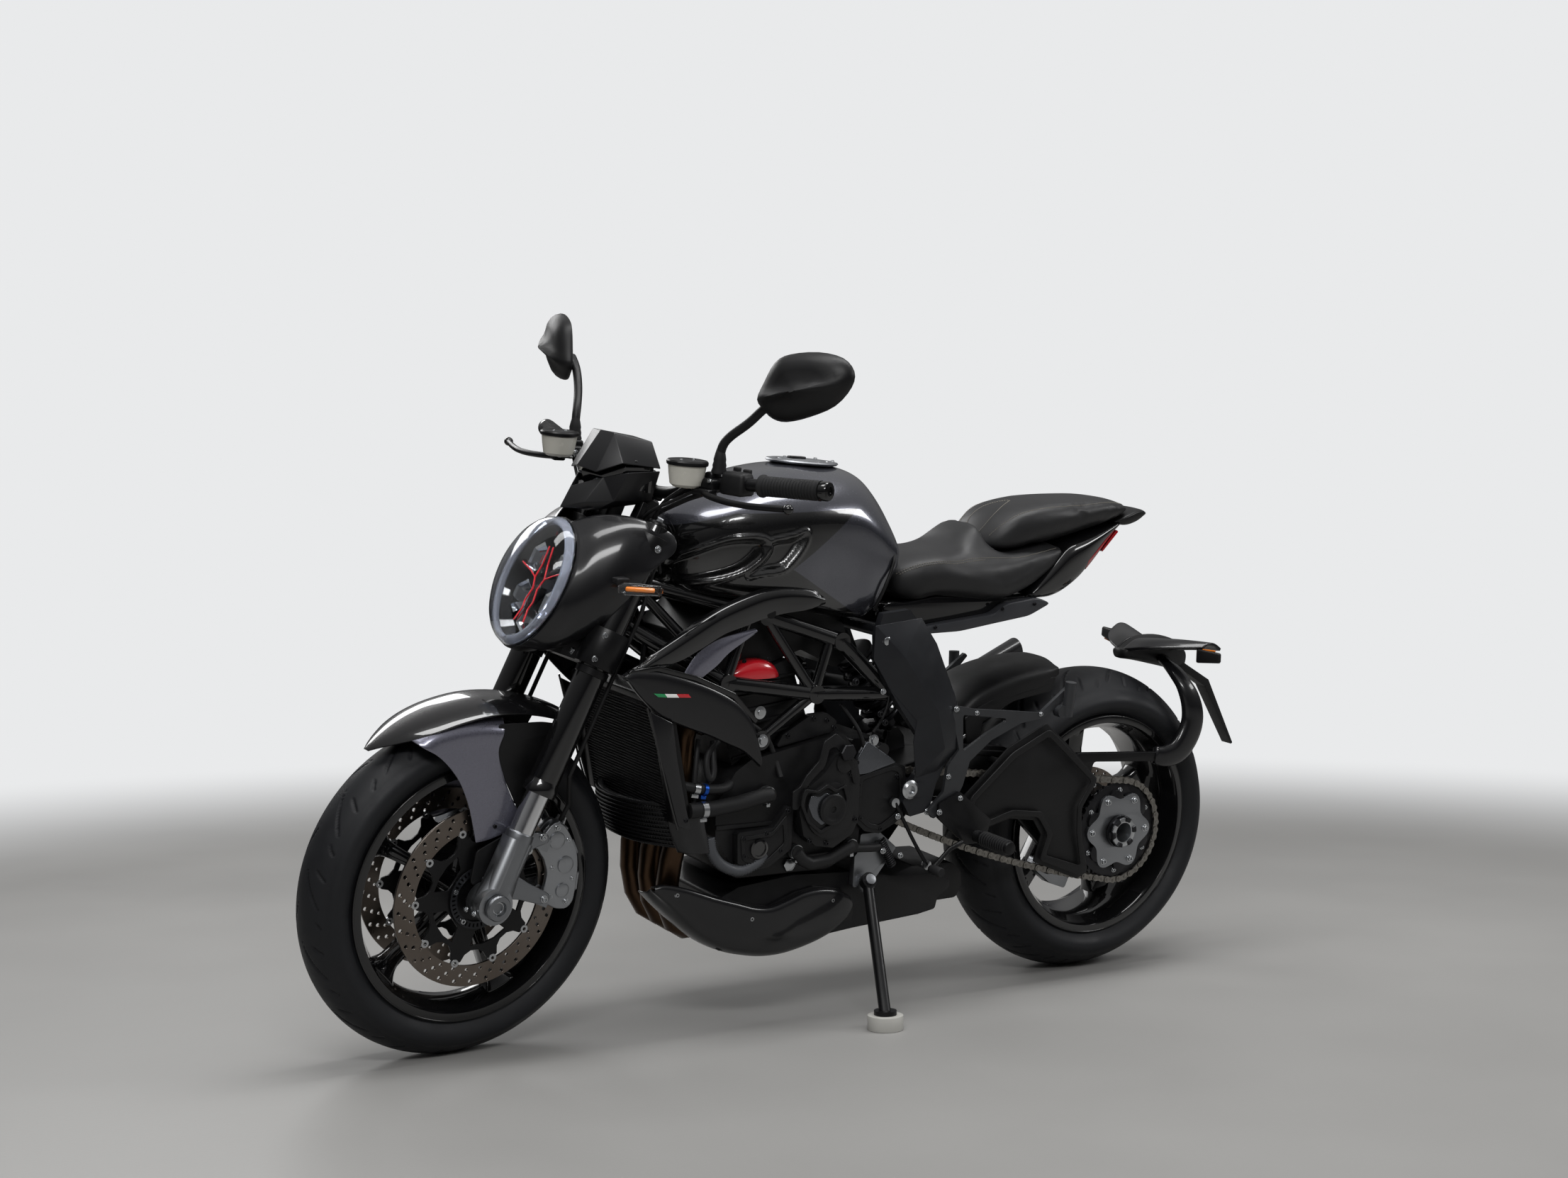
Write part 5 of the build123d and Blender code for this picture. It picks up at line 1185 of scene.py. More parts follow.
class ROADSTER_OT_fork(bpy.types.Operator):
    """Polished sliders, cast feet, caliper bodies, clamp screws and the fork caps"""

    bl_idname = "roadster.fork"
    bl_label = "Fork and calipers"

    HALF = 105.6

    def execute(self, context):
        sleeves, rings = [], []
        for side in SIDES:
            at = moved(UNSPRUNG, (0, side * self.HALF, 0))
            sleeves.append(turned(f"slider_{side}", [(20, 110), (21.7, 112), (21.7, 204), (20, 206)],
                                  MAT["polished"], at))
            rings.append(turned(f"dust_seal_{side}", [(21.5, 203), (29.6, 203), (30.6, 206), (30.6, 216),
                                                      (28.6, 222), (27.4, 228), (21.5, 228)],
                                MAT["gloss_black"], at))
            rings.append(turned(f"fork_collar_{side}", [(27, 424), (29.5, 425), (29.5, 437), (27, 438)],
                                MAT["satin_black"], at))
            rings.append(turned(f"fork_cap_{side}", [(2, 716), (16, 716), (18, 713), (18, 709), (24, 708),
                                                     (25.5, 705), (26.5, 700), (26.5, 689), (2, 689)],
                                MAT["satin_black"], at))
        group("fork_sliders", sleeves, "steering")
        group("fork_rings", rings, "steering")
        caps = [turned(f"adjuster_{side}", [(1, 724), (7, 724), (8, 722), (8, 716), (1, 716)],
                       MAT["cast_alloy"], moved(UNSPRUNG, (0, side * self.HALF, 0)), 6, 20)
                for side in SIDES]
        group("fork_adjusters", caps, "steering")

        feet = []
        for side in SIDES:
            # the cast foot: a round tapering socket that turns into the axle clamp and the caliper arm
            rings_of_foot = []
            for height, ahead, deep, wide in ((132, 0, 24, 24), (120, 0, 25, 25), (96, -1, 25.5, 24.5),
                                              (66, -2, 27, 24), (34, -3, 31, 23.5), (6, -2, 35, 23),
                                              (-16, 0, 31, 22.4), (-30, 2, 18, 20)):
                rings_of_foot.append([(ahead + deep * math.cos(a), side * self.HALF + wide * math.sin(a),
                                       height) for a in turns(14)])
            feet.append(skin(f"fork_foot_{side}", rings_of_foot, MAT["foot_alloy"], UNSPRUNG, (3, 3)))
            arm = [(-8, 116), (-34, 140), (-62, 146), (-70, 132), (-48, 116), (-24, 88), (-30, 60),
                   (-70, 54), (-116, 50), (-120, 36), (-104, 26), (-60, 22), (-16, 10), (6, 30), (4, 80)]
            inner, outer = (82, 99) if side > 0 else (-99, -82)
            feet.append(board(f"caliper_arm_{side}", arm, inner, outer, MAT["foot_alloy"], UNSPRUNG, 9, 2.5))
        group("fork_feet", feet, "steering")
        screws = []
        for s in SIDES:
            for place, way, size in (((30, self.HALF * s - 13 * s, -24), (1, 0, 0), 11),
                                     ((30, self.HALF * s + 13 * s, -24), (1, 0, 0), 11),
                                     ((-52, 99 * s, 137), (0, s, 0), 14),
                                     ((-108, 99 * s, 38), (0, s, 0), 14)):
                screws.append((place, way, size))
        settle(bolts("fork_foot_screws", screws, MAT["steel"], UNSPRUNG), "steering")
        ends = [turned(f"axle_end_{side}", [(9.3, 128), (16, 128), (22, 129), (23, 131), (23, 138),
                                            (21, 141), (13, 141), (12, 138), (9.3, 133)], MAT["foot_alloy"],
                       facing(UNSPRUNG, side), 24, 30) for side in SIDES]
        group("front_axle_ends", ends, "steering")

        bodies, screws, pins = [], [], []
        for side in SIDES:
            for inner, outer in ((44.5, 58.5), (69.5, 80.0)):
                low, high = sorted((side * inner, side * outer))
                bodies.append(board(f"caliper_half_{side}_{inner}",
                                    [(-60, 116), (-72, 160), (-84, 172), (-104, 168), (-124, 154),
                                     (-148, 134), (-164, 108), (-176, 76), (-183, 50), (-176, 34),
                                     (-154, 27), (-128, 30), (-114, 36), (-112, 62), (-104, 84),
                                     (-86, 102)], low, high, MAT["caliper"], UNSPRUNG, 9, 2.6))
            # bridge over the disc's edge, in three ribs
            for start, end in (((-86, 169), (-112, 163)), ((-128, 150), (-150, 131)),
                               ((-166, 104), (-177, 72))):
                middle = ((start[0] + end[0]) / 2, (start[1] + end[1]) / 2)
                way = math.atan2(end[1] - start[1], end[0] - start[0])
                length = math.hypot(end[0] - start[0], end[1] - start[1])
                at = (moved(UNSPRUNG, (middle[0] + 2, side * 62.5, middle[1] - 3))
                      @ Matrix.Rotation(-way, 4, "Y"))
                bodies.append(box_piece(f"bridge_{side}_{round(start[0])}", (length, 32, 15),
                                        MAT["caliper"], at, 2.5))
            for x, z, size in ((-96, 140, 25), (-134, 106, 25), (-150, 62, 21)):
                bodies.append(turned(f"piston_boss_{side}_{z}", [
                    (1, 80), (size * 0.62, 80), (size * 0.62, 82.4), (size * 0.5, 83.6), (1, 83.6)],
                                     MAT["caliper"], facing(moved(UNSPRUNG, (x, 0, z)), side), 28, 30))
            screws += [((x, side * 80.4, z), (0, side, 0), d) for x, z, d in (
                (-86, 160, 12), (-168, 46, 12), (-118, 148, 8), (-160, 88, 8), (-110, 92, 8), (-132, 44, 9))]
            for offset in (0, 1):
                pins.append(turned(f"bleed_{side}_{offset}",
                                   [(1, 0), (3.4, 0), (3.4, 8), (2.2, 9), (2.2, 14), (1, 14)], MAT["steel"],
                                   moved(UNSPRUNG, (-98, side * (52 + 22 * offset), 168)), 8, 20))
        group("caliper_bodies", bodies, "steering", ["front_calipers"])
        settle(bolts("caliper_screws", screws, MAT["steel"], UNSPRUNG), "steering")
        group("caliper_bleeders", pins, "steering")
        screws = []
        for s in SIDES:
            for height in (452, 496):
                screws.append(((31, s * (self.HALF - 36), height), (1, 0, 0), 13))
                screws.append(((24, s * (self.HALF + 27), height), (0.5, s, 0), 12))
            screws.append(((31, s * (self.HALF - 36), 671), (1, 0, 0), 11))
        settle(bolts("clamp_screws", screws, MAT["steel"], UNSPRUNG), "steering")
        return {"FINISHED"}


class ROADSTER_OT_headlight(bpy.types.Operator):
    """The lamp: glass, bowl, light guide, reflectors and red frame lines, its wings and the front winkers"""

    bl_idname = "roadster.headlight"
    bl_label = "Headlight"

    SIZE = (95.0, 122.0)  # half width and half height of the lens
    STEPS = 48

    def ellipse(self, share, height):
        """A ring of the lamp's outline, a little wider above than below."""
        return [(self.SIZE[0] * (1 + 0.05 * math.sin(a)) * share * math.cos(a),
                 self.SIZE[1] * share * math.sin(a), height) for a in turns(self.STEPS)]

    def bowl(self, name, profile, material):
        """A bowl or dome through rings (share of the lamp's size, height), closed at its far end."""
        points = [p for share, height in profile for p in self.ellipse(share, height)]
        faces = grid_faces(len(profile), self.STEPS) + end_faces(len(profile), self.STEPS)[1:]
        piece = mesh_piece(name, points, faces, material, LAMP)
        outward(piece)
        return piece

    def execute(self, context):
        dome = [(1.0, 0.5), (0.99, 7), (0.965, 15), (0.92, 23), (0.85, 31), (0.75, 38), (0.62, 44.5),
                (0.46, 49.5), (0.28, 53), (0.1, 54.6), (0.02, 54.8)]
        lens = self.bowl("lamp_glass", dome, MAT["clear"])
        walled(lens, 2.6)
        lens = plain(lens)
        lens.data.shade_smooth()
        settle(lens, "steering", ["headlight_lens"])
        bowl = self.bowl("lamp_bowl", [(0.995, -1.5), (1.0, -0.2), (1.015, -4), (1.01, -18), (0.97, -34),
                                       (0.88, -52), (0.74, -66), (0.55, -75), (0.3, -78), (0.05, -78)],
                         MAT["matt_black"])
        walled(bowl, 3.0)
        settle(plain(bowl), "steering", ["headlight_shell"])
        cavity = self.bowl("lamp_cavity", [(0.945, 4), (0.90, -2), (0.82, -14), (0.74, -30), (0.62, -44),
                                           (0.4, -50), (0.05, -52)], MAT["black_glass"])
        cavity.data.flip_normals()
        settle(cavity, "steering")
        # the clear-edged light guide, a ring left open at its foot
        profile = ((0.955, 2), (0.98, 6), (0.95, 14), (0.89, 18), (0.855, 12), (0.87, 4))
        count = 40
        sweep = [math.radians(-86 + 352 * i / count) for i in range(count + 1)]
        points = [(self.SIZE[0] * share * math.cos(a), self.SIZE[1] * share * math.sin(a), height)
                  for share, height in profile for a in sweep]
        faces = grid_faces(len(profile), count + 1, wrap_rows=True, wrap_columns=False)
        starts = [r * (count + 1) for r in range(len(profile))]
        faces += [tuple(starts), tuple(first + count for first in reversed(starts))]
        guide = mesh_piece("light_guide", points, faces, MAT["pale_lamp"], LAMP)
        outward(guide)
        settle(guide, "steering")
        # two reflector pockets a side and one at the foot
        cups = []
        for s in SIDES:
            for k, (x, y, depth, size) in enumerate(((44, 44, -12, 30), (48, -30, -14, 32),
                                                     (0, -64, -12, 26))):
                if k == 2 and s < 0:
                    continue
                outline = [(x * s + size * r * math.cos(a) * (0.9 if k < 2 else 1.1), y
                            + size * r * math.sin(a), depth - drop)
                           for r, drop in ((1.0, 0), (0.86, 4), (0.5, 18), (0.16, 24))
                           for a in turns(6, 0.5)]
                cup = mesh_piece(f"reflector_{s}_{k}", outline, grid_faces(4, 6) + [tuple(range(18, 24))],
                                 MAT["mirror"], LAMP, smooth=False)
                outward(cup)
                cup.data.flip_normals()
                cups.append(thickened(cup, 1.0, 0.3))
        group("lamp_reflectors", cups, "steering")
        lines = []
        for s in SIDES:
            route = [(64 * s, 27, 0), (34 * s, 17, -3), (15 * s, 8, -4), (7 * s, -12, -4),
                     (13 * s, -36, -3), (9 * s, -50, -2), (15 * s, -74, 0)]
            upper = [(6 * s, 66, 0), (8 * s, 34, -3), (15 * s, 8, -4)]
            for name, points in (("low", route), ("high", upper)):
                for i in range(len(points) - 1):
                    a, b = Vector(points[i]), Vector(points[i + 1])
                    middle = (a + b) / 2
                    at = towards(middle, b - a, LAMP, beside=(0, 0, 1))
                    lines.append(box_piece(f"red_frame_{s}_{name}_{i}", (2.4, 2.4, (b - a).length + 1.2),
                                           MAT["red"], at, 0.5))
        group("lamp_red_frame", lines, "steering")
        bars = []
        for s in SIDES:
            bars.append(box_piece(f"lamp_web_{s}", (34, 9, 14), MAT["black_glass"],
                                  moved(LAMP, (22 * s, 24, -14)) @ Matrix.Rotation(s * 0.5, 4, "Z"), 2))
            bars.append(box_piece(f"lamp_post_{s}", (10, 56, 16), MAT["black_glass"],
                                  moved(LAMP, (5.4 * s, -32, -14)), 2))
        group("lamp_webs", bars, "steering")
        # the side wings that hold the lamp on the fork: two facets and a step
        rows = [
            [(1236, 24, 943), (1204, 50, 958), (1164, 86, 962), (1116, 120, 950)],
            [(1249, 67, 914), (1216, 94, 930), (1170, 118, 940), (1096, 140, 931)],
            [(1270, 92, 864), (1236, 114, 878), (1186, 134, 896), (1100, 147, 906)],
            [(1296, 92, 806), (1262, 114, 814), (1214, 133, 836), (1146, 147, 874)],
            [(1318, 67, 757), (1286, 94, 758), (1248, 111, 776), (1194, 126, 806)],
            [(1330, 32, 731), (1300, 60, 727), (1270, 82, 738), (1236, 98, 756)],
        ]
        ear = pair_of(sheet("lamp_wing", rows, MAT["shroud"], 3.0, STEERED, (6, 6), 1.0), STEERED)
        settle(ear, "steering")
        settle(bolts("lamp_wing_screws", [((1132, 143 * s, 912), (0.1, s, 0.1), 13) for s in SIDES],
                     MAT["steel"], STEERED), "steering")
        stalks, lamps, clears = [], [], []
        for s in SIDES:
            stalks.append(box_piece(f"winker_stem_{s}", (20, 26, 12), MAT["matt_black"],
                                    towards((1210, 151 * s, 861), (0.0, 0, 1), STEERED), 3))
            start, end = Vector((1217, 156 * s, 849)), Vector((1166, 214 * s, 853))
            middle, way = (start + end) / 2, (end - start)
            at = towards(middle, way, STEERED, (0, 0, 1))
            lamps.append(box_piece(f"winker_core_{s}", (8, 7, way.length * 0.66), MAT["amber"], at, 3))
            points = []
            for share in (-0.5, -0.47, -0.42, 0.42, 0.47, 0.5):
                size = {0.5: 5.5, 0.47: 8.8, 0.42: 10.4}[abs(share)]
                points += [(size * 0.92 * math.cos(a), size * math.sin(a), share * way.length)
                           for a in turns(20)]
            shell = mesh_piece(f"winker_shell_{s}", points, grid_faces(6, 20) + end_faces(6, 20),
                               MAT["clear"], at)
            outward(shell)
            clears.append(shell)
        group("winker_shells", clears, "steering")
        group("winker_cores", lamps, "steering", ["front_indicators"])
        group("winker_stems", stalks, "steering")
        return {"FINISHED"}


class ROADSTER_OT_flyscreen(bpy.types.Operator):
    """The two-part screen, its visor above the beak, and the dash that closes it behind"""

    bl_idname = "roadster.flyscreen"
    bl_label = "Flyscreen"

    def execute(self, context):
        visor = facet_shell("screen_visor", [(1217, 0, 1040), (1203, 40, 1033), (1172, 0, 1102),
                                             (1166, 34, 1101), (1104, 62, 1089), (1102, 0, 1092),
                                             (1168, 70, 1052), (1102, 91, 1046)],
                            [(0, 1, 3, 2), (2, 3, 4, 5), (1, 6, 3), (3, 6, 7, 4)], MAT["screen"], 3.2, 1.5,
                            STEERED)
        beak = facet_shell("screen_beak", [(1246, 0, 966), (1226, 0, 1004), (1186, 40, 1024),
                                           (1160, 78, 1036), (1102, 90, 1040), (1102, 70, 986),
                                           (1176, 62, 984), (1196, 42, 966), (1222, 0, 1010),
                                           (1216, 30, 978)], [(0, 1, 2, 9), (9, 2, 6), (2, 3, 6),
                                                              (3, 4, 5, 6), (6, 7, 9), (9, 7, 0),
                                                              (5, 7, 6)], MAT["screen"], 3.2, 1.4, STEERED)
        inner = facet_shell("screen_inner", [(1206, 0, 1030), (1190, 36, 1026), (1160, 66, 1044),
                                             (1112, 84, 1046), (1112, 60, 1080), (1160, 0, 1088),
                                             (1198, 0, 1006), (1168, 56, 1010), (1112, 80, 1000)],
                            [(0, 1, 7, 6), (1, 2, 7), (2, 3, 8, 7), (0, 1, 2, 5), (2, 3, 4, 5)],
                            MAT["black_glass"], 1.5, 0.6, STEERED)
        floor = board("screen_floor", [(1100, 976), (1196, 966), (1218, 966), (1196, 972), (1104, 984)],
                      -40, 40, MAT["matt_black"], STEERED, 2, 1)
        group("flyscreen_shells", [visor, beak, inner, floor], "steering",
              ["flyscreen"])
        dash = box_piece("dash_panel", (6, 150, 52), MAT["matt_black"],
                         towards((1122, 0, 1046), (-0.40, 0, 0.92), STEERED, (0, 1, 0))
                         @ Matrix.Rotation(math.pi / 2, 4, "Y"), 3)
        glass = box_piece("dash_glass", (1.6, 132, 42), MAT["black_glass"],
                          towards((1118.6, 0, 1045), (-0.40, 0, 0.92), STEERED, (0, 1, 0))
                          @ Matrix.Rotation(math.pi / 2, 4, "Y"), 0.6)
        group("dash", [dash, glass], "steering", ["instruments"])
        posts = [box_piece(f"screen_post_{s}", (12, 8, 50), MAT["satin_black"],
                           moved(UNSPRUNG, (22, 76 * s, 714)), 1.5) for s in SIDES]
        group("screen_posts", posts, "steering")
        return {"FINISHED"}


class ROADSTER_OT_controls(bpy.types.Operator):
    """Bars, grips, levers, switch boxes, fluid pots, mirrors and cables"""

    bl_idname = "roadster.controls"
    bl_label = "Bars and controls"

    @staticmethod
    def grip(name, start, way):
        """A rubber grip with fine raised bands and a bar-end weight."""
        at = towards(start, way, STEERED)
        profile = [(11.4, 0), (19, 0), (19.6, 2), (19.6, 5), (17.2, 7)]
        for i in range(17):
            z = 10 + i * 6
            profile += [(16.5, z), (17.3, z + 1.2), (17.3, z + 3.4), (16.5, z + 4.6)]
        profile += [(16.6, 114), (17.4, 116), (17.4, 118), (11.4, 118)]
        rubber = turned(name, profile, MAT["grip"], at, 28, 60)
        cap = turned(name + "_end", [(5, 118.4), (15, 118.4), (16.4, 120), (16.8, 131), (15.2, 134),
                                     (8, 135), (7.5, 131), (1, 131)], MAT["gloss_black"], at, 28, 35)
        return rubber, cap

    def execute(self, context):
        bar = pipe("bar_tube", [(1009, -437, 1055), (1050, -318, 1047), (1085, -215, 1040),
                                (1091, -168, 1026), (1088, -120, 1007), (1085, -70, 1000), (1085, 0, 1000),
                                (1085, 70, 1000), (1088, 120, 1007), (1091, 168, 1026), (1085, 215, 1040),
                                (1050, 318, 1047), (1009, 437, 1055)], 11, MAT["satin_black"], STEERED, 14)
        settle(bar, "steering")
        risers = []
        for s in SIDES:
            risers.append(box_piece(f"riser_{s}", (34, 30, 66), MAT["satin_black"],
                                    moved(UNSPRUNG, (-4, 48 * s, 722)), 4, (0.9, 0.9)))
            risers.append(box_piece(f"riser_cap_{s}", (36, 30, 24), MAT["satin_black"],
                                    moved(UNSPRUNG, (-4, 48 * s, 768)), 5, (0.8, 0.9)))
        group("bar_risers", risers, "steering", ["handlebar"])
        rubbers, caps = [], []
        for s in SIDES:
            start, inner = Vector((1009, 437 * s, 1055)), Vector((1085, 215 * s, 1040))
            way = (start - inner).normalized()
            rubber, cap = self.grip(f"grip_{s}", start - way * 130, way)
            rubbers.append(rubber)
            caps.append(cap)
        group("grip_rubbers", rubbers, "steering", ["grips"])
        group("bar_ends", caps, "steering")
        boxes, levers, bright = [], [], []
        for s in SIDES:
            turn = Matrix.Rotation(s * math.radians(17), 4, "Z")
            at = moved(STEERED, (1066, 266 * s, 1044)) @ turn
            boxes.append(box_piece(f"switch_box_{s}", (42, 52, 40), MAT["matt_black"], at, 8, (0.82, 0.9)))
            for k, (dx, dy, dz, w, h) in enumerate(((-14, -12, 22, 12, 8), (-16, 8, 20, 14, 9),
                                                    (-22, 12, 4, 9, 12))):
                boxes.append(box_piece(f"switch_{s}_{k}", (10, w, h), MAT["black_glass"] if k == 2
                                       else MAT["grip"], moved(at, (dx, dy * s, dz)), 2))
            at = moved(STEERED, (1092, 221 * s, 1036)) @ turn
            boxes.append(box_piece(f"perch_{s}", (46, 46, 24), MAT["satin_black"], at, 7))
            boxes.append(box_piece(f"perch_clamp_{s}", (30, 18, 36), MAT["satin_black"],
                                   moved(at, (-10, 0, 4)), 5))
            line = [(1106, 218 * s, 1026), (1118, 244 * s, 1024), (1124, 276 * s, 1022),
                    (1125, 330 * s, 1020), (1114, 384 * s, 1022), (1094, 434 * s, 1026)]
            lever = pipe(f"lever_{s}", line, 5.6, MAT["satin_black"], STEERED, 12)
            levers.append(lever)
            levers.append(turned(f"lever_ball_{s}",
                                 [(1, -8.6), (5, -7.6), (8.2, -3), (8.6, 0), (8.2, 3), (5, 7.6), (1, 8.6)],
                                 MAT["gloss_black"],
                                 towards((1091, 440 * s, 1026.4), (-0.2, s, 0), STEERED), 20, 60))
            levers.append(box_piece(f"lever_root_{s}", (24, 40, 13), MAT["satin_black"],
                                    moved(STEERED, (1110, 234 * s, 1025)) @ turn, 4))
            bright.append(turned(f"lever_pivot_{s}", [(1, 0), (6.5, 0), (6.5, 3), (5.5, 4), (1, 4)],
                                 MAT["steel"], towards((1106, 224 * s, 1032), (0, 0, 1), STEERED), 16, 30))
            bright.append(turned(f"adjuster_wheel_{s}", [(1, -5), (8, -5), (9, -4), (9, 4), (8, 5), (1, 5)],
                                 MAT["cast_alloy"], towards((1116, 214 * s, 1034), (0.7, -s, 0), STEERED),
                                 18, 25))
            bright.append(turned(f"banjo_{s}",
                                 [(1, -9), (6, -9), (6, -5), (8, -5), (8, 5), (6, 5), (6, 9), (1, 9)],
                                 MAT["steel"], towards((1104, 190 * s, 1036), (0.3, s, 0), STEERED), 12, 25))
        group("switch_boxes", boxes, "steering", ["switchgear"])
        group("levers", levers, "steering")
        group("control_fittings", bright, "steering")
        pots, lids = [], []
        for s in SIDES:
            at = moved(STEERED, (1127, 203 * s, 1052))
            pots.append(turned(f"fluid_pot_{s}",
                               [(1, -22), (22, -22), (28, -17), (31, 0), (33, 15.4), (1, 15.4)],
                               MAT["milky"], at, 40, 40))
            lids.append(turned(f"pot_lid_{s}", [(1, 15.6), (35, 15.6), (36, 17), (36, 21.5), (34, 24),
                                                (27, 25), (24, 24), (1, 24)], MAT["satin_black"], at, 40,
                               30))
        group("fluid_pots", pots, "steering", ["reservoirs"])
        group("fluid_pot_lids", lids, "steering")
        screws = [((1127 + 13 * dx, 203 * s + 13 * dy, 1052 + 23.4), (0, 0, 1), 6.5) for s in SIDES
                  for dx, dy in ((1, 0), (-1, 0))]
        screws += [((1110, 246 * s, 1046), (0.8, 0, 0.6), 8) for s in SIDES]
        settle(bolts("control_screws", screws, MAT["steel"], STEERED), "steering")
        self.mirrors()
        self.cables()
        return {"FINISHED"}

    @staticmethod
    def mirrors():
        """Mirror heads: a keeled back, a thin rim and the glass, on rubber-footed stems."""
        # x runs outwards and y downwards
        outline = [(-57, 36), (-70, 19), (-58, -8), (-38, -40), (-12, -52), (36, -56), (78, -48), (98, -28),
                   (94, -4), (66, 25), (22, 43), (-18, 52), (-42, 48)]
        x_axis = Vector((-0.35, 0.9, 0.08)).normalized()
        z_axis = Vector((-0.93, -0.36, 0)).normalized()
        x_axis = (x_axis - z_axis * x_axis.dot(z_axis)).normalized()
        y_axis = z_axis.cross(x_axis)
        local = Matrix.Translation(Vector((1024, 360, 1216)) * MM) @ Matrix(
            (x_axis, y_axis, z_axis)).transposed().to_4x4()
        middle = np.array([14.0, 2.0])
        rings = []
        for share, depth in ((0.985, -1.0), (1.0, -3.5), (1.0, -7), (0.97, -14), (0.90, -21), (0.76, -28),
                             (0.55, -33), (0.3, -36), (0.06, -37)):
            ring = []
            for p in flow(outline, 3, closed=True):
                q = middle + (p - middle) * share * 1.08
                # a keel along the head's length
                keel = 7.0 * math.exp(-((q[1] - 6 + 0.16 * q[0]) / 7) ** 2) * (1 - share) * 2.4
                ring.append((q[0], q[1], depth - keel))
            rings.append(ring)
        points = [p for ring in rings for p in ring]
        n = len(rings[0])
        head = mesh_piece("mirror_back", points, grid_faces(len(rings), n)
                          + [tuple(range(n)), tuple(range((len(rings) - 1) * n, len(rings) * n))],
                          MAT["matt_black"], STEERED @ local)
        outward(head)
        smooth_to(head, 50)
        glass = flat_plate("mirror_glass", [[tuple(p) for p in flow(outline, 3, closed=True)]], 1.2,
                           MAT["mirror"], moved(STEERED @ local, (0, 0, -0.6)))
        stem = pipe("mirror_stem", [(1078, 228, 1082), (1078, 228, 1100), (1070, 238, 1120),
                                    (1052, 266, 1146), (1042, 288, 1172), (1034, 312, 1192),
                                    (1030, 330, 1202)], 8.0, MAT["matt_black"], STEERED, 14)
        boot = turned("mirror_boot", [(7, 1056), (13, 1056), (13.5, 1060), (11.5, 1066), (12.2, 1070),
                                      (10.6, 1076), (11, 1080), (9, 1090), (6.8, 1098)], MAT["grip"],
                      moved(STEERED, (1078, 228, 0)), 24, 35)
        head = pair_of(joined("mirror_heads", [head, stem, boot]), STEERED)
        settle(head, "steering", ["mirrors"])
        settle(pair_of(glass, STEERED), "steering")

    @staticmethod
    def cables():
        """Brake lines and the looms that run from the bars past the steering head."""
        routes = [
            ("line_a", [(1100, 186, 1034), (1112, 150, 1010), (1120, 120, 985), (1112, 98, 950),
                        (1098, 92, 905), (1085, 88, 860)], 3.4),
            ("line_b", [(1092, 206, 1030), (1118, 150, 996), (1128, 100, 972), (1120, 60, 940),
                        (1100, 44, 900), (1090, 40, 860)], 3.0),
            ("line_c", [(1072, 250, 1034), (1086, 180, 1012), (1100, 130, 986), (1098, 70, 960),
                        (1084, 50, 920), (1072, 46, 880)], 4.4),
        ]
        for s in SIDES:
            made = [pipe(f"{name}_{s}", [(x, y * s, z) for x, y, z in points], radius, MAT["hose"], STEERED,
                         10) for name, points, radius in routes]
            group("bar_cables_left" if s > 0 else "bar_cables_right", made, "steering")


# ---------------------------------------------------------------- bodywork
LEAF = [(1066, 834), (1060, 856), (1037, 883), (996, 908), (962, 921), (925, 925), (903, 920), (902, 905),
        (916, 885), (946, 862), (1000, 843), (1050, 832)]
SECOND = [(893, 919), (850, 929), (826, 937), (828, 916), (848, 885), (868, 868), (905, 862), (930, 858),
          (908, 884), (896, 903)]


def tank_split(material):
    """Black lacquer ahead of the knee panel and under the shoulder line; graphite lacquer elsewhere, which on
    the top is partly a painted reflection of the ceiling.
    """
    tree = material.node_tree
    shader = part_of(material, "ShaderNodeBsdfPrincipled")
    place = part_of(material, "ShaderNodeTexCoord")
    turn = UPRIGHT.to_3x3()
    ahead = add(tree, "ShaderNodeVectorMath",
                {0: place.outputs["Object"], 1: tuple(turn @ Vector((1, 0, 0)))}, operation="DOT_PRODUCT")
    up = add(tree, "ShaderNodeVectorMath", {0: place.outputs["Object"], 1: tuple(turn @ Vector((0, 0, 1)))},
             operation="DOT_PRODUCT")
    x0 = UPRIGHT.translation.dot(turn @ Vector((1, 0, 0)))
    z0 = UPRIGHT.translation.dot(turn @ Vector((0, 0, 1)))

    def line(a, b):
        """Distance (mm) of a point to the left of the line from a to b, both (x, z) in the upright view."""
        dx, dz = b[0] - a[0], b[1] - a[1]
        size = math.hypot(dx, dz)
        nx, nz = -dz / size, dx / size
        offset = -(nx * (a[0] + x0 / MM) + nz * (a[1] + z0 / MM))
        first = add(tree, "ShaderNodeMath", {0: ahead.outputs["Value"], 1: nx / MM, 2: offset},
                    operation="MULTIPLY_ADD")
        return add(tree, "ShaderNodeMath", {0: up.outputs["Value"], 1: nz / MM, 2: first.outputs[0]},
                   operation="MULTIPLY_ADD").outputs[0]

    def least(a, b, kind="MINIMUM"):
        return add(tree, "ShaderNodeMath", {0: a, 1: b}, operation=kind).outputs[0]

    # above the shoulder line the top keeps the lighter graphite: partly paint, partly a painted reflection of
    # the ceiling
    shoulder = least(line((1099, 918), (952, 967)), line((952, 967), (700, 979)))
    front_edge = least(line((733, 957), (845, 869)), line((845, 869), (770, 828)), "MAXIMUM")
    black = least(shoulder, front_edge)
    mask = add(tree, "ShaderNodeMapRange", {"Value": black, "From Min": -0.5, "From Max": 0.5})
    mix = add(tree, "ShaderNodeMix", {"Factor": mask.outputs["Result"]}, data_type="RGBA")
    source = shader.inputs["Base Color"].links[0].from_socket
    tree.links.new(source, mix.inputs[6])
    mix.inputs[7].default_value = linear("#070708")
    tree.links.new(mix.outputs[2], shader.inputs["Base Color"])
    metal = add(tree, "ShaderNodeMapRange", {"Value": mask.outputs["Result"], "To Min": 0.75, "To Max": 0.0})
    tree.links.new(metal.outputs["Result"], shader.inputs["Metallic"])
    return material


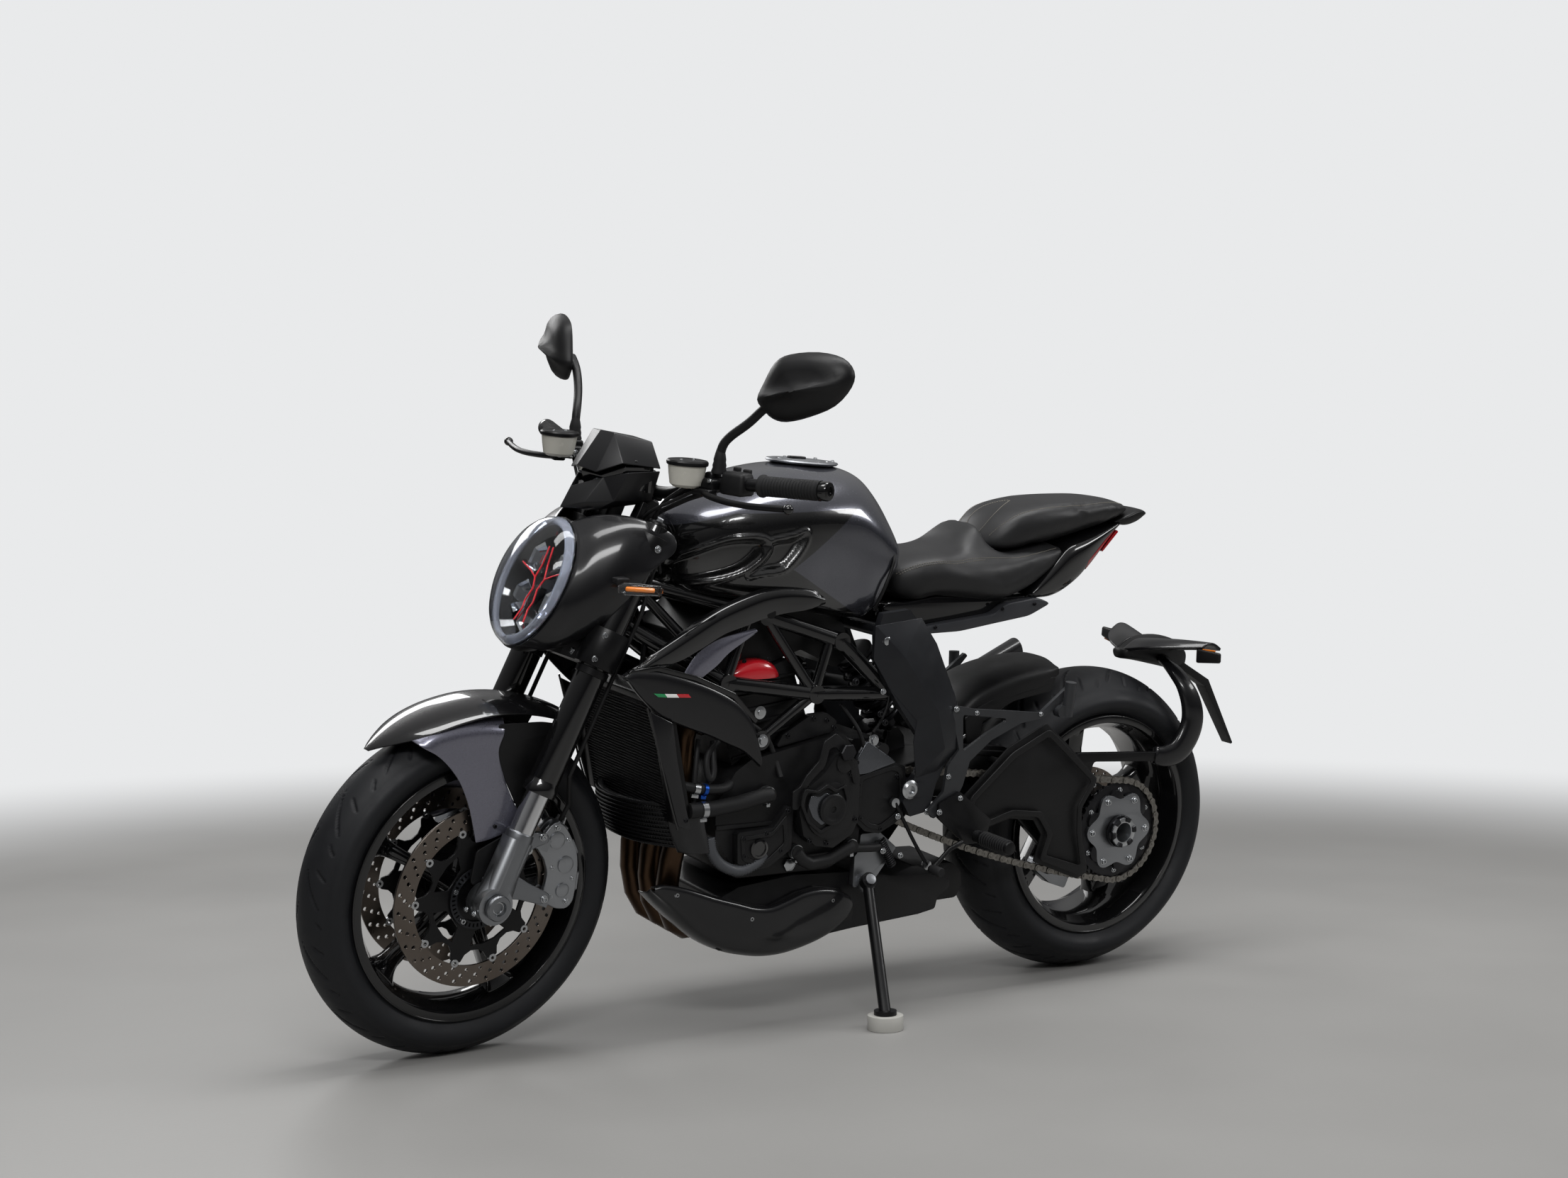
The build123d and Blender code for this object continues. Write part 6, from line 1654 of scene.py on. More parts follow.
class ROADSTER_OT_tank(bpy.types.Operator):
    """The tank skin with its shoulder line, knee hollow and leaf-shaped recesses, and the filler cap"""

    bl_idname = "roadster.tank"
    bl_label = "Tank"

    @staticmethod
    def carve(points):
        """Sinks the leaf recesses and raises the rim round them, on both sides."""
        flat = points[:, [0, 2]]
        side = np.sign(points[:, 1])
        wide = np.abs(points[:, 1])
        near = (flat[:, 0] > 770) & (flat[:, 0] < 1100) & (flat[:, 1] > 800) & (
            flat[:, 1] < 975) & (wide > 60)
        depth = np.zeros(len(points))
        first = distance_to(flat[near], flow(LEAF, 6, closed=True))
        second = distance_to(flat[near], flow(SECOND, 6, closed=True))
        leaf = np.minimum(first, second)
        sunk = 20 * ease(-first, 1.0, 13) + 13 * ease(-second, 1.0, 13)
        ridge = 5.0 * np.exp(-((leaf - 3.2) / 2.8) ** 2)
        fade = ease(flat[near][:, 1], 812, 850)
        depth[near] = (sunk - ridge) * fade
        carved = points.copy()
        carved[:, 1] -= side * depth
        return carved

    def execute(self, context):
        tank_split(MAT["tank"])
        stations = [
            (1040, [(0, 944), (26, 941), (48, 930), (62, 912), (66, 890), (62, 866), (50, 848), (26, 838),
                    (0, 836)]),
            (1033, [(0, 960), (34, 957), (62, 940), (77, 916), (81, 888), (76, 860), (60, 838), (32, 828),
                    (0, 826)]),
            (1000, [(0, 985), (44, 981), (84, 966), (108, 940), (116, 900), (112, 862), (92, 826),
                    (48, 814), (0, 812)]),
            (950, [(0, 1008), (52, 1003), (100, 988), (134, 962), (143, 912), (138, 866), (118, 820),
                   (64, 804), (0, 802)]),
            (890, [(0, 1030), (58, 1025), (114, 1006), (152, 972), (160, 918), (154, 864), (134, 814),
                   (74, 798), (0, 796)]),
            (820, [(0, 1044), (64, 1039), (124, 1014), (160, 976), (166, 922), (158, 862), (136, 806),
                   (76, 791), (0, 790)]),
            (760, [(0, 1049), (66, 1043), (124, 1016), (158, 974), (162, 918), (152, 858), (132, 792),
                   (74, 778), (0, 777)]),
            (700, [(0, 1047), (66, 1040), (120, 1010), (152, 962), (153, 906), (146, 852), (127, 782),
                   (72, 772), (0, 772)]),
            (655, [(0, 1036), (64, 1028), (112, 994), (147, 942), (148, 892), (143, 846), (121, 780),
                   (70, 771), (0, 771)]),
            (622, [(0, 1012), (60, 1003), (104, 968), (138, 922), (141, 882), (136, 848), (114, 802),
                   (66, 792), (0, 790)]),
            (592, [(0, 980), (52, 970), (92, 940), (124, 904), (128, 878), (122, 862), (98, 846), (56, 840),
                   (0, 838)]),
            (570, [(0, 940), (38, 933), (66, 917), (92, 896), (95, 884), (88, 876), (68, 866), (36, 861),
                   (0, 860)]),
        ]
        tank = skin("tank_skin", across_x(stations), MAT["tank"], UPRIGHT, (18, 16), self.carve)
        settle(tank, "chassis", ["fuel_tank"])
        # black trim along the rear edge of the knee panel
        trims = []
        for s in SIDES:
            trims.append(pipe(f"tank_trim_{s}", [(598, 98 * s, 925), (607, 139 * s, 892),
                                                 (617, 143 * s, 862), (634, 144 * s, 822),
                                                 (640, 128 * s, 786)], 3.2, MAT["matt_black"], UPRIGHT, 8))
        group("tank_trims", trims, "chassis")
        at = moved(UPRIGHT, (738, 0, 1034)) @ Matrix.Rotation(math.radians(-2), 4, "Y")
        ring = turned("filler_ring", [(44, 8), (58, 12), (66, 14), (69, 17), (67, 19.5), (58, 21), (50, 20),
                                      (48, 17), (44, 16)], MAT["cast_alloy"], at, 64, 30)
        cap = turned("filler_cap",
                     [(1, 8), (47, 8), (47.4, 17), (45, 20.5), (30, 21.5), (26, 20), (22, 21.5), (1, 21.5)],
                     MAT["cast_alloy"], at, 64, 25)
        flap = box_piece("filler_flap", (34, 16, 5), MAT["satin_black"], moved(at, (12, 0, 23.5)), 2)
        group("filler", [ring, cap, flap], "chassis")
        screws = [((738 + 58 * math.cos(a), 58 * math.sin(a), 1053.5), (0, 0, 1), 8) for a in turns(6, 0.5)]
        settle(bolts("filler_screws", screws, MAT["steel"]), "chassis")
        return {"FINISHED"}


class ROADSTER_OT_fairings(bpy.types.Operator):
    """Gloss side spears, satin shrouds with their stripe, and the grey hooked panels"""

    bl_idname = "roadster.fairings"
    bl_label = "Side panels"

    def execute(self, context):
        # the spear: a blade with a keel line, its top edge rolled inwards
        top = [(1176, 690), (1142, 712), (1100, 738), (1050, 768), (1000, 796), (950, 816), (900, 830),
               (850, 834), (800, 828), (776, 816)]
        low = [(1168, 684), (1120, 696), (1072, 712), (1028, 734), (984, 757), (940, 770), (900, 782),
               (856, 790), (806, 796), (770, 806)]
        rows = []
        for i, ((xt, zt), (xl, zl)) in enumerate(zip(top, low)):
            t = i / (len(top) - 1)
            out = 159 + 6.5 * math.sin(math.pi * min(1, t * 1.25 + 0.08))
            inset = 16 * min(1, 3 * t) * min(1, (1 - t) * 5 + 0.2)
            rows.append([(xt - 2, out - inset, zt + 2), (xt, out - 4, zt - 2),
                         (xt + 0.28 * (xl - xt), out + 1.6, zt + 0.28 * (zl - zt)),
                         (xt + 0.62 * (xl - xt), out + 0.4, zt + 0.62 * (zl - zt)), (xl, out - 4.0, zl)])
        spear = pair_of(sheet("spear_panel", rows, MAT["gloss_black"], 3.6, UPRIGHT, (5, 5), 1.1))
        bosses = [turned(f"spear_boss_{s}", [(1, 139), (9, 139), (9, 160), (1, 160)], MAT["satin_black"],
                         facing(moved(UPRIGHT, (886, 0, 790)), s), 20) for s in SIDES]
        group("spears", [spear] + bosses, "chassis", ["spear_fairings"])

        # the shroud's upper panel: crowned between its top line and its foot
        top = [(1184, 690), (1164, 699), (1120, 698), (1080, 689), (1040, 677), (1003, 663), (962, 642),
               (936, 620), (914, 588), (898, 534)]
        low = [(1176, 682), (1148, 652), (1112, 620), (1076, 603), (1040, 589), (1004, 576), (964, 558),
               (936, 546), (914, 530), (896, 514)]
        rows = []
        for (xt, zt), (xl, zl) in zip(top, low):
            rows.append([(xt + share * (xl - xt), out, zt + share * (zl - zt))
                         for share, out in ((0.0, 160), (0.05, 169), (0.2, 172.2), (0.42, 173), (0.62, 173),
                                            (0.82, 171.4), (0.96, 168), (1.0, 162))])
        panel = sheet("shroud_panel", rows, MAT["shroud"], 2.6, UPRIGHT, (5, 4), 0.9)
        lip = board("shroud_lip", [(1178, 692), (1120, 697), (1040, 676), (962, 641), (914, 594),
                                   (908, 600), (958, 651), (1038, 685), (1118, 706), (1174, 700)], 160, 171,
                    MAT["gloss_black"], UPRIGHT, 4, 1.4)
        leg = board("shroud_leg", [(1134, 628), (1084, 604), (1072, 540), (1050, 455), (1036, 408),
                                   (1063, 418), (1098, 520)], 166.5, 173.0, MAT["shroud"], UPRIGHT, 4, 1.8)
        edge = pipe("shroud_edge", [(1136, 169, 634), (1118, 171, 580), (1096, 171.6, 508),
                                    (1074, 171.6, 440), (1062, 170, 412)], 2.0, MAT["gloss_black"])
        pieces = pair_of(joined("shroud_left", [panel, lip, leg, edge]))
        settle(pieces, "chassis", ["radiator_shrouds"])
        stripes = []
        for s in SIDES:
            for name, outline, finish_name in (
                ("green", [(1128, 659), (1106, 657.3), (1101, 651.0), (1119, 652.6)], "green"),
                ("white", [(1106, 657.3), (1082.5, 656), (1077.5, 649.8), (1101, 651.0)], "white"),
                ("red", [(1082.5, 656), (1059, 655), (1053, 648.6), (1077.5, 649.8)], "red")
            ):
                low, high = sorted((s * 173.0, s * 176.0))
                stripes.append(board(f"stripe_{name}_{s}", outline, low, high, MAT[finish_name], UPRIGHT, 0,
                                     0.1))
        group("shroud_stripe", stripes, "chassis")
        rows = []
        for a, b, c in (((1066, 668), (1056, 664), (1044, 661)), ((1046, 702), (1034, 693), (1018, 680)),
                        ((1024, 726), (1008, 712), (990, 700)), ((986, 746), (976, 734), (966, 722)),
                        ((940, 757), (934, 752), (928, 746)), ((914, 762), (912, 760), (910, 758))):
            rows.append([(a[0], 150, a[1]), (b[0], 154.5, b[1]), (c[0], 152.5, c[1])])
        hook = pair_of(sheet("hook_panel", rows, MAT["graphite"], 2.6, UPRIGHT, (5, 4), 0.8))
        settle(hook, "chassis", ["inner_panels"])
        screws = [((1050, 155.6 * s, 671), (0, s, 0), 10) for s in SIDES]
        screws += [((x, y * s, z), (0, s, 0), 9) for x, y, z in ((1048, 173.2, 428), (908, 171.6, 572))
                   for s in SIDES]
        settle(bolts("panel_screws", screws, MAT["dark_steel"]), "chassis")
        return {"FINISHED"}


def upholstered(name, stations, cap, stands_for):
    """A foam pad under its cover: a fitted form, blown up as cloth by up to cap mm, then smoothed."""
    blown_for = 12  # frames
    base = skin(name, across_x(stations), MAT["seat"], UPRIGHT, (5, 5))
    remesh = base.modifiers.new("voxels", "REMESH")
    remesh.mode = "VOXEL"
    remesh.voxel_size = 0.0055
    base = plain(base)
    rest = np.empty(len(base.data.vertices) * 3, np.float32)
    base.data.vertices.foreach_get("co", rest)
    cloth = base.modifiers.new("cover", "CLOTH")
    cloth.settings.quality = 4
    cloth.settings.use_pressure = True
    cloth.settings.uniform_pressure_force = 4.0
    cloth.settings.mass = 0.3
    cloth.settings.tension_stiffness = 20
    cloth.settings.compression_stiffness = 20
    cloth.settings.bending_stiffness = 2
    cloth.settings.effector_weights.gravity = 0
    cloth.collision_settings.use_collision = False
    scene = bpy.context.scene
    for step in range(1, blown_for + 1):
        scene.frame_set(step)
    base = plain(base)
    blown = np.empty(len(base.data.vertices) * 3, np.float32)
    base.data.vertices.foreach_get("co", blown)
    move = (blown - rest).reshape(-1, 3)
    length = np.linalg.norm(move, axis=1, keepdims=True)
    move *= np.minimum(1, cap * MM / np.maximum(length, 1e-9))
    base.data.vertices.foreach_set("co", (rest.reshape(-1, 3) + move).ravel())
    scene.frame_set(1)
    even = base.modifiers.new("even", "SMOOTH")
    even.iterations = 4
    even.factor = 0.5
    base = plain(base)
    base.data.shade_smooth()
    base.data.materials.clear()
    base.data.materials.append(MAT["seat"])
    base.name = name
    settle(base, "chassis", [stands_for])
    return base


class ROADSTER_OT_seats(bpy.types.Operator):
    """The stitched rider's seat and the pillion pad"""

    bl_idname = "roadster.seats"
    bl_label = "Seats"

    @staticmethod
    def stitched(name, piece, lines):
        """Thread stitches every 5 mm along lines, laid on the nearest skin of a pad."""
        bpy.context.view_layer.update()
        thread = [(x * 0.5, y, z) for x, y, z in ((-3.4, 0.55, 0), (0, 0.75, 0.3), (3.4, 0.55, 0),
                                                  (3.4, -0.55, 0), (0, -0.75, 0.3), (-3.4, -0.55, 0),
                                                  (-3.2, 0, 0.8), (0, 0, 1.3), (3.2, 0, 0.8))]
        form = template("stitch", thread, [(0, 1, 7, 6), (1, 2, 8, 7), (5, 6, 7, 4), (4, 7, 8, 3),
                                           (0, 6, 5), (2, 3, 8), (0, 5, 4, 3, 2, 1)])
        places = []
        for line in lines:
            path = flow(line, 24)
            lengths = np.concatenate([[0], np.cumsum(np.linalg.norm(np.diff(path, axis=0), axis=1))])
            at = np.arange(2, lengths[-1] - 2, 5.0)
            spots = np.stack([np.interp(at, lengths, path[:, k]) for k in range(3)], axis=1)
            for i in range(len(spots) - 1):
                spot = UPRIGHT @ (Vector(spots[i]) * MM)
                ahead = (UPRIGHT @ (Vector(spots[i + 1]) * MM)) - spot
                found, where, normal, _ = piece.closest_point_on_mesh(spot)
                if not found:
                    continue
                x = (ahead - normal * ahead.dot(normal)).normalized()
                y = normal.cross(x)
                turn = Matrix((x, y, normal)).transposed().to_4x4()
                places.append((Matrix.Translation(where + normal * 0.0001) @ turn, 1.0))
        settle(row_of(name, places, form, MAT["thread"], 80), "chassis")

    def execute(self, context):
        rider = [
            (566, [(0, 852), (40, 850), (66, 842), (74, 832), (70, 818), (40, 811), (0, 811)]),
            (552, [(0, 866), (46, 864), (80, 854), (90, 836), (84, 808), (46, 800), (0, 800)]),
            (520, [(0, 878), (54, 876), (94, 866), (107, 842), (100, 804), (54, 796), (0, 796)]),
            (478, [(0, 883), (60, 882), (104, 873), (117, 848), (110, 812), (60, 806), (0, 806)]),
            (440, [(0, 886), (52, 884), (104, 874), (121, 850), (114, 812), (60, 805), (0, 805)]),
            (408, [(0, 898), (50, 894), (98, 879), (123, 852), (116, 810), (60, 803), (0, 803)]),
            (380, [(0, 921), (54, 914), (92, 886), (124, 854), (117, 808), (60, 801), (0, 801)]),
            (352, [(0, 935), (52, 927), (84, 890), (122, 856), (116, 806), (60, 799), (0, 799)]),
            (336, [(0, 908), (46, 904), (90, 884), (121, 857), (115, 806), (60, 799), (0, 799)]),
            (300, [(0, 881), (50, 880), (100, 876), (118, 856), (110, 808), (56, 800), (0, 800)]),
            (240, [(0, 888), (48, 887), (96, 884), (108, 868), (100, 830), (52, 812), (0, 812)]),
            (190, [(0, 897), (44, 897), (88, 892), (98, 880), (90, 856), (46, 850), (0, 850)]),
            (160, [(0, 901), (40, 901), (78, 898), (88, 892), (80, 881), (40, 878), (0, 878)]),
        ]
        seat = upholstered("rider_pad", rider, 4.0, "rider_seat")
        pillion = [
            (332, [(0, 904), (22, 903), (40, 900), (46, 897), (42, 893), (22, 891), (0, 891)]),
            (318, [(0, 930), (34, 926), (62, 915), (68, 904), (62, 892), (34, 889), (0, 889)]),
            (300, [(0, 951), (40, 947), (74, 932), (80, 914), (74, 893), (40, 888), (0, 888)]),
            (268, [(0, 969), (44, 966), (80, 954), (88, 930), (82, 898), (44, 891), (0, 891)]),
            (220, [(0, 979), (46, 977), (86, 966), (94, 942), (86, 908), (46, 900), (0, 900)]),
            (160, [(0, 985), (46, 983), (86, 973), (95, 952), (86, 920), (46, 911), (0, 911)]),
            (90, [(0, 987), (44, 986), (82, 978), (91, 962), (82, 938), (44, 927), (0, 927)]),
            (30, [(0, 987), (40, 986), (74, 981), (84, 970), (76, 950), (40, 942), (0, 942)]),
            (-15, [(0, 980), (34, 979), (60, 976), (68, 970), (62, 960), (34, 956), (0, 956)]),
            (-38, [(0, 972), (22, 971.6), (42, 970), (50, 968.6), (44, 966), (22, 964.6), (0, 964.6)]),
        ]
        pad = upholstered("pillion_pad", pillion, 4.0, "pillion_seat")
        outer_seam = ((560, 78, 846), (520, 98, 868), (478, 108, 876), (440, 110, 878), (400, 108, 884),
                      (360, 106, 884), (320, 104, 882), (260, 100, 884), (200, 90, 894), (164, 80, 900))
        inner_seam = ((556, 84, 846), (516, 101, 864), (478, 111, 872), (440, 113, 873), (400, 111, 879),
                      (360, 109, 880))
        seams = [[(x, s * y, z) for x, y, z in seam] for seam in (outer_seam, inner_seam) for s in SIDES]
        self.stitched("rider_stitches", seat, seams)
        edge_seam = ((322, 52, 915), (296, 66, 941), (262, 74, 960), (200, 80, 972), (120, 80, 979),
                     (30, 70, 983), (-24, 50, 978))
        nose_seam = [(330, -20, 912), (312, -30, 942), (280, -26, 965), (240, -6, 977), (238, 0, 978),
                     (240, 6, 977), (280, 26, 965), (312, 30, 942), (330, 20, 912)]
        seams = [[(x, s * y, z) for x, y, z in edge_seam] for s in SIDES] + [nose_seam]
        self.stitched("pillion_stitches", pad, seams)
        return {"FINISHED"}


class ROADSTER_OT_tail(bpy.types.Operator):
    """The gloss tail cone, its lip, the red lamp strip, the seat rails and tray"""

    bl_idname = "roadster.tail"
    bl_label = "Tail"

    def execute(self, context):
        stations = [
            (238, [(0, 812), (40, 812), (78, 812), (94, 806), (96, 800), (88, 795), (40, 793), (0, 793)]),
            (214, [(0, 838), (40, 838), (80, 836), (99, 828), (100, 812), (90, 796), (44, 792), (0, 792)]),
            (180, [(0, 872), (40, 871), (82, 868), (99, 856), (99, 828), (88, 800), (44, 794), (0, 794)]),
            (146, [(0, 905), (40, 903), (82, 896), (96, 880), (95, 846), (84, 812), (42, 805), (0, 804)]),
            (100, [(0, 918), (38, 916), (76, 910), (89, 896), (86, 868), (74, 836), (38, 830), (0, 829)]),
            (60, [(0, 929), (36, 927), (68, 922), (80, 912), (76, 892), (64, 868), (34, 862), (0, 861)]),
            (28, [(0, 938), (34, 936), (60, 932), (71, 925), (67, 911), (56, 896), (32, 891), (0, 890)]),
            (-8, [(0, 946), (30, 945), (52, 943), (61, 940), (58, 934), (48, 929), (28, 927), (0, 927)]),
        ]
        cone = skin("tail_cone", across_x(stations), MAT["gloss_black"], UPRIGHT, (5, 5))
        settle(cone, "chassis", ["tail_fairing"])
        lip = [
            (4, [(0, 948), (34, 947), (56, 945), (62, 943), (56, 941), (34, 940), (0, 940)]),
            (-30, [(0, 961), (34, 960), (56, 958), (63, 952), (56, 937), (34, 934), (0, 934)]),
            (-64, [(0, 969), (32, 968), (50, 966), (56, 960), (50, 944), (32, 939), (0, 938)]),
            (-90, [(0, 966), (28, 965), (40, 963), (45, 959), (40, 953), (28, 950), (0, 949)]),
            (-103, [(0, 958), (20, 957.6), (28, 957), (31, 956), (28, 955), (20, 954.4), (0, 954)]),
        ]
        rim = skin("tail_lip", across_x(lip), MAT["matt_black"], UPRIGHT, (4, 4))
        settle(rim, "chassis")
        strip = [board("tail_lamp", [(-6.5, 925.5), (31, 884.2), (27.4, 881.0), (-11.0, 921.8)], -56, 56,
                       MAT["red_lens"], UPRIGHT, 1.5, 0.9)]
        for s in SIDES:
            rows = []
            for x, spots in (
                (84, ((70, 848), (72, 850), (75.6, 858), (78, 865))),
                (60, ((63.5, 867), (66, 869), (70.5, 877), (73, 882))),
                (28, ((55, 895), (58, 897), (63.5, 904), (66.5, 908))),
                (-2, ((47, 924), (50.5, 926), (56, 930), (59, 934)))
            ):
                rows.append([(x, y * s, z) for y, z in spots])
            strip.append(sheet(f"tail_lamp_side_{s}", rows, MAT["red_lens"], 2.5, UPRIGHT, (4, 4), 0.8))
        group("tail_lamp", strip, "chassis", ["tail_light"])
        rails, trays = [], []
        for s in SIDES:
            a, b = sorted((s * 84, s * 107))
            rails.append(board(f"tail_rail_{s}", [(533, 743), (470, 752), (337, 768), (308, 788),
                                                  (229, 798), (196, 786), (249, 762), (335, 749),
                                                  (418, 736), (533, 732)], a, b, MAT["rail"], UPRIGHT, 12,
                               3.0))
            a, b = sorted((s * 60, s * 86))
            trays.append(board(f"seat_tray_side_{s}", [(590, 789), (564, 795), (540, 792), (469, 803),
                                                       (300, 798), (237, 800), (214, 788), (318, 768),
                                                       (533, 743), (590, 743)], a, b, MAT["gloss_black"],
                               UPRIGHT, 10, 3.5))
        trays.append(board("seat_tray_floor",
                           [(588, 780), (300, 794), (240, 797), (320, 770), (533, 746), (588, 746)], -62,
                           62, MAT["matt_black"], UPRIGHT, 6, 2))
        for s in SIDES:
            trays.append(turned(f"seat_tray_boss_{s}", [(1, 80), (11, 80), (11, 154), (1, 154)],
                                MAT["matt_black"], facing(moved(UPRIGHT, (575, 0, 765)), s), 20))
        group("seat_tray", rails + trays, "chassis", ["seat_base"])
        screws = [((x, s * 108.5, z), (0, s, 0), 8) for s in SIDES
                  for x, z in ((320, 778), (480, 746), (240, 786))]
        settle(bolts("tail_screws", screws, MAT["dark_steel"]), "chassis")
        return {"FINISHED"}


# ---------------------------------------------------------------- engine, frame and running gear
def side_screws(name, places, size, material):
    """Screws whose heads face the side they are on: (x, y, z) or (x, y, z, size)."""
    rows = [((p[0], p[1], p[2]), (0, 1 if p[1] > 0 else -1, 0), p[3] if len(p) > 3 else size) for p in places]
    return settle(bolts(name, rows, material), "chassis")


def boss(name, x, y, z, profile, material, steps=32, side=1):
    """A turned boss that faces sideways at (x, y, z), its profile (radius, height outwards)."""
    at = facing(moved(UPRIGHT, (x, y, z)), side)
    return turned(name, profile, material, at, steps)


class ROADSTER_OT_engine(bpy.types.Operator):
    """Ridges, bosses, ribs, screws and plugs of the engine's castings, and its wires"""

    bl_idname = "roadster.engine"
    bl_label = "Engine details"

    def execute(self, context):
        outer = [(814, 440), (812, 456), (806, 470), (778, 464), (757, 476), (736, 463), (716, 473),
                 (706, 446), (716, 418), (740, 398), (767, 383), (797, 406)]
        middle = (760, 428)
        inner = [(middle[0] + (x - middle[0]) * 0.86, middle[1] + (z - middle[1]) * 0.86) for x, z in outer]
        core = [(middle[0] + (x - middle[0]) * 0.66, middle[1] + (z - middle[1]) * 0.66) for x, z in outer]
        castings = [
            board("generator_ridge", outer, 179, 184.5, MAT["engine"], UPRIGHT, 5, 1.2,
                  [rounded(inner, 4)]),
            board("generator_core", core, 179, 182, MAT["polished_cover"], UPRIGHT, 4, 1.0),
            board("cover_lip", [(828, 464), (812, 472), (801, 491), (775, 517), (766, 553), (740, 568),
                                (717, 550), (700, 520), (690, 500), (686, 470), (694, 470), (704, 500),
                                (722, 524), (738, 542), (752, 540), (760, 508), (790, 480), (806, 456),
                                (812, 430), (826, 430)], 170, 176, MAT["engine"], UPRIGHT, 5, 1.4),
            board("sprocket_facet",
                  [(655, 545), (596, 508), (585, 499), (650, 482), (671, 481), (676, 510)], 146, 156.5,
                  MAT["polished_cover"], UPRIGHT, 5, 2.2),
            board("sprocket_rib", [(668, 478), (588, 494), (568, 486), (562, 442), (567, 398), (584, 386),
                                   (614, 371), (640, 377), (668, 400)], 152.5, 155.5, MAT["engine"],
                  UPRIGHT, 8, 1.2, [rounded([(660, 470), (592, 485), (576, 478), (571, 442), (575, 404),
                                             (589, 394), (614, 380), (636, 386), (660, 405)], 7)]),
            board("front_cover_rib",
                  [(924, 384), (856, 388), (826, 420), (820, 360), (862, 330), (888, 328), (918, 340)], 157,
                  160.5, MAT["engine"], UPRIGHT, 8, 1.2, [rounded(
                      [(916, 377), (858, 380), (834, 402), (829, 366), (864, 338), (886, 336), (910, 346)],
                      6)]),
            board("case_seam", [(966, 404), (700, 404), (660, 398), (660, 392), (700, 396), (966, 396)],
                  136, 143.2, MAT["engine"], UPRIGHT, 2, 1.0),
            board("sump",
                  [(930, 342), (690, 342), (668, 336), (676, 306), (700, 294), (900, 294), (926, 306)],
                  -110, 118, MAT["engine"], UPRIGHT, 8, 3),
        ]
        for i, (x, z) in enumerate(((690, 470), (676, 440), (684, 412))):
            castings.append(board(f"case_rib_{i}",
                                  [(x + 14, z + 9), (x - 12, z + 5), (x - 12, z - 1), (x + 14, z + 3)], 143,
                                  160, MAT["engine"], UPRIGHT, 1.5, 1))
        for i in range(7):
            z = 484 + i * 27
            lean = 0.32 * (z - 484)
            castings.append(board(f"barrel_fin_{i}", [(915 + lean, z + 10),
                                                      (752 + lean * 0.9, z + 50 - 4 * i),
                                                      (752 + lean * 0.9, z + 45 - 4 * i),
                                                      (915 + lean, z + 5)], 108, 116.5, MAT["engine"],
                                  UPRIGHT, 1.5, 0.9))
        group("engine_castings", castings, "chassis")
        bosses = [
            boss("generator_cap", 744, 183, 428,
                 [(1, 0), (27, 0), (29, 2), (29, 5), (26, 7), (22, 7), (20, 5.4), (6, 5.4), (5, 3), (1, 3)],
                 MAT["engine"], 48),
            boss("filler_plug", 716, 176, 532, [(1, 0), (16, 0), (17, 2), (17, 9), (15, 11), (1, 11)],
                 MAT["dark_steel"], 6),
            boss("big_washer", 638, 150, 544, [(1, 0), (11, 0), (11, 2), (7, 3), (6.5, 7), (1, 7)],
                 MAT["steel"], 24),
            boss("ring_bolt_a", 639, 171, 735,
                 [(1, 0), (13, 0), (13, 2), (10, 4), (9, 3), (8, 6), (6, 7), (1, 7)], MAT["steel"], 36),
            boss("ring_bolt_b", 550, 171, 696,
                 [(1, 0), (13, 0), (13, 2), (10, 4), (9, 3), (8, 6), (6, 7), (1, 7)], MAT["steel"], 36),
            boss("pivot_nut", 564, 172, 450,
                 [(1, 0), (17, 0), (18, 2), (18, 5), (15, 7), (13, 9), (8, 9), (7.5, 3), (1, 3)],
                 MAT["steel"], 36),
            boss("washer_front", 889, 144, 608, [(1, 0), (12, 0), (12, 2), (6, 3), (6, 6), (1, 6)],
                 MAT["steel"], 24),
            boss("mount_bolt", 881, 144, 556, [(1, 0), (12, 0), (12, 2), (8, 3), (7.5, 8), (1, 8)],
                 MAT["steel"], 24),
            boss("dip_glass", 884, 158, 360, [(1, 0), (17, 0), (18, 2), (18, 5), (14, 6), (13, 3), (1, 3)],
                 MAT["black_glass"], 32),
            boss("drain_plug", 790, 118, 312, [(1, 0), (12, 0), (13, 2), (13, 6), (9, 8), (1, 8)],
                 MAT["steel"], 6),
        ]
        group("engine_bosses", bosses, "chassis")
        side_screws("engine_screws", [(796, 172, 472), (825, 158, 425), (745, 172, 361), (782, 172, 368),
                                      (700, 172, 488), (684, 172, 402), (727, 172, 500), (767, 172, 505),
                                      (676, 153, 505, 13), (660, 153, 398), (668, 153, 462),
                                      (641, 171, 598, 13), (629, 171, 581, 13), (760, 128, 588),
                                      (815, 128, 558), (730, 128, 582), (868, 158, 386), (836, 158, 352),
                                      (914, 158, 348), (916, 158, 380), (580, 153, 472), (570, 153, 408),
                                      (612, 153, 374), (702, 171, 661, 15), (713, 128, 568),
                                      (925, 118, 682, 9), (860, 118, 700, 9), (858, 118, 676, 9),
                                      (912, 118, 698, 9)], 11, MAT["dark_steel"])
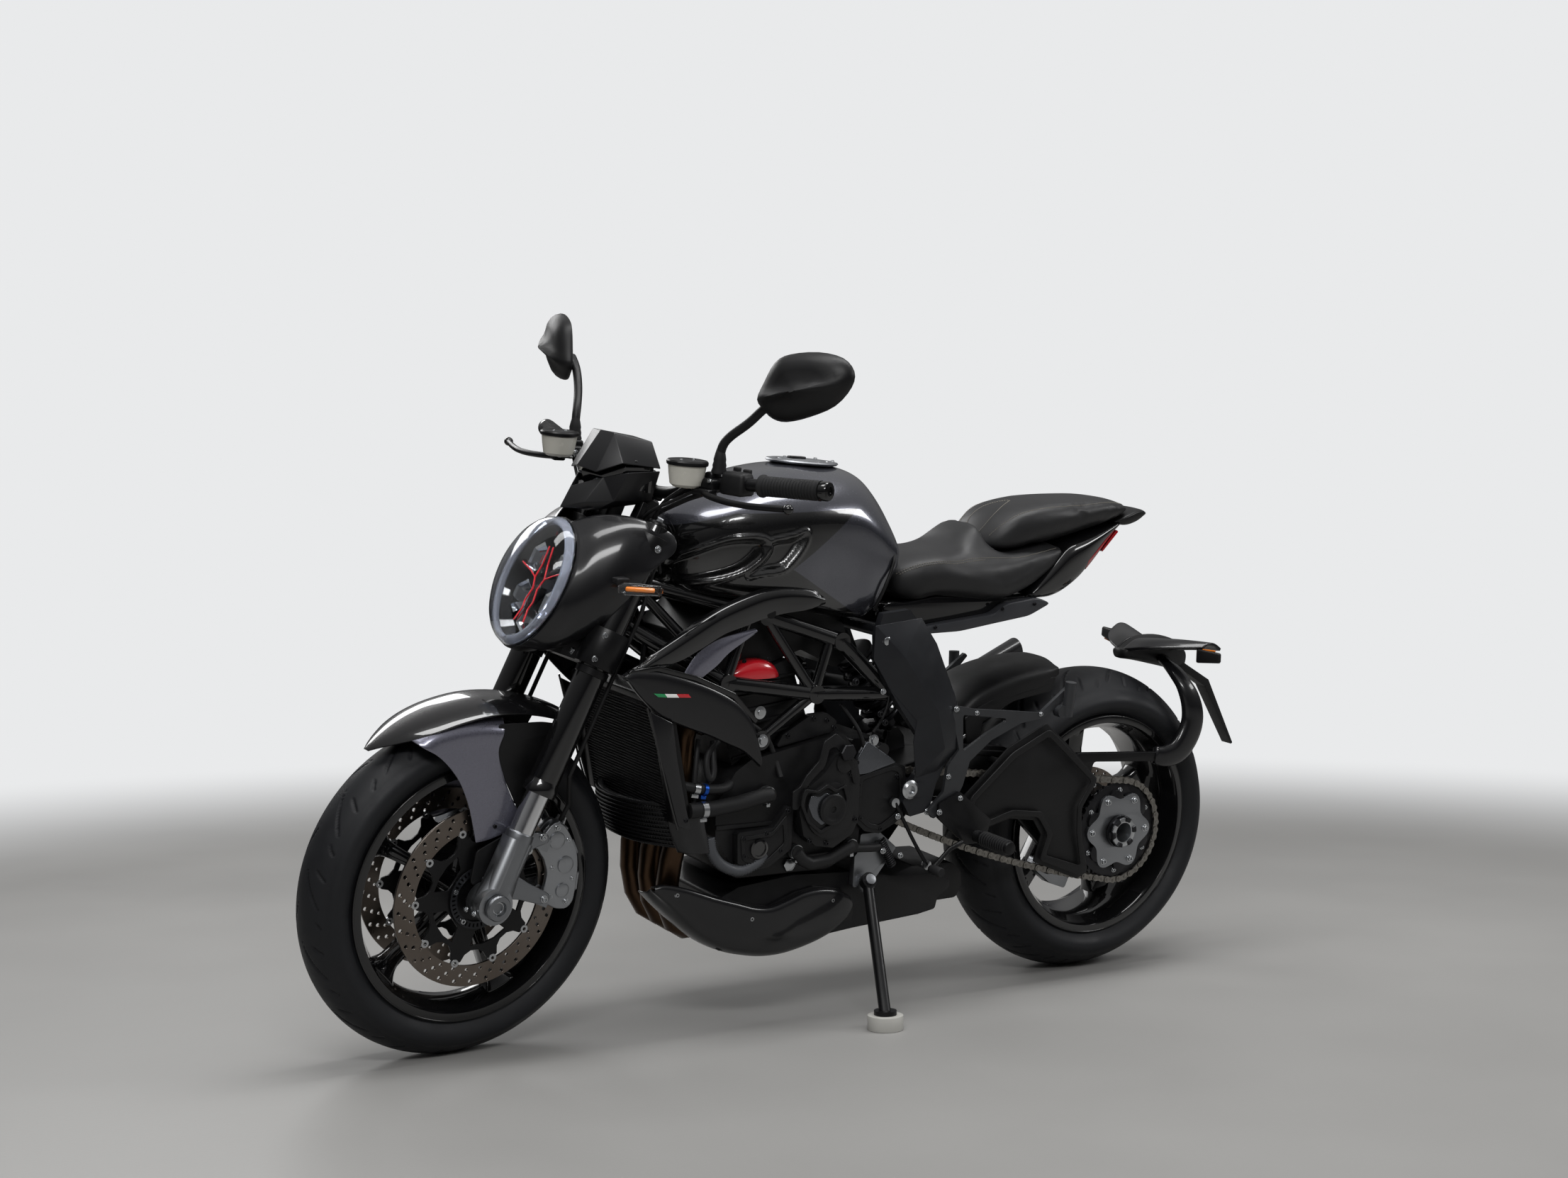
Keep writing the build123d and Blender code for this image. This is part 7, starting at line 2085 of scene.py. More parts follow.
        wires = [
            pipe("loom_main", [(1000, 118, 640), (960, 128, 612), (905, 126, 590), (860, 128, 560),
                               (842, 130, 520), (838, 148, 486)], 5.5, MAT["hose"], UPRIGHT, 8),
            pipe("loom_rear", [(700, 126, 610), (680, 134, 585), (668, 150, 560), (655, 152, 520),
                               (652, 140, 470), (652, 136, 430)], 4.0, MAT["hose"], UPRIGHT, 8),
            pipe("plug_lead",
                 [(930, 112, 640), (948, 128, 652), (952, 130, 676), (940, 120, 704), (930, 96, 720)], 4.5,
                 MAT["hose"], UPRIGHT, 8),
            pipe("sensor_lead",
                 [(640, 152, 560), (620, 158, 590), (606, 150, 640), (600, 140, 700), (610, 120, 740)], 2.6,
                 MAT["matt_black"], UPRIGHT, 8),
        ]
        group("engine_wires", wires, "chassis")
        return {"FINISHED"}


class ROADSTER_OT_cooling(bpy.types.Operator):
    """Hoses and their clamps, the corrugated sleeve, the radiator's core and tanks, and the oil cooler"""

    bl_idname = "roadster.cooling"
    bl_label = "Cooling"

    @staticmethod
    def clamp(name, at, way, radius, material, width=11):
        """A worm-drive clamp round a hose."""
        band = turned(name, [(radius, -width / 2), (radius + 1.2, -width / 2), (radius + 1.2, width / 2),
                             (radius, width / 2)], material, towards(at, way), 32)
        screw = box_piece(name + "_screw", (8, 7, width + 4), material,
                          moved(towards(at, way), (0, -(radius + 4), 0)), 1.2)
        return [band, screw]

    def execute(self, context):
        parts = self.clamp("clamp_main", (1004, 156, 440), (1, 0, 0), 14.4, MAT["steel"])
        parts += self.clamp("clamp_case", (868, 152, 457), (0, 1, 0), 14.4, MAT["steel"])
        parts += self.clamp("clamp_low", (798, 152, 345), (0, 1, 0), 12.4, MAT["steel"])
        parts += self.clamp("clamp_low_rear", (676, 152, 346), (0, 1, 0), 12.4, MAT["steel"])
        parts += self.clamp("clamp_upper", (1018, 150, 478), (1, 0, 0.2), 9.4, MAT["steel"])
        group("hose_clamps", parts, "chassis")
        blue = self.clamp("clamp_blue", (1000, 150, 475), (1, 0, 0.2), 9.8, MAT["blue"], 7)
        group("hose_blue", blue, "chassis")
        hoses = [
            pipe("hose_upper", [(1050, 148, 486), (1029, 150, 480), (988, 150, 474), (960, 148, 473),
                                (940, 138, 476), (926, 118, 484)], 9, MAT["hose"], UPRIGHT, 12),
            pipe("hose_loop", [(972, 124, 556), (978, 138, 530), (980, 148, 500), (990, 150, 490),
                               (996, 146, 510), (992, 138, 534), (970, 128, 552), (950, 118, 560)], 6,
                 MAT["hose"], UPRIGHT, 10),
            pipe("hose_breather",
                 [(1000, 120, 560), (1012, 136, 520), (1018, 142, 470), (1012, 144, 420), (1000, 140, 392)],
                 5, MAT["hose"], UPRIGHT, 10),
            pipe("hose_foot",
                 [(694, 150, 340), (683, 154, 341), (648, 156, 340), (618, 154, 337), (600, 146, 340)], 8,
                 MAT["hose"], UPRIGHT, 10),
        ]
        group("small_hoses", hoses, "chassis")
        line = [(984, 150, 386), (978, 154, 358), (957, 156, 334), (919, 156, 321), (883, 154, 332),
                (866, 150, 346)]
        points, steps = [], 16
        for i, (at, _) in enumerate(along(flow(line, 14))):
            radius = (10.5 if i % 2 else 8.6) * MM
            points += [tuple((at @ Vector((*polar(radius, a), 0))) / MM) for a in turns(steps)]
        sleeve = mesh_piece("corrugated_sleeve", points, grid_faces(len(points) // steps, steps),
                            MAT["carbon_grey"])
        outward(sleeve)
        settle(sleeve, "chassis")
        # radiator: side, top and foot tanks round the core, its stays, and thin slats on the face
        tanks = []
        for s in SIDES:
            a, b = sorted((s * 138, s * 160))
            tanks.append(board(f"radiator_tank_{s}", [(1118, 644), (1082, 655), (1030, 430), (1064, 416)],
                               a, b, MAT["satin_black"], UPRIGHT, 8, 3))
        tanks.append(board("radiator_top", [(1118, 646), (1082, 656), (1080, 640), (1112, 630)], -150, 150,
                           MAT["satin_black"], UPRIGHT, 5, 2.5))
        tanks.append(board("radiator_foot", [(1066, 436), (1032, 445), (1029, 430), (1062, 418)], -150, 150,
                           MAT["satin_black"], UPRIGHT, 5, 2.5))
        core = board("radiator_core", [(1110, 640), (1086, 648), (1037, 436), (1058, 424)], -140, 140,
                     MAT["fins"], UPRIGHT, 4, 1.0)
        stays = [pipe(f"radiator_stay_{s}", [(1083, 54 * s, 731), (1086, 54 * s, 690), (1088, 54 * s, 645)],
                      5, MAT["satin_black"]) for s in SIDES]
        stays += [pipe(f"cooler_stay_{s}", [(966.5, 39 * s, 400), (1010, 39 * s, 400), (1076, 39 * s, 400)],
                       5, MAT["satin_black"]) for s in SIDES]
        group("radiator_block", [core] + stays, "chassis", ["radiator"])
        group("radiator_tanks", tanks, "chassis")
        lean = math.atan2(1112 - 1060, 640 - 420)
        face = moved(UPRIGHT, (1088.5, 0, 530)) @ Matrix.Rotation(lean, 4, "Y")
        slat = template("fin", [(-1.2, -136, -0.45), (2.2, -136, -0.45), (2.2, 136, -0.45),
                                (-1.2, 136, -0.45), (-1.2, -136, 0.45), (2.2, -136, 0.45), (2.2, 136, 0.45),
                                (-1.2, 136, 0.45)], [(3, 2, 1, 0), (4, 5, 6, 7), (0, 1, 5, 4), (1, 2, 6, 5),
                                                     (2, 3, 7, 6), (3, 0, 4, 7)])
        rows = [(moved(face, (0, 0, (i - 17.5) * 5.6)), 1.0) for i in range(36)]
        settle(row_of("radiator_slats", rows, slat, MAT["fins"], 20), "chassis")
        # oil cooler: a curved stack of tubes between two end tanks, on the CAD body's front face
        slats = []

        def swept(y, z, set_back=0.0):
            """The cooler's front face: bowed ahead in the middle and leaning with the radiator."""
            t = abs(y) / 152
            return 1104 + 0.26 * (z - 405) + 7 * math.sin(math.pi * (z - 366) / 82) - 84 * t ** 2.3 - set_back

        for i in range(11):
            z = 370 + i * 7.4
            ys = [152 * k / 14 for k in range(-14, 15)]
            loop = [(swept(y, z), y) for y in ys] + [(swept(y, z, 17), y) for y in reversed(ys)]
            slats.append(flat_plate(f"oil_slat_{i}", [loop], 2.6, MAT["satin_black"],
                                    moved(UPRIGHT, (0, 0, z))))
        backs = []
        for y in [150 * k / 12 for k in range(-12, 13)]:
            backs.append([(swept(y, z, 10), y, z) for z in (366, 386, 406, 426, 446)])
        slats.append(sheet("oil_core", backs, MAT["fins"], 8.0, UPRIGHT, (2, 2), 0.8))
        for s in SIDES:
            rows = []
            for z in (360, 384, 408, 432, 452):
                rows.append([(swept(130, z) + 5, 132 * s, z), (swept(146, z) + 5, 150 * s, z),
                             (swept(152, z) - 12, 158 * s, z), (swept(152, z) - 30, 154 * s, z)])
            slats.append(sheet(f"oil_end_{s}", rows, MAT["shroud"], 5.0, UPRIGHT, (4, 4), 1.4))
        group("oil_cooler_slats", slats, "chassis")
        return {"FINISHED"}


class ROADSTER_OT_exhaust(bpy.types.Operator):
    """Header flanges, the silencer's shield with its screws, and the tailpipes' satin tips"""

    bl_idname = "roadster.exhaust"
    bl_label = "Exhaust details"

    def execute(self, context):
        flanges = []
        for y in (-78, 0, 78):
            flanges.append(turned(f"header_flange_{y}",
                                  [(21.5, -4), (31, -4), (32, -2), (32, 2), (31, 4), (21.5, 4)],
                                  MAT["steel"], towards((977, y, 589.5), (1, 0, -0.22)), 28))
            flanges.append(turned(f"header_collar_{y}", [(21.4, -7), (23.4, -7), (23.4, 7), (21.4, 7)],
                                  MAT["bronze"], towards((1007, y, 392), (0, 0, 1)), 28))
        group("header_flanges", flanges, "chassis")
        # the shield's top and bottom lines, and how far its crown stands out
        rows = []
        for x, top, low, crown in ((1080, 297, 286, 132), (1062, 301, 266, 138), (1030, 295, 236, 144),
                                   (994, 283, 206, 148), (958, 270, 182, 150), (916, 257, 163, 151),
                                   (874, 244, 152, 151), (838, 241, 146, 150), (800, 250, 145, 148),
                                   (764, 260, 149, 145), (724, 262, 157, 142), (690, 256, 168, 140),
                                   (662, 244, 182, 137), (650, 232, 200, 134)):
            high = top - low
            rows.append([(x, crown - 16, top - 2), (x, crown - 4, top), (x, crown, top - high * 0.16),
                         (x, crown - 1, top - high * 0.45), (x, crown - 6, top - high * 0.72),
                         (x, crown - 16, low + 6), (x, crown - 34, low - 4), (x, crown - 60, low - 8)])
        shield = sheet("shield_panel", rows, MAT["shroud"], 2.4, UPRIGHT, (4, 4), 0.8)
        settle(shield, "chassis")
        side_screws("shield_screws", [(1040, 142, 284, 10), (884, 149, 226, 11), (700, 139, 240, 10)], 10,
                    MAT["steel"])
        tips = []
        for start, end in (((380, -134, 500), (84, -134, 640)), ((400, -134, 420), (120, -134, 545)),
                           ((420, -134, 345), (160, -134, 450))):
            way = (Vector(end) - Vector(start)).normalized()
            skin_ring = []
            at = towards(Vector(end), way, Matrix.Identity(4), (0, 1, 0))
            for reach, radius in ((-88, 30.2), (-84, 31.4), (-20, 31.4), (0, 31.4), (0, 25.6), (-30, 25.2),
                                  (-80, 25.2)):
                ring = []
                for angle in turns(36):
                    p = (at @ Vector((*polar(radius * MM, angle), 0))) / MM
                    # the mouth is cut upright, square to the machine
                    ring.append(tuple(p + way * (reach if reach < -15 else (end[0] - p.x) / way.x)))
                skin_ring.append(ring)
            points = [p for ring in skin_ring for p in ring]
            tip = mesh_piece(f"tip_{start[2]}", points, grid_faces(len(skin_ring), 36), MAT["shroud"])
            outward(tip)
            smooth_to(tip, 35)
            tips.append(tip)
        group("tailpipe_tips", tips, "chassis")
        return {"FINISHED"}


class ROADSTER_OT_running_gear(bpy.types.Operator):
    """Shock, swingarm ribs, guards, plate carrier, rear winkers, right covers, pegs and the stand's spring"""

    bl_idname = "roadster.running_gear"
    bl_label = "Running gear"

    @staticmethod
    def spring(name, start, end, radius, wire, coils, material):
        """A coil spring between two points, its wire closed at both ends."""
        way = Vector(end) - Vector(start)
        a_coil = 20  # steps
        steps = int(coils * a_coil)
        path = [(*polar(radius, 2 * math.pi * i / a_coil), way.length * i / steps) for i in range(steps + 1)]
        at = towards(start, way, UPRIGHT, (0, 1, 0))
        return pipe(name, path, wire, material, at, 8, 1)

    def execute(self, context):
        body = [
            turned("shock_body", [(1, 0), (18, 0), (18, 60), (24, 60), (24, 64), (40, 66), (41, 72),
                                  (20, 74), (20, 168), (41, 170), (41, 178), (1, 180)], MAT["dark_steel"],
                   towards((500, 0, 536), (92, 0, 145)), 32),
            turned("shock_reservoir", [(1, 0), (22, 0), (24, 3), (24, 92), (20, 96), (1, 96)],
                   MAT["dark_casting"], towards((560, -66, 600), (1, 0, 0.2)), 32),
        ]
        group("shock_body", body, "chassis")
        settle(self.spring("shock_spring", (512, 0, 556), (588, 0, 676), 33, 5.6, 6.5, MAT["dark_steel"]),
               "chassis", ["rear_shock"])
        eyes = [boss(f"shock_eye_{n}", x, -14, z, [(7, 0), (18, 0), (18, 28), (7, 28)], MAT["dark_casting"],
                     28) for n, x, z in (("low", 500, 520), ("high", 626, 748))]
        rods = [
            pipe("shock_rod", [(500, 0, 520), (504, 0, 536), (510, 0, 546)], 12, MAT["dark_casting"],
                 UPRIGHT, 12),
            pipe("shock_top", [(598, 0, 692), (612, 0, 722), (626, 0, 748)], 12, MAT["dark_casting"],
                 UPRIGHT, 12),
        ]
        group("shock_ends", eyes + rods, "chassis")
        # swingarm: raised edge ribs, axle clamp screws and the adjuster's eccentric
        ribs = [
            board("arm_rib_top", [(548, 472), (400, 507), (302, 497), (128, 436), (74, 392), (80, 386),
                                  (132, 427), (304, 487), (400, 497), (548, 462)], 118, 122.5,
                  MAT["satin_black"], UPRIGHT, 4, 1.6),
            board("arm_rib_low", [(548, 428), (384, 410), (256, 370), (202, 322), (120, 238), (126, 234),
                                  (206, 314), (258, 360), (386, 400), (548, 418)], 118, 122.5,
                  MAT["satin_black"], UPRIGHT, 4, 1.6),
        ]
        hub_z = HUB_HEIGHT / MM
        ribs.append(boss("hub_eccentric", 0, 119, hub_z,
                         [(31, 0), (66, 0), (67, 1.5), (67, 4), (62, 6), (44, 6), (42, 3), (31, 3)],
                         MAT["dark_casting"], 64))
        group("arm_ribs", ribs, "chassis")
        side_screws("arm_screws", [(92, 119, 372, 14), (112, 119, 262, 14), (60, 119, 412, 14),
                                   (330, 131, 482, 12), (240, 131, 418, 12)], 12, MAT["steel"])
        guard = [(410, 382), (405, 418), (308, 502), (219, 544), (166, 502), (84, 432), (120, 378),
                 (116, 326), (92, 246), (110, 236), (220, 279), (204, 330), (231, 367), (298, 375),
                 (364, 358)]
        settle(board("guard_rib", guard, 156.5, 160, MAT["matt_black"], UPRIGHT, 9, 1.4,
                     [rounded([(398, 388), (394, 412), (302, 490), (220, 529), (175, 493), (100, 431),
                               (132, 380), (128, 326), (112, 258), (205, 288), (190, 331), (222, 378),
                               (298, 387), (358, 370)], 8)]), "chassis")
        # hugger: an arched skin over the tyre with rolled edges and a turned-up tail
        rows = []
        for x, z, half, drop in ((372, 576, 74, 52), (343, 604, 80, 46), (300, 626, 83, 42),
                                 (250, 642, 85, 40), (200, 651, 85, 38), (166, 655, 82, 30),
                                 (140, 656, 74, 20)):
            row = [(x - drop * 0.25, half, z - drop), (x - drop * 0.1, half + 1.5, z - drop * 0.4),
                   (x, half - 8, z - 4), (x, half * 0.5, z + 5), (x, 0, z + 7)]
            rows.append(row + [(a, -b, c) for a, b, c in reversed(row[:-1])])
        arch = sheet("hugger_skin", rows, MAT["matt_black"], 3.0, UPRIGHT, (6, 5), 1.0)
        cheeks = [board(f"hugger_cheek_{s}", [(374, 560), (343, 580), (259, 612), (172, 630), (148, 634),
                                              (160, 604), (254, 588), (330, 552), (338, 498), (364, 494)],
                        min(s * 82, s * 85.6), max(s * 82, s * 85.6), MAT["matt_black"], UPRIGHT, 10, 1.2)
                  for s in SIDES]
        lug = [boss("hugger_lug", 352, 84, 500, [(1, 0), (8, 0), (8, 19.5), (1, 19.5)], MAT["matt_black"],
                    20)]
        group("hugger", [arch] + cheeks + lug, "chassis", ["rear_hugger"])
        # frame plates: the broad facets over the flat casting
        facets = facet_shell("plate_facets", [(664, 170.5, 764), (560, 170.5, 776), (520, 170.5, 726),
                                              (470, 170.5, 628), (444, 170.5, 560), (450, 170.5, 520),
                                              (500, 170.5, 480), (548, 170.5, 470), (560, 170.5, 540),
                                              (556, 170.5, 580), (620, 170.5, 640), (664, 170.5, 700),
                                              (604, 188, 704), (524, 194, 600), (498, 189, 528)],
                             [(0, 1, 12), (1, 2, 12), (2, 3, 13, 12), (3, 4, 13), (4, 5, 14, 13),
                              (5, 6, 14), (6, 7, 14), (7, 8, 14), (8, 9, 13, 14), (9, 10, 12, 13),
                              (10, 11, 12), (11, 0, 12)], MAT["dark_casting"], 3.0, 1.2)
        settle(facets, "chassis")
        # plate carrier's winged hood and the rear lamps
        wings = []
        for s in SIDES:
            rows = []
            for y, front, rear, z, arch in ((8, -92, -206, 676, 16), (46, -104, -216, 684, 13),
                                            (84, -132, -230, 690, 10), (118, -168, -240, 694, 7),
                                            (140, -196, -244, 697, 4)):
                rows.append([(front, y * s, z - 10), (front - (front - rear) * 0.3, y * s, z + arch - 6),
                             (front - (front - rear) * 0.65, y * s, z + arch - 8), (rear, y * s, z - 14)])
            wings.append(sheet(f"plate_wing_{s}", rows, MAT["shroud"], 7.0, UPRIGHT, (5, 5), 1.6))
        wings.append(skin("plate_spine", across_x([
            (-90, [(0, 668), (16, 667), (20, 660), (14, 650), (0, 648)]),
            (-130, [(0, 690), (20, 687), (26, 672), (20, 650), (0, 642)]),
            (-190, [(0, 695), (22, 690), (28, 668), (22, 640), (0, 630)]),
            (-240, [(0, 682), (18, 678), (24, 660), (18, 632), (0, 620)]),
            (-268, [(0, 660), (10, 657), (14, 645), (10, 626), (0, 620)]),
        ]), MAT["matt_black"], UPRIGHT, (5, 5)))
        arm_line = [(-108, 112, 462), (-136, 115, 459), (-168, 116, 468), (-192, 116, 496),
                    (-204, 115, 530), (-200, 112, 566), (-190, 100, 600), (-186, 70, 628), (-190, 26, 648)]
        rings = []
        for at, t in along(flow(arm_line, 5)):
            wide = (18 + 10 * math.sin(math.pi * min(1, t * 1.3))) * MM
            deep = (9 + 5 * math.sin(math.pi * t)) * MM
            ring = []
            for a in turns(16):
                across, thick = squircle(a, 0.8)
                q = at @ Vector((wide * across, deep * thick, 0))
                ring.append(tuple(v / MM for v in q))
            rings.append(ring)
        wings.append(skin("plate_arm", rings, MAT["shroud"], UPRIGHT, (1, 1)))
        wings.append(board("plate_blade", [(118, 402), (118, 468), (106, 480), (-116, 469), (-136, 458),
                                           (-116, 449), (60, 459), (74, 402)], 105.5, 117.5,
                           MAT["satin_black"], UPRIGHT, 8, 2))
        wings.append(board("plate_back",
                           [(-244, 644), (-340, 594), (-428, 450), (-424, 447), (-330, 580), (-240, 630)],
                           -15, 15, MAT["matt_black"], UPRIGHT, 1, 1.2))
        group("plate_hood", wings, "chassis", ["plate_carrier"])
        lamps, tails = [], []
        for s in SIDES:
            at = towards((-196, s * 156, 672), (-0.25, s, 0.05), UPRIGHT, (0, 0, 1))
            lamps.append(box_piece(f"rear_winker_{s}", (13, 30, 56), MAT["matt_black"], at, 4, (0.6, 0.7)))
            tails.append(box_piece(f"rear_winker_core_{s}", (5, 4, 30), MAT["amber"],
                                   moved(at, (0, s * 13.5, 0)), 1, (0.7, 0.8)))
        group("rear_winker_shells", lamps, "chassis")
        group("rear_winker_cores", tails, "chassis", ["rear_indicators"])
        # the right side's clutch and pump covers: raised rings, a cap each and their screws
        rings = []
        for x, z, face, reach in ((735, 445, 190, 92), (860, 400, 176, 44)):
            rings.append(boss(f"right_cover_{x}", x, -face, z, [(reach * 0.56, -1), (reach * 0.58, 3),
                                                                (reach * 0.74, 3.6), (reach * 0.78, -1)],
                              MAT["engine"], 60, -1))
            rings.append(boss(f"right_cap_{x}", x, -face, z,
                              [(1, 5), (reach * 0.2, 5), (reach * 0.24, 3.6), (reach * 0.26, -1)],
                              MAT["dark_steel"], 36, -1))
            ring = circle(reach * 0.89, 9 if reach > 60 else 5, (x, z))
            side_screws(f"right_cover_screws_{x}", [(a, -face, b) for a, b in ring], 9, MAT["steel"])
        group("right_covers", rings, "chassis")
        # the red cover seen through the trellis, on its ribbed black foot
        rows = []
        for x, high, out in ((944, 672, 118), (936, 682, 124), (918, 692, 129), (894, 698, 131),
                             (870, 697, 130), (852, 690, 126), (842, 680, 121), (838, 671, 117)):
            rows.append([(x, 100, high + 1), (x, out - 8, high), (x, out, high - (high - 668) * 0.3),
                         (x, out + 2, high - (high - 668) * 0.7), (x, out + 2, 667)])
        settle(sheet("red_dome", rows, MAT["red"], 2.5, UPRIGHT, (5, 5), 1.0), "chassis",
               ["cam_cover"])
        foot = [board(f"dome_foot_{i}",
                      [(950, 656 + 5 * i), (950, 659 + 5 * i), (838, 663 + 5 * i), (838, 660 + 5 * i)], 104,
                      128 - i, MAT["matt_black"], UPRIGHT, 1, 0.8) for i in range(2)]
        group("dome_foot", foot, "chassis")
        # footrests: knurled rubber on the rider's pegs, gear rod with its joints, toe rubber
        pegs, knobs = [], []
        for s in SIDES:
            pegs.append(turned(f"peg_{s}", [(1, 0), (13, 0), (13.6, 2), (13.6, 84), (12, 88), (1, 90)],
                               MAT["satin_black"], towards((405, s * 202, 350), (0, s, 0)), 24))
            for i in range(11):
                knobs.append((towards((405, s * (210 + i * 7), 350), (0, s, 0)), 1.0))
        ring_points = [(*polar(radius, a), height) for a in turns(16)
                       for radius, height in ((13.4, 0), (15.2, 1), (15.2, 3), (13.4, 4))]
        settle(row_of("peg_rings", knobs,
                      template("peg_ring", ring_points, grid_faces(16, 4, wrap_rows=True)), MAT["grip"],
                      50), "chassis")
        group("pegs", pegs, "chassis")
        gear = [
            pipe("gear_rod", [(512, 176, 300), (540, 172, 340), (570, 168, 392), (588, 164, 424)], 3.6,
                 MAT["satin_black"], UPRIGHT, 10),
            boss("gear_joint_low", 512, 168, 300, [(1, 0), (8, 0), (9, 3), (9, 10), (1, 11)], MAT["steel"],
                 20),
            boss("gear_joint_high", 588, 156, 424, [(1, 0), (8, 0), (9, 3), (9, 10), (1, 11)], MAT["steel"],
                 20),
        ]
        group("gear_linkage", gear, "chassis")
        toe = turned("toe_rubber", [(1, 0), (8.5, 0), (9.4, 2), (9.4, 26), (8, 29), (1, 29)], MAT["grip"],
                     towards((512, 194, 296), (0, 1, 0)), 24)
        settle(toe, "chassis")
        side_screws("bracket_screws", [(500, 187, 404, 12), (452, 187, 428, 11), (478, 179, 470, 11),
                                       (262, 179, 580, 10), (470, 179, 600, 12), (420, 179, 590, 10)], 11,
                    MAT["steel"])
        side_screws("bracket_screws_right",
                    [(500, -187, 404, 12), (478, -179, 470, 11), (470, -179, 600, 12)], 11, MAT["steel"])
        side_screws("frame_plate_screws", [(614, 171, 335, 12), (573, 171, 323, 12), (585, 171, 399, 12),
                                           (472, 171, 480, 14), (516, 171, 403, 14), (638, 171, 640, 12)],
                    12, MAT["steel"])
        # the stand's return spring
        settle(self.spring("stand_spring", (606, 150, 350), (574, 150, 298), 7.5, 2.0, 14,
                           MAT["dark_steel"]), "chassis")
        return {"FINISHED"}


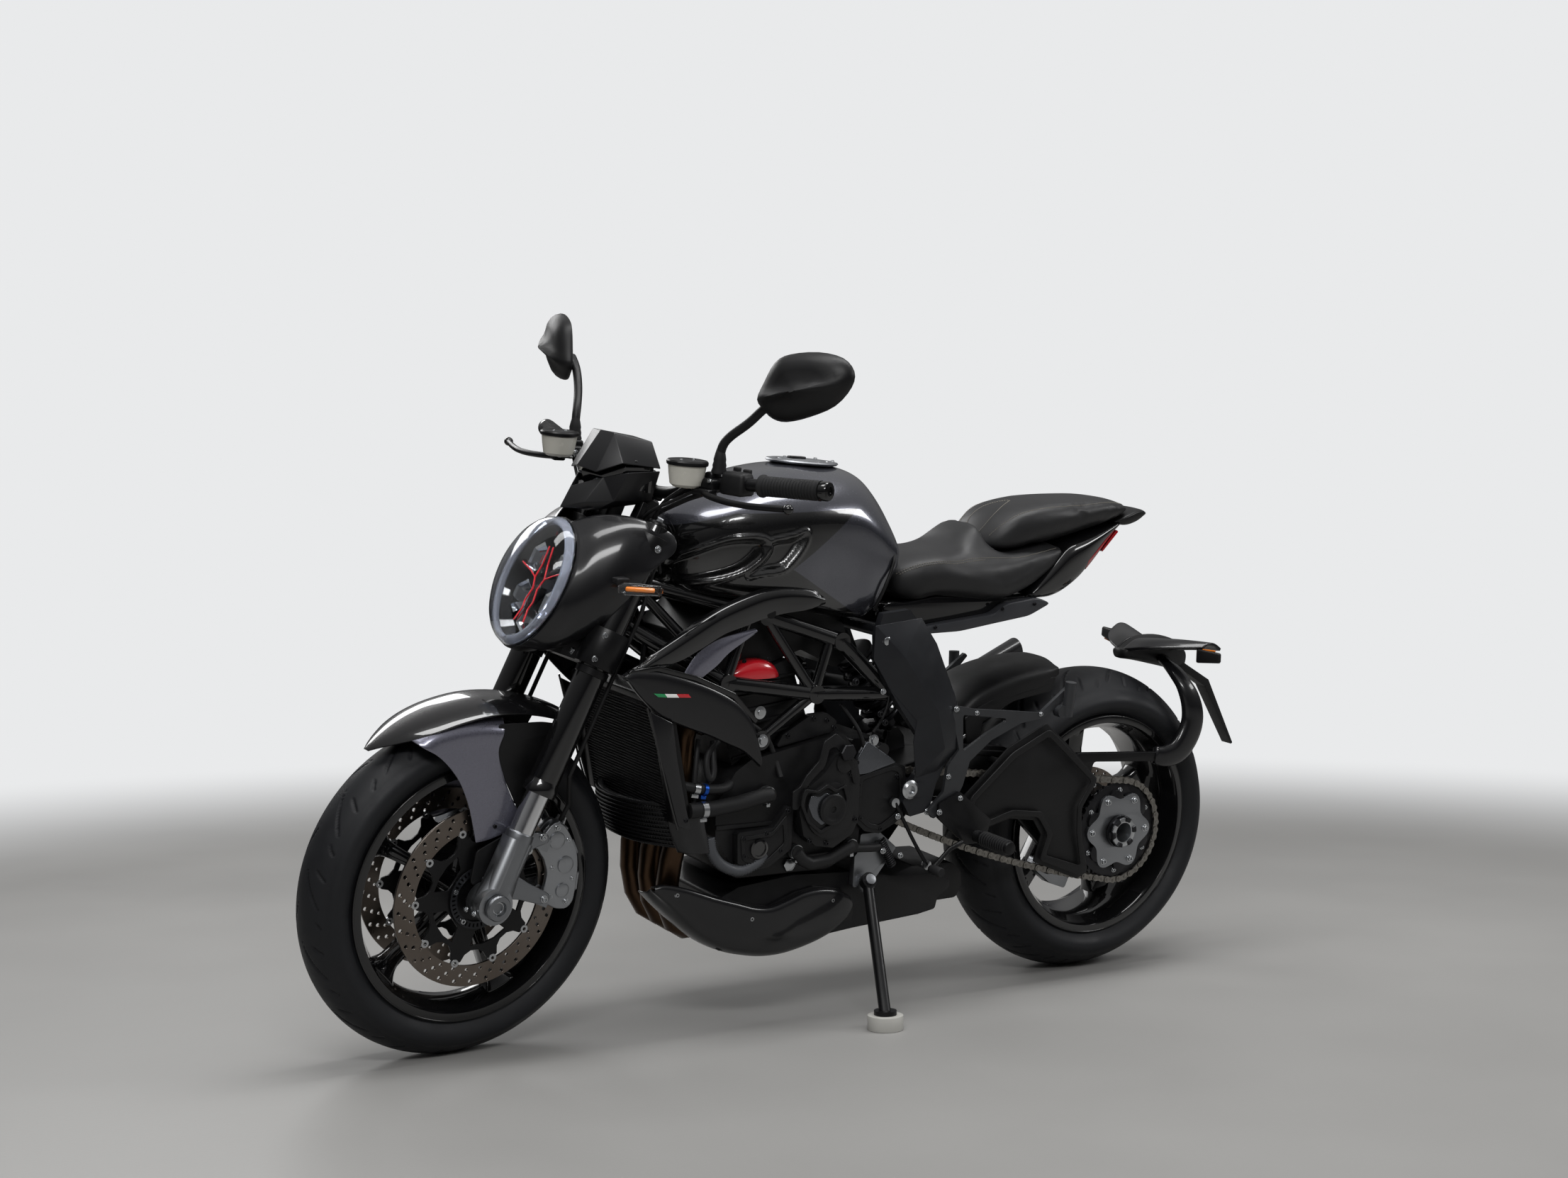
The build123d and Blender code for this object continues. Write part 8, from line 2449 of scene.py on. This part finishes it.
# ---------------------------------------------------------------- studio
class ROADSTER_OT_studio(bpy.types.Operator):
    """Sets the floor, the backdrop, the lamps and the camera"""

    bl_idname = "roadster.studio"
    bl_label = "Studio"

    def execute(self, context):
        settings = context.scene.roadster
        half = 9000
        floor = mesh_piece("studio_floor",
                           [(-half, -half, 0), (half, -half, 0), (half, half, 0), (-half, half, 0)],
                           [(0, 1, 2, 3)], self.floor_material(settings), Matrix.Identity(4), smooth=False)
        self.world(settings)
        # name, place, aim, size (m), power (W)
        for name, place, aim, size, power in (
            ("key_softbox", (2.6, 3.6, 3.6), (0.2, 0.0, 0.5), (2.6, 0.7), 105),
            ("overhead_strip", (0.0, 0.4, 3.8), (0.0, 0.0, 0.6), (4.2, 0.8), 110),
            ("rear_softbox", (-3.6, 2.2, 2.6), (-0.4, 0.0, 0.5), (1.6, 0.8), 45),
            ("far_side_fill", (0.5, -4.0, 3.0), (0.0, 0.0, 0.6), (3.0, 1.0), 55)
        ):
            lamp = bpy.data.lights.new(name, "AREA")
            lamp.shape = "RECTANGLE"
            lamp.size, lamp.size_y = size
            lamp.energy = power
            holder = linked(name, lamp)
            holder.location = place
            holder.rotation_euler = (Vector(aim) - Vector(place)).to_track_quat("-Z", "Y").to_euler()
        camera = bpy.data.cameras.new("camera")
        camera.lens = settings.lens_mm
        camera.sensor_width = 36
        camera.clip_end = 100
        holder = linked("camera", camera)
        # the viewpoint: ahead and to the left of the machine, a little below the bars
        holder.matrix_world = self.viewpoint(Vector((2.9409, 3.4417, 0.5886)) + REAR_HUB, -122.83, -1.41,
                                             -0.349)
        context.scene.camera = holder
        context.scene.view_settings.view_transform = "Standard"
        return {"FINISHED"}

    @staticmethod
    def viewpoint(place, yaw, pitch, roll):
        """Camera matrix from its place and its angles in degrees."""
        yaw, pitch, roll = (math.radians(a) for a in (yaw, pitch, roll))
        ahead = Vector((math.cos(yaw) * math.cos(pitch), math.sin(yaw) * math.cos(pitch), math.sin(pitch)))
        right = ahead.cross(Vector((0, 0, 1))).normalized()
        up = right.cross(ahead)
        level_right = right * math.cos(roll) + up * math.sin(roll)
        level_up = up * math.cos(roll) - right * math.sin(roll)
        turn = Matrix((level_right, level_up, -ahead)).transposed()
        return Matrix.Translation(place) @ turn.to_4x4()

    @staticmethod
    def floor_material(settings):
        """Sealed concrete that fades into the backdrop for the camera; other rays see it plain."""
        material = finish("sealed_floor", settings.floor_hex, 0.5, cloud=(1.5, 0.05), grain=(8.0, 0.2))
        tree = material.node_tree
        shader = part_of(material, "ShaderNodeBsdfPrincipled")
        out = part_of(material, "ShaderNodeOutputMaterial")
        place = part_of(material, "ShaderNodeTexCoord")
        near_edge, far_edge = 2.6, 5.0  # metres from the middle
        away = add(tree, "ShaderNodeVectorMath", {0: place.outputs["Object"]}, operation="LENGTH")
        far = add(tree, "ShaderNodeMapRange",
                  {"Value": away.outputs["Value"], "From Min": near_edge, "From Max": far_edge},
                  interpolation_type="SMOOTHSTEP")
        glow = add(tree, "ShaderNodeEmission", {"Color": linear(settings.wall_hex), "Strength": 1.0})
        fade = add(tree, "ShaderNodeMixShader",
                   {"Fac": far.outputs["Result"], 1: shader.outputs["BSDF"], 2: glow.outputs["Emission"]})
        rays = add(tree, "ShaderNodeLightPath")
        seen = add(tree, "ShaderNodeMixShader", {"Fac": rays.outputs["Is Camera Ray"],
                                                 1: shader.outputs["BSDF"], 2: fade.outputs["Shader"]})
        tree.links.new(seen.outputs["Shader"], out.inputs["Surface"])
        return material

    @staticmethod
    def world(settings):
        """A pale room: bright above, dimmer at the level of the eye, so lacquer shows the ceiling."""
        world = bpy.data.worlds.new("studio_room")
        bpy.context.scene.world = world
        world.use_nodes = True
        tree = world.node_tree
        tree.nodes.clear()
        place = add(tree, "ShaderNodeTexCoord")
        split = add(tree, "ShaderNodeSeparateXYZ", {"Vector": place.outputs["Generated"]})
        ramp = add(tree, "ShaderNodeValToRGB", {"Fac": split.outputs["Z"]})
        ramp.color_ramp.elements[0].position = 0.0
        ramp.color_ramp.elements[0].color = (0.05, 0.05, 0.055, 1)
        ramp.color_ramp.elements[1].position = 0.75
        ramp.color_ramp.elements[1].color = (0.95, 0.95, 0.95, 1)
        light = add(tree, "ShaderNodeBackground", {"Color": ramp.outputs["Color"], "Strength": 0.42})
        seen = add(tree, "ShaderNodeBackground", {"Color": linear(settings.wall_hex), "Strength": 1.0})
        path = add(tree, "ShaderNodeLightPath")
        mix = add(tree, "ShaderNodeMixShader", {"Fac": path.outputs["Is Camera Ray"],
                                                1: light.outputs["Background"],
                                                2: seen.outputs["Background"]})
        add(tree, "ShaderNodeOutputWorld", {"Surface": mix.outputs["Shader"]})


class ROADSTER_PT_panel(bpy.types.Panel):
    """Lists the steps that dress the machine"""

    bl_idname = "ROADSTER_PT_panel"
    bl_label = "Roadster"
    bl_space_type = "VIEW_3D"
    bl_region_type = "UI"
    bl_category = "Roadster"

    def draw(self, context):
        for name in RoadsterSettings.__annotations__:
            self.layout.prop(context.scene.roadster, name)
        for step in STEPS:
            self.layout.operator(step.bl_idname)


STEPS = (ROADSTER_OT_finishes, ROADSTER_OT_tyres, ROADSTER_OT_front_brake, ROADSTER_OT_rims,
         ROADSTER_OT_final_drive, ROADSTER_OT_front_fender, ROADSTER_OT_fork, ROADSTER_OT_headlight,
         ROADSTER_OT_flyscreen, ROADSTER_OT_controls, ROADSTER_OT_tank, ROADSTER_OT_fairings,
         ROADSTER_OT_seats, ROADSTER_OT_tail, ROADSTER_OT_engine, ROADSTER_OT_cooling, ROADSTER_OT_exhaust,
         ROADSTER_OT_running_gear, ROADSTER_OT_studio)
CLASSES = (RoadsterSettings, *STEPS, ROADSTER_PT_panel)


def register():
    for cls in CLASSES:
        bpy.utils.register_class(cls)
    bpy.types.Scene.roadster = bpy.props.PointerProperty(type=RoadsterSettings)


def unregister():
    del bpy.types.Scene.roadster
    for cls in reversed(CLASSES):
        bpy.utils.unregister_class(cls)


def main():
    register()
    for step in STEPS:
        family, name = step.bl_idname.split(".")
        if getattr(getattr(bpy.ops, family), name)() != {"FINISHED"}:
            raise RuntimeError(f"{step.bl_label} did not finish")


if __name__ == "__main__":
    main()
